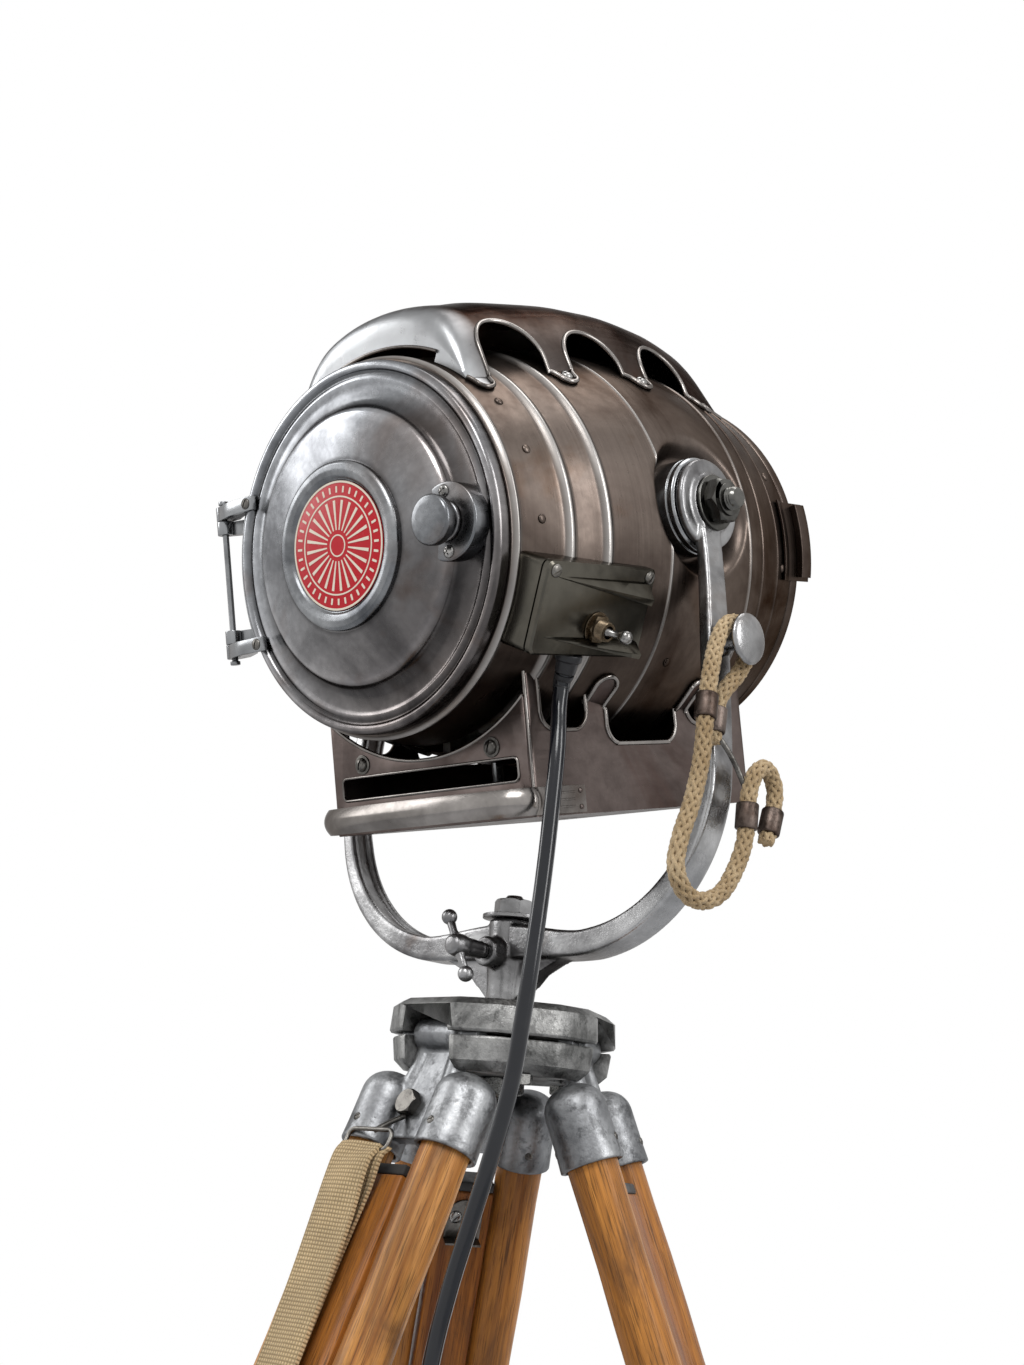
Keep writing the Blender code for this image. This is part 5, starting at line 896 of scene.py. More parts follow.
def along_line(points, steps):
    """A look-up through smoothed (x, value) knots."""
    line = smooth_path([(x, v, 0) for x, v in points], steps)

    def read(x):
        x = min(max(x, line[0].x), line[-1].x)
        for a, b in zip(line, line[1:]):
            if x <= b.x:
                return a.y + (b.y - a.y) * (x - a.x) / max(b.x - a.x, 1e-9)
        return line[-1].y
    return read


drum_radius = along_line(DRUM_KNOTS, 8)        # the barrel's outer radius, without its ridges


def ridge_height(y):
    """Rolled beads and laps: half a cosine wave each."""
    total = 0.0
    for place, half, height in RIDGES:
        if abs(y - place) < half:
            total += height * (1 + cos(pi * (y - place) / half)) / 2
    return total


stops = {round(DRUM_REAR + i * 0.267 / 84, 5) for i in range(85)}
for place, half, _ in RIDGES:
    stops |= {round(place + half * k / 4, 5) for k in range(-4, 5)}
outer = [(drum_radius(y) + ridge_height(y), y) for y in sorted(stops) if DRUM_REAR <= y <= DRUM_FRONT]
inner = [(drum_radius(y) - DRUM_WALL, y) for y in [0.1104 - i * 0.2638 / 60 for i in range(61)]]
profile = [(0.098, DRUM_REAR)] + outer + [(0.0995, DRUM_FRONT), (0.0995, 0.1104)] + inner + [(0.098, -0.1534)]
drum = lathe(profile, "Y", 300)
print("drum outline points:", len(profile))

# %% [markdown]
# Warm air leaves through holes under the cover, which are punched. The seats are pressed: the sheet isn't
# cut, so we subdivide it there and move its vertices inwards with a smooth step.

# %% Vents, and the pressed seats of the trunnions
ARCH_PLACES = (-0.1, -0.034, 0.036)      # middles of the vents, under the cover's arches
VENT_HALF, VENT_LENGTH = 0.036, 0.034
vents = []
for y in ARCH_PLACES:
    for low, high in ((0.09, 0.15), (-0.15, -0.09)):
        vents.append(block((-VENT_HALF, y - VENT_LENGTH / 2, low), (VENT_HALF, y + VENT_LENGTH / 2, high)))
vents.append(block((-0.014, -0.0575, -0.15), (-0.006, 0.0135, -0.1)))
drum = carved(drum, vents)
DISH_FLOOR = 0.111
BOSS_FACE = 0.1312
DISH_INNER, DISH_OUTER = 0.0312, 0.047


def near_trunnion(point, reach):
    return abs(point.x) > 0.09 and hypot(point.y, point.z - DRUM_DROP) < reach


seats = [face for face in drum.faces if near_trunnion(face.calc_center_median(), DISH_OUTER)]
bmesh.ops.subdivide_edges(drum, edges=list({edge for face in seats for edge in face.edges}), cuts=1,
    use_grid_fill=True)
for vert in drum.verts:
    x, y, z = vert.co
    if near_trunnion(vert.co, DISH_OUTER):
        distance = hypot(y, z - DRUM_DROP)
        inside = hypot(x, z) < drum_radius(y) - DRUM_WALL / 2
        floor = copysign(DISH_FLOOR - (DRUM_WALL if inside else 0), x)
        share = min(max((distance - DISH_INNER) / (DISH_OUTER - DISH_INNER), 0), 1)
        share = share * share * (3 - 2 * share)
        vert.co.x = floor * (1 - share) + x * share
piece("drum", drum, HEAD, "drum_steel", "lamp_head", "drum_shell", sharp=50)

# %% [markdown]
# The lens is a stepped one: each ring is a slice of a thick lens with its flat part taken out, so it bends
# light like a dome and stays thin. Its profile is one saw tooth for each ring.

# %% Front ring, lens and retainer
RING_FACE = DRUM_FRONT + GAP + 0.0115
ring = lathe(eased(mm([(99, -11.5), (118.5, -11.5), (118.5, -4), (115, 0), (90, 0), (86, -1), (86, -3),
    (97, -3), (97, -23.5), (99, -23.5)], 0, RING_FACE), 0.0015), "Y", 160)
piece("front_bezel", ring, HEAD, "drum_steel", "lamp_head", "front_ring")
seat = RING_FACE - 0.0033
zones = 9
outline = [(0, seat - 0.006), (0.0967, seat - 0.006), (0.0967, seat), (0.085, seat)]
for k in range(zones):
    far, near = 0.085 * (1 - k / (zones + 1)), 0.085 * (1 - (k + 1) / (zones + 1))
    outline += [(far - 0.0002, seat + 0.0004), (far * 0.6 + near * 0.4, seat + 0.0014),
        (near + 0.0003, seat + 0.0023), (near, seat + 0.0004)]
centre = outline[-1][0]
outline += [(centre * 0.97, seat + 0.002), (centre * 0.6, seat + 0.0042), (centre * 0.3, seat + 0.0052),
    (0, seat + 0.0055)]
piece("stepped_lens", lathe(outline, "Y", 128), HEAD, "lens_glass", "lamp_head", "fresnel_lens", sharp=30)
clip = seat - 0.0063
retainer = tube(0.0967, 0.0847, clip, clip - 0.0018, "Y", 128, 0.0005)
piece("lens_clip_ring", retainer, HEAD, "rim_steel", "lamp_head", "lens_retainer")

# %% [markdown]
# Two ears on the ring hold flags and filters. Each is one bent strip, so its outline is turned through a
# short arc, which a full lathe can't do.

# %% Ears that hold barn doors and scrims
def arc_band(outline, start, end, steps):
    """A closed (radius, y) outline turned about Y through part of a circle."""
    sections = []
    for i in range(steps + 1):
        angle = start + (end - start) * i / steps
        sections.append([(r * cos(angle), y, r * sin(angle)) for r, y in outline])
    return loft(sections)


EAR_HALF = radians(12.5)
reach = RING_FACE + 0.006
foot = drum_radius(0.098) + 0.001
wall = 0.1188
ear_outline = eased([(foot, 0.098), (foot + 0.002, 0.098), (wall + 0.002, 0.106), (wall + 0.002, reach),
    (wall - 0.012, reach), (wall - 0.012, reach - 0.002), (wall, reach - 0.002), (wall, 0.107)], 0.0009)
lip_outline = eased(mm([(1.8, -14.5), (6.5, -14.5), (6.5, -4), (5, -4), (5, -13), (1.8, -13)], wall, reach),
    0.0006)
for name, angle, node_name in (("ear_right_side", 0.0, "ear_right"), ("ear_left_side", pi, "ear_left")):
    ear = merged(arc_band(ear_outline, angle - EAR_HALF, angle + EAR_HALF, 24),
        arc_band(lip_outline, angle - EAR_HALF * 0.9, angle + EAR_HALF * 0.9, 24))
    piece(name, ear, HEAD, "drum_steel", "lamp_head", node_name)

# %% [markdown]
# ### Rear door
# The door is spun in steps: a rolled rim, a groove, a wide hollow, then a raised dome under the badge. The
# corners of its outline are eased so that each step catches a thin line of light, and its finish adds painted
# highlights on the step edges and painted shade in the grooves.

# %% Door panel, bezel and badge
LATCH_X = 0.081
DOOR_PROFILE = mm([(111, 0.3), (111, 7.2), (109.8, 9.4), (107.6, 10), (105.8, 9.4), (104.6, 7.8), (103, 7.4),
    (101.4, 8.2), (99.8, 8.8), (97.8, 8), (94, 7.8), (88.5, 9), (84.6, 11.2), (83, 13.2), (82.2, 15.8),
    (80.2, 17.8), (77, 19), (64, 22.6), (51.5, 25.7), (0, 26.2)])
outer = [(r, DRUM_REAR - depth) for r, depth in DOOR_PROFILE]
inner = [(0, outer[-1][1] + 0.002)] + [(r - 0.0012, y + 0.002)
    for r, y in reversed(outer[2:-1])] + [(0.109, outer[0][1])]
panel = lathe(eased(outer + inner, 0.0016), "Y", 192)
panel = carved(panel, [shifted(tube(0, 0.0034, -0.19, -0.15, "Y", 24), x=LATCH_X)])
piece("door_panel", panel, HEAD, "panel_steel", "door", "rear_door", sharp=60)

DOOR_BASE = DRUM_REAR - 0.0262 - GAP
bezel = lathe(eased(mm([(50, 1.2), (50, -1.6), (48, -3.4), (44.5, -3.8), (40.8, -3.2), (39.2, -1.4),
    (38.5, -1.2), (38.5, 1.2)], 0, DOOR_BASE), 0.001, 4), "Y", 144)
piece("bezel_ring", bezel, HEAD, "door_steel", "door", "badge_bezel", sharp=50)
plate = lathe(eased(mm([(0, 0), (0, -1.6), (37.9, -1.6), (38.2, 0)], 0, DOOR_BASE), 0.0003), "Y", 96)
piece("badge_disc", plate, HEAD, "red_enamel", "door", "badge_plate")

# %% [markdown]
# The badge carries a plain pattern of this part's own: cream rings, a ring of short bars and a fan of rays.
# Geometry Nodes set one small bar on every point of a circle, and turn each one outwards.

# %% One tree that repeats a shape on points
def scatter_tree():
    """Sets a template on the host's points, turned by the attributes aim and spin."""
    tree = bpy.data.node_groups.new("set_on_points", "GeometryNodeTree")
    for name, kind in (("Geometry", "Geometry"), ("Template", "Object"), ("Size", "Float"),
            ("Finish", "Material")):
        tree.interface.new_socket(name, in_out="INPUT", socket_type="NodeSocket" + kind)
    tree.interface.new_socket("Geometry", in_out="OUTPUT", socket_type="NodeSocketGeometry")
    add = tree.nodes.new
    start, end = add("NodeGroupInput"), add("NodeGroupOutput")
    info, points = add("GeometryNodeObjectInfo"), add("GeometryNodeInstanceOnPoints")
    real, paint = add("GeometryNodeRealizeInstances"), add("GeometryNodeSetMaterial")
    aim, spin = add("GeometryNodeInputNamedAttribute"), add("GeometryNodeInputNamedAttribute")
    for attribute, name in ((aim, "aim"), (spin, "spin")):
        attribute.data_type = "FLOAT_VECTOR"
        attribute.inputs["Name"].default_value = name
    face_out, face_side = add("FunctionNodeAlignRotationToVector"), add("FunctionNodeAlignRotationToVector")
    face_out.axis = "Z"
    face_side.axis = "X"
    face_side.pivot_axis = "Z"
    for source, output, target, socket in ((start, "Template", info, "Object"),
            (aim, "Attribute", face_out, "Vector"), (face_out, "Rotation", face_side, "Rotation"),
            (spin, "Attribute", face_side, "Vector"), (start, "Geometry", points, "Points"),
            (info, "Geometry", points, "Instance"), (face_side, "Rotation", points, "Rotation"),
            (start, "Size", points, "Scale"), (points, "Instances", real, "Geometry"),
            (real, "Geometry", paint, "Geometry"), (start, "Finish", paint, "Material"),
            (paint, "Geometry", end, "Geometry")):
        tree.links.new(source.outputs[output], target.inputs[socket])
    return tree


SET_ON_POINTS = scatter_tree()


def repeated(name, template, places, matrix, finish, body, size=1.0, sharp=35):
    """One piece from a template set at (point, outward direction, side direction) places."""
    turn = matrix.to_3x3()
    mesh = bpy.data.meshes.new(name)
    mesh.from_pydata([matrix @ Vector(p) for p, _, _ in places], [], [])
    for attribute, column in (("aim", 1), ("spin", 2)):
        values = mesh.attributes.new(attribute, "FLOAT_VECTOR", "POINT")
        for i, entry in enumerate(places):
            values.data[i].vector = turn @ Vector(entry[column])
    made = linked(name, mesh)
    pattern = as_object(template, name + "_template")
    pattern.data.shade_smooth()
    pattern.data.set_sharp_from_angle(angle=radians(sharp))
    modifier = made.modifiers.new("set_on_points", "NODES")
    modifier.node_group = SET_ON_POINTS
    sockets = {item.name: item.identifier for item in SET_ON_POINTS.interface.items_tree
        if item.in_out == "INPUT"}
    modifier[sockets["Template"]] = pattern
    modifier[sockets["Size"]] = size
    modifier[sockets["Finish"]] = FINISHES[finish][0]
    flattened(made)
    bpy.data.objects.remove(pattern, do_unlink=True)
    print(name, "repeats", len(places), "times")
    return dressed(made, finish, body)

# %% [markdown]
# The pattern stands two tenths of a millimetre proud, as fired enamel does, so that it catches light.

# %% Rings, dots and rays of the badge
BADGE_FACE = DOOR_BASE - 0.0016


def flat_ring(outer_r, inner_r, thick=0.0002):
    return tube(inner_r, outer_r, BADGE_FACE + 0.0001, BADGE_FACE - thick, "Y", 96)


def badge_circle(radius, start, step, count):
    """Places on a circle of the badge, each turned outwards in its plane; angles in degrees."""
    places = []
    for k in range(count):
        angle = radians(start + step * k)
        out = Vector((cos(angle), 0, sin(angle)))
        places.append((out * radius + Vector((0, BADGE_FACE, 0)), (0, -1, 0), out))
    return places


rings = merged(flat_ring(0.038, 0.0368), flat_ring(0.0292, 0.0283), flat_ring(0.0066, 0.0058))
piece("badge_rings", rings, HEAD, "cream_enamel", "door")
ray = prism(mm([(-9, -0.4), (8.5, -1), (8.5, 1), (-9, 0.4)]), 0, 0.0002)
repeated("badge_rays", ray, badge_circle(0.0182, 90, 15, 24), HEAD, "cream_enamel", "door")
bar = prism(eased(mm([(-1.9, -0.7), (1.9, -0.7), (1.9, 0.7), (-1.9, 0.7)]), 0.0006), 0, 0.0002)
repeated("badge_ticks", bar, badge_circle(0.033, 5, 10, 36), HEAD, "cream_enamel", "door")

# %% [markdown]
# Screws, rivets and bolt heads come from a few templates. A slot or a cross is cut into a small dome, and the
# same tree as before sets each kind where the real lamp has one.

# %% Templates of screws and rivets
def dome(radius, height, base=0.0006, segments=28):
    profile = [(0, -base), (radius, -base), (radius, height * 0.12)]
    for i in range(1, 7):
        angle = pi / 2 * i / 6
        profile.append((radius * cos(angle), height * (0.12 + 0.88 * sin(angle))))
    profile[-1] = (0, height)
    return lathe(profile, "Z", segments)


def slotted(radius, height):
    """A slotted round head."""
    wide, deep = radius * 0.13, height * 0.45
    return carved(dome(radius, height), [block((-radius * 1.2, -wide, height - deep),
        (radius * 1.2, wide, height * 1.5))])


def crossed(radius, height):
    """A cross-head screw."""
    wide, deep = radius * 0.14, height * 0.35
    low, high = height - deep, height * 1.5
    cross = block((-radius * 0.6, -wide, low), (radius * 0.6, wide, high))
    other = block((-wide, -radius * 0.6, low), (wide, radius * 0.6, high))
    return carved(dome(radius, height), [cross, other])


def hex_head(radius, height, base=0.0006):
    """A hexagon head whose corners are turned off."""
    body = tube(0, radius, -base, height, "Z", 6)
    cone = lathe([(0, -base - 0.001), (radius * 1.02, -base - 0.001), (radius * 1.02, height * 0.78),
        (radius * 0.86, height + 0.0001), (0, height + 0.0001)], "Z", 48)
    return carved(body, [cone], "INTERSECT")

# %% [markdown]
# The knob turns in a round plate that sits on the door's steps. The plate's back is cut with the door's
# own profile, so that it meets the metal without a gap.

# %% Latch plate and its knob
SEAT_Y = DRUM_REAR - 0.0197
LATCH = HEAD @ Matrix.Translation((LATCH_X, 0, 0))
escutcheon = lathe(eased(mm([(3.4, 12), (22.5, 12), (22.5, 0.6), (21.5, 0), (3.4, 0)], 0, SEAT_Y), 0.0009),
    "Y", 96)
clear = lathe(mm([(0, 10.5), (111, 10.5), (111, -4), (106, -9.4), (99, -8.3), (94, -7.4), (84.6, -10.8),
    (82.2, -15.4), (77, -18.6), (64, -22.2), (0, -25.8)], 0, DRUM_REAR), "Y", 96)
escutcheon = carved(escutcheon, [shifted(clear, x=-LATCH_X)])
piece("latch_plate", escutcheon, LATCH, "door_steel", "door", "latch_escutcheon")
front = SEAT_Y - GAP
knob = lathe(eased(mm([(0, 20), (3, 20), (3, 0), (11.8, 0), (11.8, -2.2), (9.8, -3.2), (8, -4.2), (8, -5.6),
    (12.8, -6.2), (14.2, -7.2), (14.5, -12.6), (13.4, -14.2), (10, -14.7), (0, -15)], 0, front), 0.0009, 4),
    "Y", 64)
tongue_y = DRUM_REAR + DRUM_WALL + 0.0006
tongue = block((-0.027, tongue_y, -0.006), (0.006, tongue_y + 0.002, 0.006))
piece("door_knob", merged(knob, tongue), LATCH, "door_steel", "latch", "latch_knob", sharp=45)
places = [((0, SEAT_Y + 0.0002, z), (0, -1, 0), (0.9, 0, 0.4)) for z in (0.0172, -0.0172)]
repeated("latch_screws", crossed(0.0038, 0.0022), places, LATCH, "silver_screws", "door")

# %% [markdown]
# The hinge is two bent arms on the door, two ears on the drum and one rod through all four. The rod stays
# with the drum, because it is riveted into the drum's own bracket, and the door turns round it.

# %% Hinge
HINGE = Vector((-0.13, -0.159, 0))
DOOR_KNUCKLE, BODY_KNUCKLE = (0.04, 0.049), (0.031, 0.0397)
PIN_HALF = 0.053
over = DRUM_REAR - 0.0098 - 0.0006
rim = 0.1116


def knuckle(low, high, radius=0.005):
    return shifted(tube(0.0023, radius, low, high, "Z", 36, 0.0005), *HINGE)


strip = arc_band(eased(mm([(0, -1), (1.8, -1), (1.8, -7), (0, -7)], rim, DRUM_REAR), 0.0005), pi - 0.43,
    pi + 0.43, 36)
leaf_parts = [strip]
for side in (1, -1):
    low, high = sorted((side * DOOR_KNUCKLE[0], side * DOOR_KNUCKLE[1]))
    arm = prism(eased([(HINGE.x, HINGE.y - 0.005), (HINGE.x + 0.016, over - 0.0035),
        (-0.0925, over - 0.0035), (-0.0905, over), (-rim * 0.905, over),
        (-rim * 0.905 - 0.0035, over + 0.004), (HINGE.x + 0.01, HINGE.y + 0.005),
        (HINGE.x, HINGE.y + 0.005)], 0.0016), low, high)
    hole = shifted(tube(0, 0.0036, low - 0.01, high + 0.01, "Z", 32), *HINGE)
    leaf_parts += [carved(arm, [hole]), knuckle(low, high)]
piece("hinge_leaf", merged(*leaf_parts), HEAD, "rim_steel", "door", "door_hinge_leaf", bevel=0.0004)

y0, y1 = DRUM_REAR + 0.0045, DRUM_REAR + 0.026
r0, r1 = drum_radius(y0) + 0.0022, drum_radius(y1) + 0.001
half_leaf = radians(23)
bracket_parts = [arc_band(eased([(r0 - 0.0015, y0), (r0 + 0.0018, y0), (r1 + 0.0018, y1), (r1 - 0.0005, y1)],
    0.0005), pi - half_leaf, pi + half_leaf, 36)]
for side in (1, -1):
    low, high = sorted((side * BODY_KNUCKLE[0], side * BODY_KNUCKLE[1]))
    x_seat = -sqrt(r0 ** 2 - BODY_KNUCKLE[0] ** 2) + 0.001
    bracket_parts.append(prism(eased([(x_seat, y0 + 0.001), (x_seat, y0 + 0.016),
        (HINGE.x - 0.0035, HINGE.y + 0.0035), (HINGE.x - 0.004, HINGE.y),
        (HINGE.x + 0.0035, HINGE.y + 0.0035)], 0.001), low, high))
    bracket_parts.append(knuckle(low, high))
rod_line = [(0, -PIN_HALF), (0.0032, -PIN_HALF), (0.0032, -PIN_HALF + 0.0025), (0.002, -PIN_HALF + 0.0025),
    (0.002, PIN_HALF - 0.0025), (0.0032, PIN_HALF - 0.0025), (0.0032, PIN_HALF), (0, PIN_HALF)]
bracket_parts.append(shifted(lathe(eased(rod_line, 0.0006), "Z", 28), *HINGE))
piece("hinge_bracket", merged(*bracket_parts), HEAD, "rim_steel", "lamp_head", "body_hinge_bracket")
places = [((-0.0965, over - 0.0035, z), (0, -1, 0), (0.5, 0, s)) for z, s in ((0.0445, 0.8), (-0.0445, 1.4))]
repeated("hinge_screws", slotted(0.0036, 0.0016), places, HEAD, "dark_bolts", "door")

# %% [markdown]
# ### Vent cover
# The cover is one pressed sheet over the drum's top vents: a flat crown, rounded shoulders, three arches on
# each side with rolled edges, and a wide slot at the back. A grid over angle and length makes the sheet.

# %% The cover's surface
HOOD_RISE = 0.029
HOOD_SECTION = ((-8, 1.0), (0, 1.0), (11, 0.99), (18, 0.95), (23, 0.85), (28, 0.65), (34, 0.36), (40, 0.06),
    (44, -0.15))
HOOD_STATIONS = ((-0.141, 0.62), (-0.139, 0.86), (-0.133, 1.03), (-0.12, 1.1), (-0.095, 1.08), (-0.06, 1.03),
    (-0.02, 1.0), (0.02, 1.0), (0.06, 1.0), (0.086, 0.95), (0.096, 0.78), (0.102, 0.52), (0.105, 0.22))
HOOD_REAR, HOOD_FRONT = -0.141, 0.105
HOOD_EDGE = radians(40.6)


section_share = along_line(HOOD_SECTION, 6)
station_share = along_line(HOOD_STATIONS, 5)


def hood_point(angle, y):
    """A point on the cover, by angle from the top and place along the drum."""
    rise = section_share(degrees(abs(angle))) * station_share(y) * HOOD_RISE
    r = drum_radius(y) + max(rise, 0.0006)
    return Vector((r * sin(angle), y, r * cos(angle)))


print("the crown stands", round((hood_point(0, 0).z - drum_radius(0)) * 1000, 1), "mm above the drum")


def hood_sheet():
    steps = 72
    angles = [-HOOD_EDGE + 2 * HOOD_EDGE * i / steps for i in range(steps + 1)]
    path = [y for y, _ in HOOD_STATIONS]
    places = sorted({round(a + (b - a) * k / n, 6) for a, b in zip(path, path[1:])
        for n in [max(1, round((b - a) / 0.0035))] for k in range(n + 1)})
    bm = bmesh.new()
    rows = [[bm.verts.new(hood_point(a, y)) for a in angles] for y in places]

    def end_row(y, share):
        """A row that lies this share of the way from the drum up to the sheet."""
        row = []
        for a in angles:
            low, crest = drum_radius(y) + 0.0006, hood_point(a, y)
            r = low + (hypot(crest.x, crest.z) - low) * share
            row.append(bm.verts.new((r * sin(a), y, r * cos(a))))
        return row

    rear = [end_row(HOOD_REAR, share) for share in (0.8, 0.5, 0.2, 0.0)]
    front = [end_row(HOOD_FRONT, share) for share in (0.5, 0.0)]
    grid = rear[::-1] + rows + front
    for a, b in zip(grid, grid[1:]):
        for i in range(steps):
            bm.faces.new((a[i], a[i + 1], b[i + 1], b[i]))
    bmesh.ops.recalc_face_normals(bm, faces=bm.faces)
    top = max(bm.faces, key=lambda f: f.calc_center_median().z)
    if top.normal.z < 0:
        bmesh.ops.reverse_faces(bm, faces=bm.faces)
    return bm


def thickened(bm, thickness):
    """Gives an open sheet a wall on its inner side."""
    made = linked("sheet", as_mesh(bm, "sheet"))
    modifier = made.modifiers.new("wall", "SOLIDIFY")
    modifier.thickness = thickness
    modifier.offset = -1
    return reopened(made)

# %% [markdown]
# The arches are cut through the sheet from the side with one prism each, and a curved slot at the back.
# The rolled edges are tubes along the same lines, because a cut sheet would look sharp.

# %% Arches and slot
ARCH_HALF, ARCH_TOP = 0.0235, 0.131


def capsule(half, low, top, steps=24):
    centre = top - half
    points = [(half, low)]
    points += [(half * cos(pi * i / steps), centre + half * sin(pi * i / steps)) for i in range(steps + 1)]
    return points + [(-half, low)]


cutters = [prism([(y + a, b) for a, b in capsule(ARCH_HALF, 0.06, ARCH_TOP)], -0.14, 0.14, "X")
    for y in ARCH_PLACES]
SLOT_LOW, SLOT_HIGH = drum_radius(HOOD_REAR) - 0.004, drum_radius(HOOD_REAR) + 0.0065
slot_angles = [radians(-30 + 56 * i / 40) for i in range(41)]
outline = [(SLOT_HIGH * sin(a), SLOT_HIGH * cos(a)) for a in slot_angles]
outline += [(SLOT_LOW * sin(a), SLOT_LOW * cos(a)) for a in reversed(slot_angles)]
cutters.append(prism(outline, HOOD_REAR - 0.01, HOOD_REAR + 0.006, "Y"))
hood = carved(thickened(hood_sheet(), 0.0016), cutters)
piece("vent_cover", hood, HEAD, "hood_steel", "lamp_head", "top_vent_cover", sharp=55)


def on_hood(y, z):
    """The cover's outer surface at a place and a height, on the right side."""
    low, high = radians(15), HOOD_EDGE
    for _ in range(24):
        middle = (low + high) / 2
        if hood_point(middle, y).z > z:
            low = middle
        else:
            high = middle
    return hood_point(low, y)


def on_drum(angle, y, lift):
    r = drum_radius(y) + ridge_height(y) + lift
    return Vector((r * sin(angle), y, r * cos(angle)))


FEET_R = 0.13             # the drum's radius where the feet lie: turns a length into an angle
FEET = mm([(-132.2, 8.7), (-67, 9.5), (1, 11.5), (70, 10.5)])
FOOT_ROOT, FOOT_CENTRE, FOOT_END = radians(40.2), radians(43.2), 0.0062


def foot_outline(half, steps=10):
    """A foot of the cover, flat on the drum: (offset, angle) from one side round its tip to the other."""
    shoulder = (half * 0.35 + FOOT_END * 0.65, FOOT_ROOT + 0.022)
    tip = [(-FOOT_END * cos(pi * i / steps), FOOT_CENTRE + sin(pi * i / steps) * FOOT_END / FEET_R)
        for i in range(steps + 1)]
    return [(-half, FOOT_ROOT), (-shoulder[0], shoulder[1])] + tip + [shoulder, (half, FOOT_ROOT)]


def hem_line():
    """The rolled edge: round each foot, up and over each arch."""
    line = []
    for i, (y, half) in enumerate(FEET):
        line += [on_drum(a, y + offset, 0.0016) for offset, a in foot_outline(half)]
        if i < len(ARCH_PLACES):
            middle = ARCH_PLACES[i]
            foot_z = hood_point(HOOD_EDGE, middle - ARCH_HALF).z
            arch = capsule(ARCH_HALF, foot_z + 0.004, ARCH_TOP, 14)
            line += [on_hood(middle + a, b) for a, b in reversed(arch)]
    line += [hood_point(HOOD_EDGE, y) for y in (0.086, 0.095, HOOD_FRONT - 0.001)]
    return line


hem = smooth_path(hem_line(), 3)
mirrored = [Vector((-p.x, p.y, p.z)) for p in hem]
beads = [sweep(hem, circle(0.0015, 10)), sweep(mirrored, circle(0.0015, 10))]
lip = [Vector(((SLOT_HIGH + 0.0005) * sin(a), HOOD_REAR - 0.0004, (SLOT_HIGH + 0.0005) * cos(a)))
    for a in slot_angles]
beads.append(sweep(lip, circle(0.0011, 10)))
beads = merged(*beads)
piece("vent_cover_hem", beads, HEAD, "hem_steel", "lamp_head", sharp=60)

# %% [markdown]
# The cover stands on tongues that lie on the drum and are screwed down. They bend with the drum, so their
# outline is drawn on its surface, in angle and length.

# %% Feet of the cover
def tongue_outline(start, end, half, steps=8):
    """A tongue from one angle on the drum to another, with a round tip: (offset, angle) pairs."""
    sign = 1 if end > start else -1
    centre = end - sign * half / FEET_R
    tip = [(-half * cos(pi * i / steps), centre + sign * sin(pi * i / steps) * half / FEET_R)
        for i in range(steps + 1)]
    return [(-half, start)] + tip + [(half, start)]


def drum_sheet(y, outline, thick):
    """A thin plate that lies on the drum."""
    return loft([[on_drum(a, y + offset, level) for offset, a in outline] for level in (0.0001, thick)])


tongues = []
for y, half in FEET:
    for sign in (1, -1):
        tongues.append(drum_sheet(y, [(offset, sign * a) for offset, a in foot_outline(half)], 0.0014))
piece("cover_feet", merged(*tongues), HEAD, "hood_steel", "lamp_head", bevel=0.0003)
places = []
for y, _ in FEET[1:3]:
    for sign in (1, -1):
        angle = sign * radians(42.9)
        places.append((on_drum(angle, y, 0.0014), (sin(angle), 0, cos(angle)), (0.2, 1, 0.3)))
repeated("cover_screws", slotted(0.004, 0.0026), places, HEAD, "silver_screws", "lamp_head")

# %% [markdown]
# Small rivets hold the fittings inside the drum. They are copies of one dome on the drum's surface.

# %% Rivets on the drum
places = []
for angle_deg, y in ((70, -0.133), (91, -0.133), (52, -0.133), (69, 0.098), (99, 0.098), (127, 0.07),
        (127, -0.02), (127, 0.03)):
    for sign in (1, -1):
        angle = sign * radians(angle_deg)
        places.append((on_drum(angle, y, 0.0), (sin(angle), 0, cos(angle)), (0, 1, 0)))
repeated("drum_rivets", dome(0.0028, 0.0014), places, HEAD, "drum_steel", "lamp_head")

# %% [markdown]
# ### Base housing
# Under the drum sits a folded box. Its sides are cut out in arches for cool air, and their edges are rolled
# over a wire, so a thin tube swept along each edge gives the same round, bright line, and its lighter finish
# paints a highlight on it.

# %% Sheet box with its cut-outs
BASE_HALF, BASE_REAR, BASE_FRONT, BASE_BOTTOM = 0.082, -0.1235, 0.09, -0.168
SIDE_CUTS = mm([(-112, -70, -118), (-52, 16, -127), (28, 56, -116)])
CUT_CORNER = 0.012
barrel = [(drum_radius(y) + ridge_height(y) + 0.0003, y) for y in sorted(stops)
    if DRUM_REAR <= y <= DRUM_FRONT]


def barrel_solid():
    return lathe([(0, DRUM_REAR)] + barrel + [(0, DRUM_FRONT)], "Y", 160)


def cut_outline(low_y, high_y, bottom, top=-0.06):
    points = [(low_y, top)]
    for start, centre in ((pi, low_y + CUT_CORNER), (1.5 * pi, high_y - CUT_CORNER)):
        for i in range(9):
            angle = start + pi / 2 * i / 8
            points.append((centre + CUT_CORNER * cos(angle), bottom + CUT_CORNER + CUT_CORNER * sin(angle)))
    return points + [(high_y, top)]


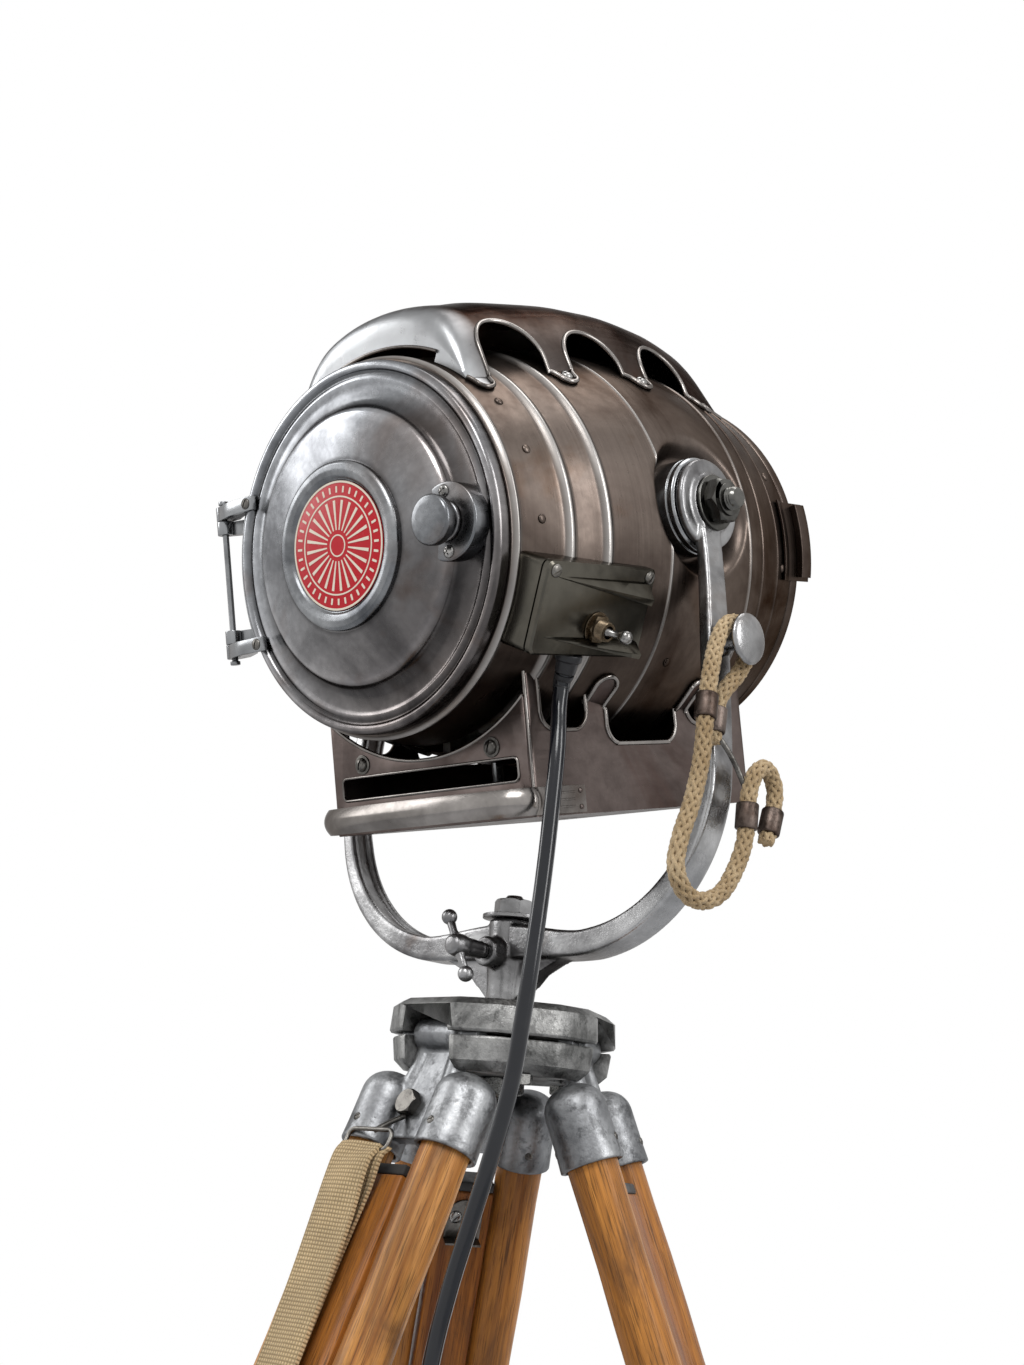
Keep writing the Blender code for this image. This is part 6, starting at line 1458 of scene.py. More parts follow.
middle_y, half_y = (BASE_REAR + BASE_FRONT) / 2, (BASE_FRONT - BASE_REAR) / 2
outer = prism([(a, b + middle_y) for a, b in rounded(BASE_HALF, half_y, 0.004)], BASE_BOTTOM, -0.082)
inner = prism([(a, b + middle_y - 0.01) for a, b in rounded(BASE_HALF - 0.0018, half_y + 0.0082, 0.003)],
    BASE_BOTTOM + 0.0018, 0.0)
cutters = [inner, barrel_solid(), block((-0.054, 0.024, BASE_BOTTOM - 0.01),
    (-0.016, 0.04, BASE_BOTTOM + 0.01)), block((-0.1, -0.057, -0.153), (-0.0799, 0.013, -0.145))]
cutters += [prism(cut_outline(*spans), -0.1, 0.1, "X") for spans in SIDE_CUTS]
housing = carved(outer, cutters)
piece("base_box", housing, HEAD, "base_steel", "lamp_head", "base_housing", sharp=30)

# %% [markdown]
# The same bead runs along the box's cut edges, up and round each tongue, in one line for each side.

# %% Rolled edges and tongues
def side_top(y):
    """The height at which the side meets the drum."""
    return -sqrt(drum_radius(y) ** 2 - BASE_HALF ** 2)


TONGUES = mm([(-61, 8), (22, 5.6)])
ROOT, TIP = radians(142.0), radians(132.5)


def rolled_edge(side):
    line = [Vector((BASE_HALF, SIDE_CUTS[0][0] - 0.001, side_top(SIDE_CUTS[0][0]) + 0.001))]
    for i, (low_y, high_y, bottom) in enumerate(SIDE_CUTS):
        outline = cut_outline(low_y, high_y, bottom, side_top(low_y) - 0.004)
        line += [Vector((BASE_HALF, y, z)) for y, z in outline]
        if i < 2:
            y, half = TONGUES[i]
            line += [on_drum(a, y + offset, 0.0014) for offset, a in tongue_outline(ROOT, TIP, half)]
    line.append(Vector((BASE_HALF, high_y + 0.001, side_top(high_y) + 0.001)))
    return [Vector((side * p.x, p.y, p.z)) for p in smooth_path(line, 3)]


parts = [sweep(rolled_edge(side), circle(0.0015, 10)) for side in (1, -1)]
for side in (1, -1):
    foot = Vector((side * (BASE_HALF - 0.0006), BASE_REAR + 0.001, BASE_BOTTOM + 0.001))
    head = Vector((foot.x, foot.y, side_top(foot.y)))
    parts.append(sweep([foot.lerp(head, i / 6) for i in range(7)], circle(0.0014, 8)))
piece("base_rolled_edges", merged(*parts), HEAD, "hem_steel", "lamp_head", sharp=60)
parts = []
for y, half in TONGUES:
    for side in (1, -1):
        parts.append(drum_sheet(y, tongue_outline(side * ROOT, side * TIP, half), 0.0016))
piece("base_tongues", merged(*parts), HEAD, "base_steel", "lamp_head", bevel=0.0004)

# %% [markdown]
# The plate closes the box at the back. It has a long vent slot and a round bay for the drum, and beads
# along both, like the sides.

# %% End plate with its slot
SLOT_Z = -0.1395
rear = BASE_REAR - GAP
plate = prism([(-BASE_HALF, BASE_BOTTOM), (BASE_HALF, BASE_BOTTOM), (BASE_HALF, -0.082),
    (-BASE_HALF, -0.082)], rear - 0.002, rear, "Y")
hole = prism([(a, b + SLOT_Z) for a, b in rounded(0.074, 0.0065, 0.003)], rear - 0.01, rear + 0.01, "Y")
arch = tube(0, 0.127, rear - 0.02, rear + 0.02, "Y", 160)
plate = carved(plate, [hole, arch])
piece("end_plate", plate, HEAD, "base_steel", "lamp_head", "base_end_plate", bevel=0.0005)
lip = [Vector((a, rear - 0.0019, b + SLOT_Z)) for a, b in rounded(0.0745, 0.007, 0.0035)]
arc = []
for i in range(41):
    angle = radians(-90 - 40 + 80 * i / 40)
    arc.append(Vector((0.1272 * cos(angle), rear - 0.0012, 0.1272 * sin(angle))))
piece("end_plate_lips", merged(sweep(lip, circle(0.0009, 8), closed=True), sweep(arc, circle(0.0013, 8))),
    HEAD, "hem_steel", "lamp_head", sharp=60)
places = [((x, rear - 0.002, -0.125), (0, -1, 0), (0.4, 0, 1)) for x in (0.055, -0.055)]
washer = tube(0, 0.0062, -0.0003, 0.0008, "Z", 32, 0.0004)
repeated("end_plate_washers", washer, places, HEAD, "dark_bolts", "lamp_head")
places = [((x, y - 0.0008, z), aim, side) for (x, y, z), aim, side in places]
repeated("end_plate_screws", slotted(0.0044, 0.003), places, HEAD, "dark_bolts", "lamp_head")

# %% [markdown]
# The bow handle is one strip, rolled into a gutter so that it doesn't cut a hand, and hammered flat at its
# ends for two rivets. Its section changes along the path, so the rings are written one by one.

# %% Bow handle
BOW_Z = -0.159
BOW_PATH = mm([(0, -148), (30, -147), (56, -143.5), (73, -137.5), (82.2, -128.5), (82.4, -120), (82.4, -100),
    (82.4, -80)])
half_line = [Vector((x, y, 0)) for x, y in BOW_PATH]
bow_line = smooth_path([Vector((-p.x, p.y, 0)) for p in reversed(half_line[1:])] + half_line, 8)
rings = []
for i, p in enumerate(bow_line):
    out = heading(bow_line, i).cross(Vector((0, 0, 1)))
    flat = min(max((abs(p.x) - 0.078) / 0.004, 0), 1) * min(max((p.y + 0.126) / 0.01, 0), 1)
    bulge = 0.0034 * (1 - flat)
    ring = []
    for k in range(9):
        b = -0.008 + 0.016 * k / 8
        ring.append((0.001 + bulge * (1 - (b / 0.008) ** 2), b))
    for k in range(9):
        b = 0.0076 - 0.0152 * k / 8
        ring.append((max(-0.0006, -0.0006 + bulge * (1 - (b / 0.0076) ** 2)), b))
    rings.append([p + out * (a + 0.001) + Vector((0, 0, BOW_Z + b)) for a, b in ring])
handle = loft(rings)
grooves = []
for side in (1, -1):
    for k in (-1, 0, 1):
        line = [Vector((side * 0.0842, -0.113, BOW_Z + 0.0042 * k)),
            Vector((side * 0.0842, -0.09, BOW_Z + 0.0042 * k))]
        grooves.append(sweep([line[0].lerp(line[1], j / 4) for j in range(5)], circle(0.0007, 8)))
piece("bow_strip", merged(handle, *grooves), HEAD, "hem_steel", "lamp_head", "bow_handle", sharp=50)
places = [((side * 0.0844, -0.0845, BOW_Z + z), (side, 0, 0), (0, 1, 0)) for side in (1, -1)
    for z in (0.0048, -0.0048)]
repeated("bow_rivets", dome(0.0016, 0.001), places, HEAD, "base_steel", "lamp_head")

# %% [markdown]
# ### Switch box
# A small cover holds the toggle switch. Two pressed louvres stiffen it: each grows from a point to a wedge,
# so a loft between a small and a large triangle makes it.

# %% Switch case and louvres
BOX = HEAD @ box_matrix
BOX_LOW, BOX_HIGH = -0.15, -0.054
centre_a, half_a = (BOX_LOW + BOX_HIGH) / 2, (BOX_HIGH - BOX_LOW) / 2
levels = mm([(-34, 0), (-5.5, 0), (-5.2, -0.9), (-4.6, -0.9), (-4.3, 0), (-1.2, 0), (0, -1.2)])
case = loft([[(a + centre_a, b, z) for a, b in rounded(half_a + grow, BOX_HALF_HEIGHT + grow, 0.0045)]
    for z, grow in levels])
case.transform(box_matrix)
case = carved(case, [barrel_solid()])
piece("switch_case", case, HEAD, "box_steel", "lamp_head", "switch_box", sharp=30)
parts = []
for near, drop in ((0.019, 0.012), (-0.0158, 0.0094)):
    sections = []
    for k in range(9):
        t = k / 8
        a = BOX_LOW + 0.01 + (BOX_HIGH - BOX_LOW - 0.018) * t
        far = near - drop * t - 0.0012
        top = 0.0004 + 0.0085 * sin(pi / 2 * t)
        sections.append([(a, near, -0.0003), (a, near - 0.0008, top * 0.35),
            (a, near * 0.35 + far * 0.65, top), (a, far + 0.0006, top * 0.9), (a, far, -0.0003)])
    parts.append(loft(sections))
piece("switch_louvres", merged(*parts), BOX, "box_steel", "lamp_head", bevel=0.0004)
places = [((a, 0.0215, -0.0002), (0, 0, 1), side) for a, side in ((BOX_LOW + 0.007, (1, 0.6, 0)),
    (BOX_HIGH - 0.006, (1, 2, 0)))]
repeated("switch_screws", slotted(0.004, 0.002), places, BOX, "dark_bolts", "lamp_head")

# %% [markdown]
# A toggle switch is turned parts on one axis: bush, nut, washer and lever. A lathe draws them, and the nut
# gets its six sides by crossing a prism with a cone.

# %% Toggle, nut and gland
TOGGLE = (-0.098, -0.01)
bush = [(0.0039, -0.005), (0.0056, -0.005), (0.0056, 0.0024)]
for k in range(8):
    at = 0.0028 + k * 0.0009
    bush += [(0.0058, at), (0.0053, at + 0.00045)]
bush += [(0.0054, 0.01), (0.0039, 0.01)]
collar = carved(tube(0, 0.0088, 0.0003, 0.0031, "Z", 6), [lathe([(0, -0.001), (0.009, -0.001),
    (0.009, 0.0026), (0.0076, 0.0032), (0, 0.0032)], "Z", 40)], "INTERSECT")
washer = tube(0.0058, 0.0098, 0.0002, 0.0009, "Z", 40, 0.0003)
SWITCH = BOX @ Matrix.Translation((*TOGGLE, 0))
piece("switch_bush", merged(lathe(bush, "Z", 40), shifted(collar, z=0.0006), washer), SWITCH, "dull_bronze",
    "lamp_head", "switch_bushing", sharp=30)
lever = lathe(mm([(0, -3.6), (2.6, -2.4), (3.6, 0), (3, 2.2), (2.2, 3.6), (1.9, 9), (2.6, 10.2), (3.8, 11.8),
    (4.2, 13.8), (3.7, 15.8), (2.3, 17), (0, 17.4)]), "Z", 32)
LEVER = SWITCH @ Matrix.Translation((0, 0, 0.0065)) @ Matrix.Rotation(radians(17), 4, "Y")
piece("switch_lever", lever, LEVER, "silver_screws", "toggle", "toggle_lever", sharp=50)
outer = -BOX_HALF_HEIGHT - GAP
gland = lathe(eased(mm([(0, 0), (8, 0), (8, -4), (6.6, -5), (6, -12), (0, -12)], 0, outer), 0.0008), "Y", 48)
GLAND = BOX @ Matrix.Translation((GLAND_PLACE[0], 0, -GLAND_PLACE[1]))
sleeve_line = [p - hanging[0] for p in smooth_path(hanging[:3], 6)[:7]]
sleeve = sweep(sleeve_line, circle(0.0058, 32), scale=lambda t: 1.0 - 0.16 * t)
sleeve.transform(Matrix.Translation(STAND + hanging[0]))
gland.transform(GLAND)
piece("cord_relief", merged(gland, sleeve), Matrix(), "black_moulding", "lamp_head", "cord_gland", sharp=35)

# %% [markdown]
# ### Light source
# Behind the lens a tray slides on two rails and carries the lamp and its mirror. It hardly shows, but it is
# there when the door is open, so it gets round edges and its own finishes too.

# %% Tray, socket, bulb and mirror
CARRIAGE_Y = -0.052
tray = prism(eased(mm([(26, 26), (-26, 26), (-26, -26), (-8, -26), (-8, -44), (8, -44), (8, -26),
    (26, -26)]), 0.003), -0.079, -0.075)
arm = block((-0.012, -0.0035, -0.155), (-0.008, 0.0035, -0.076))
focus_knob = lathe(eased(mm([(0, -112), (8.8, -112), (11, -109), (11, -98), (3, -98), (3, -10), (0, -10)]),
    0.0012), "X", 40)
TRAY = HEAD @ Matrix.Translation((0, CARRIAGE_Y, 0))
piece("lamp_tray", merged(tray, arm, shifted(focus_knob, z=-0.149)), TRAY, "rim_steel", "focus_carriage",
    "lamp_carriage", bevel=0.0004)
base_z = -0.0747
profile = [(0, base_z), (0.019, base_z)]
for k in range(6):
    at = base_z + 0.004 + k * 0.005
    profile += [(0.019, at), (0.0176, at + 0.001), (0.0176, at + 0.003), (0.019, at + 0.004)]
profile += [(0.018, base_z + 0.036), (0, base_z + 0.036)]
piece("ceramic_socket", lathe(profile, "Z", 56), TRAY, "socket_ceramic", "focus_carriage", "lamp_socket")
base_z += 0.0363
bulb = lathe([(0, base_z), (0.013, base_z), (0.0132, base_z + 0.012)]
    + [(p.x, p.y) for p in smooth_path(mm([(14.5, 14, 0), (21.6, 26, 0), (27, 40, 0), (23.2, 54, 0),
    (12.2, 64, 0), (0, 67, 0)], 0, base_z, 0), 5)][:-1] + [(0, base_z + 0.067)], "Z", 48)
piece("globe_bulb", bulb, TRAY, "bulb_glass", "focus_carriage", "lamp_bulb", sharp=60)
bowl = [(0.052 * i / 16, -0.046 + 0.016 * (i / 16) ** 2) for i in range(17)]
bowl += [(r, y - 0.0012) for r, y in reversed(bowl)]
post = block((-0.006, -0.0488, -0.0747), (0.006, -0.0465, -0.004))
piece("lamp_mirror", merged(lathe(bowl, "Y", 80), post), TRAY @ Matrix.Translation((0, 0.006, 0)),
    "mirror_metal", "focus_carriage", "reflector", sharp=50)
rails = bpy.data.objects["focus_rails"]
rails.data.materials.clear()
rails.data.materials.append(FINISHES["dark_bolts"][0])

# %% [markdown]
# ## Trunnions and yoke
# The head turns on two bolts. Each has a turned boss in the drum's dish, the yoke's eye, a washer and a nut.
# The left side isn't in the photograph, so it repeats the right one.

# %% Bosses, washers, nuts and bolts
def hexagon_nut(radius, low, high, chamfer=0.14):
    """A hexagon nut with both faces chamfered."""
    body = tube(0, radius, low, high, "X", 6)
    cone = lathe([(0, low - 0.0001), (radius * (1 - chamfer), low - 0.0001),
        (radius * 1.01, low + radius * 0.12), (radius * 1.01, high - radius * 0.12),
        (radius * (1 - chamfer), high + 0.0001), (0, high + 0.0001)], "X", 64)
    return carved(body, [cone], "INTERSECT")


def threaded(radius, low, high, pitch=0.0012, axis="X"):
    """A stub with thread ridges, as rings: at this size nobody sees that they don't climb."""
    profile = [(0, low)]
    at = low
    while at + pitch < high - 0.001:
        profile += [(radius - 0.0009, at), (radius, at + pitch * 0.5)]
        at += pitch
    profile += [(radius - 0.0006, high - 0.001), (radius - 0.0014, high), (0, high)]
    return lathe(profile, axis, 40)


TRUNNION = YOKE @ TURN_HEAD
for name, side in (("right", 1), ("left", -1)):
    FLIP = TRUNNION if side > 0 else TRUNNION @ Matrix.Rotation(pi, 4, "Z")
    boss = lathe(eased(mm([(8.3, -20.9), (30, -20.9), (30, -5.8), (29.1, -5.3), (29.1, -4.7), (29.9, -4.2),
        (29.9, -1.2), (28.6, 0), (8.3, 0)], 0, BOSS_FACE), 0.0004), "X", 128)
    piece("trunnion_collar_" + name, boss, FLIP, "rim_steel", "lamp_head", "trunnion_boss_" + name)
    wash = BOSS_FACE + GAP + 0.0078 + 0.0005
    nut = wash + 0.002
    parts = [lathe(eased(mm([(0, -30), (8, -30), (8, 0), (17.2, 0), (17.2, 1.6), (16.4, 2), (0, 2)], 0,
        wash), 0.0004), "X", 64), hexagon_nut(0.0146, nut - 0.0001, nut + 0.0084),
        tube(0, 0.01, nut + 0.0082, nut + 0.0098, "X", 48, 0.0005),
        threaded(0.007, nut + 0.0096, 0.1585, 0.0018)]
    piece("trunnion_nut_" + name, merged(*parts), FLIP, "nut_steel", "lamp_head", "trunnion_bolt_" + name,
        sharp=30)

# %% [markdown]
# The yoke is forged: its arms and its middle flow into each other. Separate solids would meet in hard
# creases, so they are merged, wrapped in one voxel skin and smoothed, as a forging is by its die.

# %% One skin over several solids
def wrapped(parts, voxel, rounds):
    """A voxel skin over overlapping solids, smoothed."""
    made = as_object(merged(*parts))
    skin = made.modifiers.new("skin", "REMESH")
    skin.mode = "VOXEL"
    skin.voxel_size = voxel
    soft = made.modifiers.new("soft", "SMOOTH")
    soft.iterations = rounds
    return reopened(made)

# %% [markdown]
# The arms are a section carried along a list of stations, thin at the eyes and thick below. A shallow
# channel runs up their inner side, as it does on the real one.

# %% Arms and middle of the yoke
CLAMP_Z, STUD_Z = -0.272, -0.091
YOKE_BOTTOM, YOKE_HALF, YOKE_CORNER = -0.275, 0.157, 0.104
HUB_IN = BOSS_FACE + GAP
# x, z, thickness and width
arm_stations = mm([(135.5, -6, 7.4, 20), (136.3, -19, 7.8, 19), (138.8, -34, 8.2, 18),
    (141.8, -56, 8.8, 18.5), (145.2, -86, 9, 20), (148.4, -120, 9, 20.5)])
corner = (YOKE_HALF - YOKE_CORNER, YOKE_BOTTOM + YOKE_CORNER)
for i in range(8):
    share = i / 7
    thick, width = 0.009 + 0.007 * share, 0.02 + 0.004 * share
    radius = YOKE_CORNER - thick / 2
    angle = pi / 2 * share
    arm_stations.append((corner[0] + radius * cos(angle), corner[1] - radius * sin(angle), thick, width))
arm_stations.append((0.0, YOKE_BOTTOM + 0.011, 0.021, 0.024))
mirror_half = [(-x, z, t, w) for x, z, t, w in reversed(arm_stations[:-1])]
whole = arm_stations + mirror_half
places = smooth_path([(x, 0, z) for x, z, _, _ in whole], 5)
sizes = smooth_path([(t, w, 0) for _, _, t, w in whole], 5)
sections = []


def channel(thick, width, depth):
    """An arm's cross section: round corners, and a shallow groove in its inner face."""
    outline = rounded(thick / 2, width / 2, 0.002, 3)
    groove = [(-thick / 2, width * 0.3), (-thick / 2 + depth, width * 0.24),
        (-thick / 2 + depth, -width * 0.24), (-thick / 2, -width * 0.3)]
    return outline[:8] + groove + outline[8:]


for i, (p, size) in enumerate(zip(places, sizes)):
    along = heading(places, i)
    out = Vector((-along.z, 0, along.x))
    open_share = min(max((-0.06 - p.z) / 0.03, 0), 1) * min(max((abs(p.x) - 0.03) / 0.03, 0), 1)
    section = channel(size.x, size.y, 0.0002 + 0.0026 * open_share)
    sections.append([p + out * a + Vector((0, b, 0)) for a, b in section])
arms = loft(sections)
solids = [arms]
for side in (1, -1):
    low = HUB_IN
    eye = lathe(eased(mm([(0, 0), (28, 0), (28, 4.2), (26.2, 5.2), (20, 5.6), (17.6, 7.8), (0, 7.8)], 0,
        low), 0.0006), "X", 96)
    solids.append(eye if side > 0 else turned(eye, Matrix.Rotation(pi, 4, "Z")))
solids.append(lathe(mm([(0, -250.3), (13.5, -250.3), (14.4, -252), (14.4, -273), (13.3, -283), (12.6, -291),
    (12.6, -303.7), (0, -303.7)]), "Z", 64))
gusset = mm([(-56, -271), (-30, -283), (-12, -299), (12, -299), (30, -283), (56, -271)])
solids.append(prism(gusset, -0.006, 0.006, "Y"))
solids.append(shifted(lathe(eased(mm([(0, -24), (9.2, -24), (9.5, -10), (11.5, -6), (0, -6)]), 0.0012), "Y",
    48), z=CLAMP_Z))
fork = wrapped(solids, 0.001, 2)
bores = [tube(0, 0.0093, -0.32, -0.24, "Z", 48), tube(0, 0.0083, 0.11, 0.15, "X", 40),
    tube(0, 0.0083, -0.15, -0.11, "X", 40), shifted(tube(0, 0.0048, -0.034, -0.0085, "Y", 32), z=CLAMP_Z)]
fork = carved(fork, bores)
piece("forged_yoke", fork, YOKE, "yoke_steel", "yoke", "yoke_fork", sharp=50)

# %% [markdown]
# A stud with a mushroom cap stands on the right arm. Its foot has to meet the arm's face, so we look up
# where that face is.

# %% Rope stud
def arm_face(z):
    """The right arm's outer face at a height."""
    for (x0, z0, t0, _), (x1, z1, t1, _) in zip(arm_stations, arm_stations[1:]):
        if z1 <= z <= z0:
            share = (z - z0) / (z1 - z0)
            return x0 + (x1 - x0) * share + (t0 + (t1 - t0) * share) / 2
    return 0.152


stud_in = arm_face(STUD_Z) + 0.0006
stud = lathe([(0, stud_in), (0.0078, stud_in), (0.0078, stud_in + 0.003), (0.0055, stud_in + 0.0042),
    (0.0055, 0.1672), (0.011, 0.168), (0.0148, 0.1688), (0.0155, 0.1698), (0.015, 0.171), (0.0128, 0.1722),
    (0.0085, 0.1733), (0.004, 0.1739), (0, 0.174)], "X", 72)
piece("cap_stud", shifted(stud, z=STUD_Z), YOKE, "yoke_steel", "yoke", "rope_stud", sharp=60)

# %% [markdown]
# ### Tie rope
# A plaited jute rope hangs on the stud. Twelve strands wind round a core, six each way, and pass over and
# under each other: the radius of each strand swings with a cosine, with opposite signs for the two ways.

# %% The rope's route and its plait
ROPE_R = 0.0052
ROPE_ROUTE = mm([(160, -16, -156), (160, -12, -130), (160.5, 6, -108), (161, 12.8, -92), (161, 3.5, -80.3),
    (161, -9, -83), (162.5, -19.5, -96), (167, -30, -116), (170.5, -37.5, -140), (172, -41, -170),
    (172.5, -48, -197), (172.5, -57, -220), (172.5, -59.5, -237), (172.5, -50, -249), (172.5, -34, -251),
    (172.5, -17, -243), (172.5, -5, -227), (172.5, 2, -210), (172.5, 3, -190), (172.5, 8, -172),
    (172.5, 19, -165), (172.5, 29, -175), (172.5, 27, -195), (172.5, 22, -208)])
rope_smooth = smooth_path([Vector(p) for p in ROPE_ROUTE], 12)
rope_length = length_of(rope_smooth)


def plait(line, radius, pitch, strands=12, strand=0.00135, sides=6):
    """Strands woven round a line."""
    count = int(length_of(line) / (pitch / 36))
    points = even_points(line, count)
    side = None
    frames = []
    for i, p in enumerate(points):
        along = heading(points, i)
        side = along.orthogonal().normalized() if side is None else (side
            - along * side.dot(along)).normalized()
        frames.append((p, side, along.cross(side)))
    parts = []
    step = length_of(line) / (count - 1)
    for k in range(strands):
        way = 1 if k % 2 else -1
        phase = 2 * pi * (k // 2) / (strands / 2)
        track = []
        for i, (p, a, b) in enumerate(frames):
            swing = 2 * pi * i * step / pitch
            r = radius - strand * 1.2 + way * 0.0004 * cos(strands / 2 * swing)
            angle = way * swing + phase
            track.append(p + (a * cos(angle) + b * sin(angle)) * r)
        parts.append(sweep(track, circle(strand, sides)))
    parts.append(sweep(points[::6] + [points[-1]], circle(radius - strand * 1.55, 16)))
    return merged(*parts)


rope = piece("jute_rope", plait(rope_smooth, ROPE_R, 0.046), YOKE, "jute_strand", "yoke", "tie_rope",
    sharp=80)
print("rope %.3f m" % rope_length)

# %% [markdown]
# Tin bands clamp the rope where two runs meet. We find those places by height along the route, so the
# bands stay on the rope when its route changes.

# %% Crimps and hook of the rope
def rope_band(at, length, radius):
    """A tin band round the rope, centred at a share of its length."""
    points = even_points(rope_smooth, 241)
    middle = int(240 * at)
    reach = max(1, round(length / 2 / (rope_length / 240)))
    line = points[max(0, middle - reach):middle + reach + 1]
    rings = ((0, 0.94), (0.06, 1.0), (0.94, 1.0), (1, 0.94))
    path = [line[0].lerp(line[-1], t) for t, _ in rings]
    side = (line[-1] - line[0]).orthogonal().normalized()
    along = (line[-1] - line[0]).normalized()
    up = along.cross(side)
    return loft([[p + side * a * size + up * b * size for a, b in circle(radius, 28)]
        for p, (_, size) in zip(path, rings)])


def crossings(level, count=241):
    """The shares of the rope's length at which it passes a height."""
    points = even_points(rope_smooth, count)
    return [i / (count - 1) for i, (a, b) in enumerate(zip(points, points[1:]))
        if (a.z - level) * (b.z - level) <= 0]


bands = [rope_band(at, 0.015, 0.0066) for at in crossings(-0.142)[:2] + crossings(-0.196)[-2:]]
piece("rope_crimps", merged(*bands), YOKE, "tin_crimp", "yoke", bevel=0.0004)
hook_route = mm([(164, -13.5, -154.5), (166.5, -7.5, -162), (169, 0.5, -174), (170, 7, -185),
    (168, 12, -192)])
piece("rope_hook", sweep(smooth_path(hook_route, 6), circle(0.0016, 14)), YOKE, "dark_bolts", "yoke")

# %% [markdown]
# The clamp is a turned screw with a bar and two balls. It is drawn about its own axis, so that it can
# turn there.

# %% Clamp screw with its bar
hub = lathe(eased(mm([(0, -9.7), (4.4, -9.7), (4.4, -26.2), (5.6, -27.5), (5.2, -29), (6, -40), (7, -44),
    (7.2, -48), (6, -52), (4, -53.5), (0, -53.8)]), 0.0006), "Y", 48)
bar_half, ball = 0.0195, 0.0048
profile = [(0, -bar_half - ball)]
for i in range(1, 11):
    angle = pi * i / 12
    profile.append((ball * sin(angle), -bar_half - ball * cos(angle)))
profile += [(0.0026, -bar_half + ball * 0.95), (0.0024, -0.01), (0.0034, -0.005), (0.0042, 0.0)]
profile += [(r, -z) for r, z in reversed(profile[:-1])]
bar = lathe(profile, "Z", 36)
bar.transform(Matrix.Translation((0, -0.047, 0)) @ Matrix.Rotation(radians(-27), 4, "Y"))
CLAMP = YOKE @ Matrix.Translation((0, 0, CLAMP_Z))
piece("clamp_screw", merged(hub, bar), CLAMP, "yoke_steel", "clamp", "clamp_handle", sharp=50)

# %% [markdown]
# ## The stand
# The head plates and the leg castings are rough zinc. The leg castings are drawn as simple solids, wrapped in
# a voxel skin like the yoke, and so get the soft edges of a sand casting; the head plates are bevelled
# instead.

# %% Spigot, pan bolt and head plates
post = lathe(eased(mm([(0, -280.6), (5.3, -280.6), (5.3, -250.8), (8.8, -250.8), (9, -346.6), (0, -346.6)]),
    0.0004), "Z", 48)
nut_low = turned(hexagon_nut(0.015, 0.3466, 0.356), Matrix.Rotation(pi / 2, 4, "Y"))
piece("stand_post", merged(post, nut_low, threaded(0.0078, -0.364, -0.355, axis="Z")), YOKE, "plated_bolts",
    "stand", "spigot_post", sharp=32)
head_low = -0.2497 + 0.0025
nut_top = turned(hexagon_nut(0.0125, -head_low - 0.0098, -head_low), Matrix.Rotation(pi / 2, 4, "Y"))
bolt = merged(lathe(eased([(0, -0.277), (0.005, -0.277), (0.005, -0.2497), (0.019, -0.2497),
    (0.019, head_low), (0, head_low)], 0.0004), "Z", 56), nut_top,
    threaded(0.006, head_low + 0.009, head_low + 0.0125, axis="Z"))
piece("pan_nut", bolt, YOKE, "yoke_steel", "stand", "pan_bolt", sharp=32)


def plate_outline():
    """The head plate seen from above: a lug on each side of each leg, three flats between two legs."""
    points = []
    for azimuth in LEG_AZIMUTHS:
        for offset, radius in ((-21, 0.069), (21, 0.069), (43, 0.07), (77, 0.07)):
            angle = azimuth + radians(offset)
            points.append((radius * cos(angle), radius * sin(angle)))
    return points


def head_plate(layers, roof):
    """A faceted plate with a slot and a pin groove for each leg; a roof is left over the slots."""
    outline = plate_outline()
    plate = loft([[(x * k, y * k, z) for x, y in outline] for z, k in layers])
    low, high = layers[0][0], layers[-1][0]
    ceiling = high - roof if roof else high + 0.01
    cutters = []
    for azimuth in LEG_AZIMUTHS:
        turn = Matrix.Rotation(azimuth, 4, "Z")
        slot = block((0.033, -0.02, low - 0.01), (0.1, 0.02, ceiling))
        groove = turned(tube(0, 0.0054, -0.0345, 0.0345, "Y", 28), Matrix.Translation(LEG_PIN))
        cutters += [turned(slot, turn), turned(groove, turn)]
    cutters.append(tube(0, 0.0094, low - 0.01, high + 0.01, "Z", 40))
    return carved(plate, cutters)


piece("head_plate_top", head_plate(((-0.3243, 0.985), (-0.3228, 1.0), (-0.3085, 0.985), (-0.3043, 0.9)),
    0.0045), YOKE, "rough_casting", "stand", "tripod_top_plate", bevel=0.0008, sharp=14)
piece("head_plate_low", head_plate(((-0.3462, 0.85), (-0.3405, 0.94), (-0.3278, 0.965), (-0.3265, 0.955)),
    0), YOKE, "rough_casting", "stand", "tripod_lower_plate", bevel=0.0008, sharp=14)
places = []
for azimuth in LEG_AZIMUTHS:
    angle = azimuth + radians(60)
    places.append(((0.052 * cos(angle), 0.052 * sin(angle), -0.3465), (0, 0, -1), (1, 0, 0)))
repeated("head_plate_bolts", hex_head(0.0075, 0.0052), places, YOKE, "plated_bolts", "stand")

# %% [markdown]
# Each leg hangs from its casting: a barrel on the pin, a web, and two domed sockets that hold the poles. The
# inner board slides between the poles, through the collar at their foot.

# %% Leg castings
POLE_X, POLE_SPACING, POLE_R, FERRULE_R = -0.006, 0.066, 0.015, 0.0185
FERRULE_TOP, FERRULE_BOTTOM = -0.024, -0.072
leg_length = (STAND.z + LEG_PIN.z + POLE_X * sin(LEG_SPLAY) - 0.0155) / cos(LEG_SPLAY)


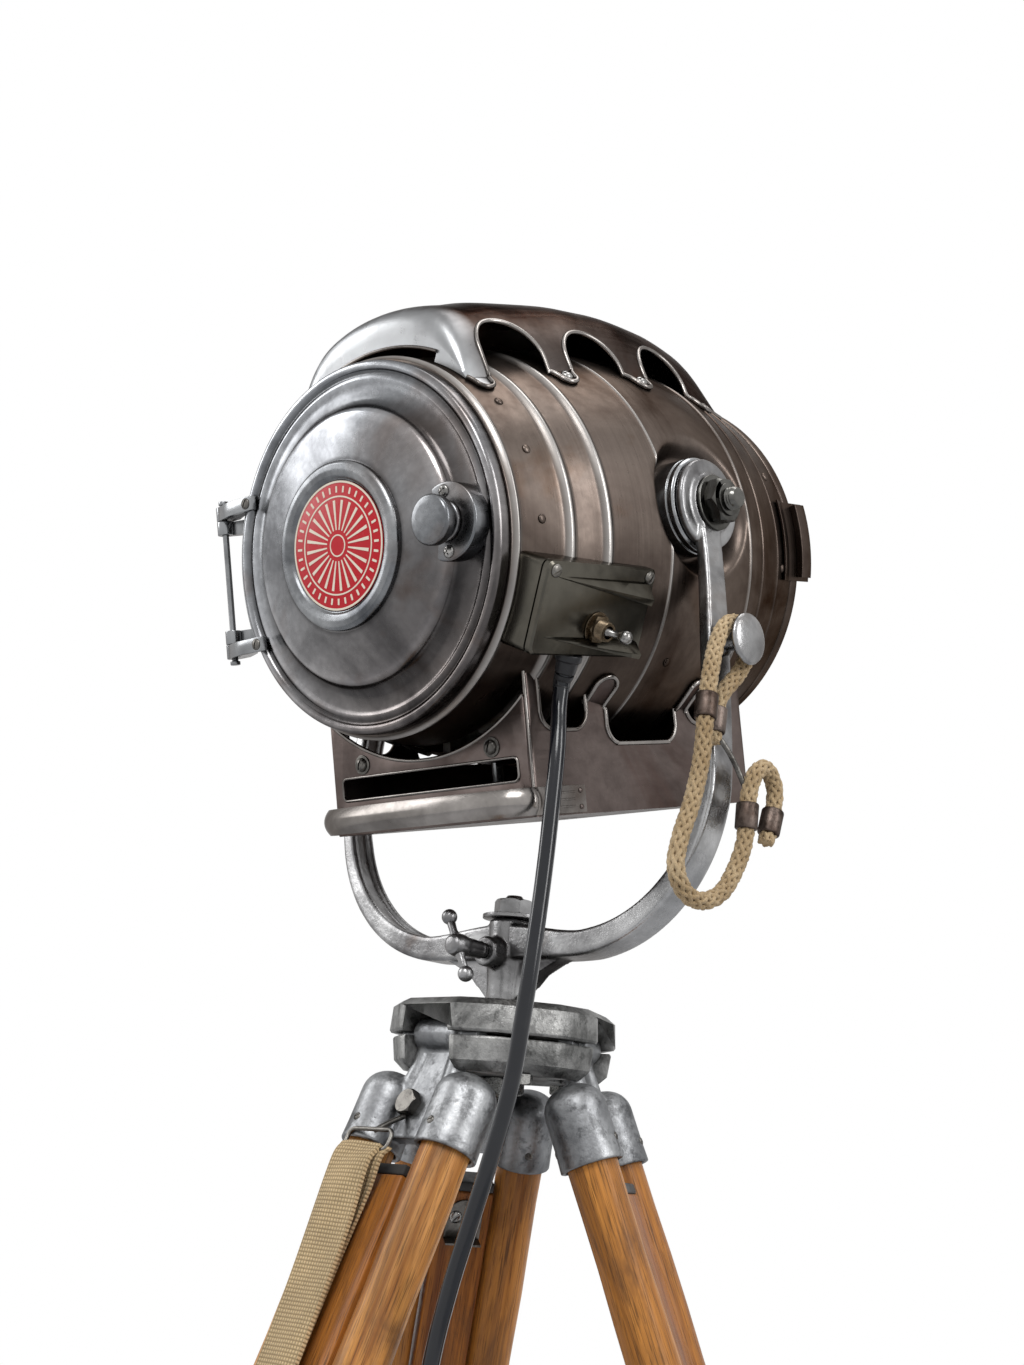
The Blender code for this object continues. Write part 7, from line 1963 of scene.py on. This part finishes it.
def casting():
    """The casting at the head of a leg, about its hinge pin."""
    solids = [tube(0, 0.0094, -0.0185, 0.0185, "Y", 40, 0.001), tube(0, 0.005, -0.0335, 0.0335, "Y", 24)]
    solids.append(loft([[(POLE_X - 0.0045, -w, z), (POLE_X + 0.0045, -w, z), (POLE_X + 0.0045, w, z),
        (POLE_X - 0.0045, w, z)] for z, w in ((0.002, 0.016), (-0.03, 0.0165), (-0.066, 0.015))]))
    solids.append(block((POLE_X - 0.0045, -0.033, -0.064), (POLE_X + 0.0045, 0.033, -0.038)))
    for side in (1, -1):
        y = side * POLE_SPACING / 2
        rib = [(POLE_X + 0.001, side * 0.015, -0.002), (POLE_X + 0.001, side * 0.0158, -0.02),
            (POLE_X + 0.001, side * 0.019, -0.04)]
        solids.append(sweep(smooth_path(rib, 6), circle(0.0062, 16)))
        profile = [(0, FERRULE_TOP)]
        for i in range(1, 8):
            angle = pi / 2 * i / 7
            profile.append((FERRULE_R * sin(angle) ** 0.9, FERRULE_TOP - 0.015 * (1 - cos(angle))))
        profile += [(FERRULE_R, -0.06), (FERRULE_R + 0.0004, FERRULE_BOTTOM),
            (POLE_R + 0.0008, FERRULE_BOTTOM), (POLE_R + 0.0008, -0.032), (0, -0.032)]
        solids.append(shifted(lathe(profile, "Z", 56), x=POLE_X, y=y))
    return wrapped(solids, 0.0011, 2)


LEGS = [leg_place(azimuth) for azimuth in LEG_AZIMUTHS]
for number, LEG in enumerate(LEGS, 1):
    piece(f"leg_casting_{number}", casting(), LEG, "tripod_casting", f"leg_{number}",
        f"leg_bracket_{number}", sharp=60)
    web_face = POLE_X + 0.0045
    places = [((web_face, -0.0065, -0.045), (1, 0, 0), (0, 1, 0.2))]
    repeated(f"leg_bolt_{number}", hex_head(0.0082, 0.0062), places, LEG, "dark_bolts", f"leg_{number}")
    places = []
    for side in (1, -1):
        for out in (1, -1):
            seat = (POLE_X + out * (FERRULE_R - 0.0004), side * POLE_SPACING / 2, -0.06)
            places.append((seat, (out, 0, 0), (0, 1, 0.5)))
    repeated(f"ferrule_screws_{number}", slotted(0.0026, 0.0012), places, LEG, "dark_bolts", f"leg_{number}")

# %% [markdown]
# Poles are turned and never quite even, so their radius wavers a little. Boards and collars are simple
# solids with eased edges, and the feet are cut flat where they bear.

# %% Poles, boards, collars and feet
COLLAR_TOP, COLLAR_HEIGHT, POLE_BOTTOM = -0.745, 0.045, -0.782
for number, LEG in enumerate(LEGS, 1):
    body = f"leg_{number}"
    for name, side in (("near", -1), ("far", 1)):
        line = [(0, -0.0322), (POLE_R - 0.0015, -0.0322), (POLE_R, -0.034)]
        for k in range(1, 24):
            z = -0.034 + (POLE_BOTTOM + 0.036) * k / 24
            swell = 0.00035 * sin(k * 1.7 + number + side)
            line.append((POLE_R - GAP + swell, z))
        line += [(POLE_R, POLE_BOTTOM + 0.002), (POLE_R - 0.0015, POLE_BOTTOM), (0, POLE_BOTTOM)]
        pole = shifted(lathe(line, "Z", 56), x=POLE_X, y=side * POLE_SPACING / 2)
        piece(f"pole_{name}_{number}", pole, LEG, f"pole_wood_{number}", body, f"leg_pole_{name}_{number}",
            sharp=50)
    collar = prism([(POLE_X + a, b) for a, b in rounded(0.0205, 0.054, 0.0185, 8)],
        COLLAR_TOP - COLLAR_HEIGHT, COLLAR_TOP)
    cutters = [block((POLE_X - 0.0104, -0.0174, COLLAR_TOP - 0.06),
        (POLE_X + 0.0104, 0.0174, COLLAR_TOP + 0.01))]
    for side in (1, -1):
        cutters.append(shifted(tube(0, 0.0154, POLE_BOTTOM - 0.0004, COLLAR_TOP + 0.01, "Z", 40), x=POLE_X,
            y=side * POLE_SPACING / 2))
    piece(f"collar_casting_{number}", carved(collar, cutters), LEG, "tripod_casting", body,
        f"leg_collar_{number}", bevel=0.0012)
    shoe_top = -leg_length + 0.058
    board = block((POLE_X - 0.01, -0.017, shoe_top + GAP), (POLE_X + 0.01, 0.017, -0.09))
    piece(f"sliding_board_{number}", board, LEG, f"board_wood_{number}", f"inner_leg_{number}",
        f"inner_leg_{number}", bevel=0.0016)
    low = -leg_length
    shoe = [(0, low - 0.018)]
    shoe += [(0.018 * sin(pi * i / 14), low - 0.018 * cos(pi * i / 14)) for i in range(1, 11)]
    shoe += [(0.0126, low + 0.016), (0.0128, low + 0.022), (0.015, low + 0.03), (0.0155, shoe_top - 0.018),
        (0.0155, shoe_top - 0.001), (0.0145, shoe_top), (0, shoe_top)]
    foot_bm = shifted(lathe(shoe, "Z", 48), x=POLE_X)
    foot_bm.transform(LEG)
    foot_bm = carved(foot_bm, [block((-1, -1, -0.1), (1, 1, 0.0))])
    piece(f"foot_{number}", foot_bm, Matrix(), "foot_rubber", f"inner_leg_{number}", f"leg_foot_{number}",
        sharp=50)

# %% [markdown]
# A clip keeps each board from sliding right through. Two slotted screws hold it, and their slots point
# different ways, as they do in life.

# %% Stop clip and pad on each sliding board
for number, LEG in enumerate(LEGS, 1):
    face = POLE_X - 0.01
    plate = prism([(a, b - 0.106) for a, b in capsule(0.0115, -0.014, 0.0115, 12)], face - 0.0016, face, "X")
    shelf = block((face - 0.01, -0.0115, -0.1215), (face, 0.0115, -0.1199))
    piece(f"board_clip_{number}", merged(plate, shelf), LEG, "dark_bolts", f"inner_leg_{number}",
        bevel=0.0004)
    places = [((face - 0.0015, y, -0.106), (-1, 0, 0), side)
        for y, side in ((-0.0058, (0, 1, 0.3)), (0.0058, (0, 1, -1)))]
    repeated(f"clip_screws_{number}", slotted(0.0042, 0.0022), places, LEG, "silver_screws",
        f"inner_leg_{number}")
    pad = block((POLE_X - 0.0096, -0.0166, -0.0899), (POLE_X + 0.0096, 0.0166, -0.0835))
    piece(f"board_pad_{number}", pad, LEG, "foot_rubber", f"inner_leg_{number}", bevel=0.0012)

# %% [markdown]
# A webbing strap hangs down one leg. It is a flat band with its own UV map, in metres along and across, so
# the weave keeps its real size.

# %% Webbing strap
def strap(route, width, thick, across, steps=10, drift=0.0):
    line = smooth_path(route, 8)
    bm = bmesh.new()
    uv = bm.loops.layers.uv.new("weave")
    rings, run = [], [0.0]
    for i, p in enumerate(line):
        along = heading(line, i)
        out = Vector((-along.z, 0, along.x))
        out = out if out.x > 0 else -out
        if i:
            run.append(run[-1] + (p - line[i - 1]).length)
        ring = []
        for face, k_range in ((thick, range(steps + 1)), (0.0, range(steps, -1, -1))):
            for k in k_range:
                y = -width / 2 + width * k / steps
                sag = 0.0007 * sin(i * 0.55 + k * 0.5) + 0.0008 * (1 - (2 * k / steps - 1) ** 2)
                aside = y + across + drift * i / (len(line) - 1)
                ring.append((bm.verts.new(p + out * (face + sag) + Vector((0, aside, 0))), y))
        rings.append(ring)
    for i, (a, b) in enumerate(zip(rings, rings[1:])):
        for k in range(len(a)):
            j = (k + 1) % len(a)
            face = bm.faces.new((a[k][0], a[j][0], b[j][0], b[k][0]))
            for loop, (along, side) in zip(face.loops, ((run[i], a[k][1]), (run[i], a[j][1]),
                    (run[i + 1], b[j][1]), (run[i + 1], b[k][1]))):
                loop[uv].uv = (along, side)
    for ring in (rings[0], rings[-1]):
        bm.faces.new([v for v, _ in ring])
    return bm


x = POLE_X + 0.0072
route = mm([(13, 0, -78), (16, 0, -98), (10, 0, -158), (8.5, 0, -300), (9.5, 0, -450), (12, 0, -540),
    (17, 0, -560)], x, 0, 0)
STRAP_WIDTH = 0.034
band = piece("webbing_band", strap(route, STRAP_WIDTH, 0.0026, -0.014), LEGS[2], "khaki_webbing", "leg_3",
    "leg_strap", sharp=60)
fold = mm([(11.5, 0, -78.5), (10.5, 0, -90), (5.5, 0, -130), (4, 0, -260)], x, 0, 0)
piece("webbing_fold", strap(fold, 0.026, 0.0022, -0.003, drift=-0.016), LEGS[2], "khaki_webbing", "leg_3",
    sharp=60)
ring = [Vector((x + 0.0128, a - 0.012, b - 0.0745)) for a, b in rounded(0.0195, 0.0062, 0.0045, 6)]
hanger = [Vector((POLE_X + 0.006, -0.0065, -0.053)), Vector((x + 0.006, -0.0085, -0.061)),
    Vector((x + 0.0124, -0.01, -0.069))]
piece("strap_loop", merged(sweep(ring, circle(0.0013, 12), closed=True),
    sweep(smooth_path(hanger, 6), circle(0.0016, 12))), LEGS[2], "dark_bolts", "leg_3", sharp=60)
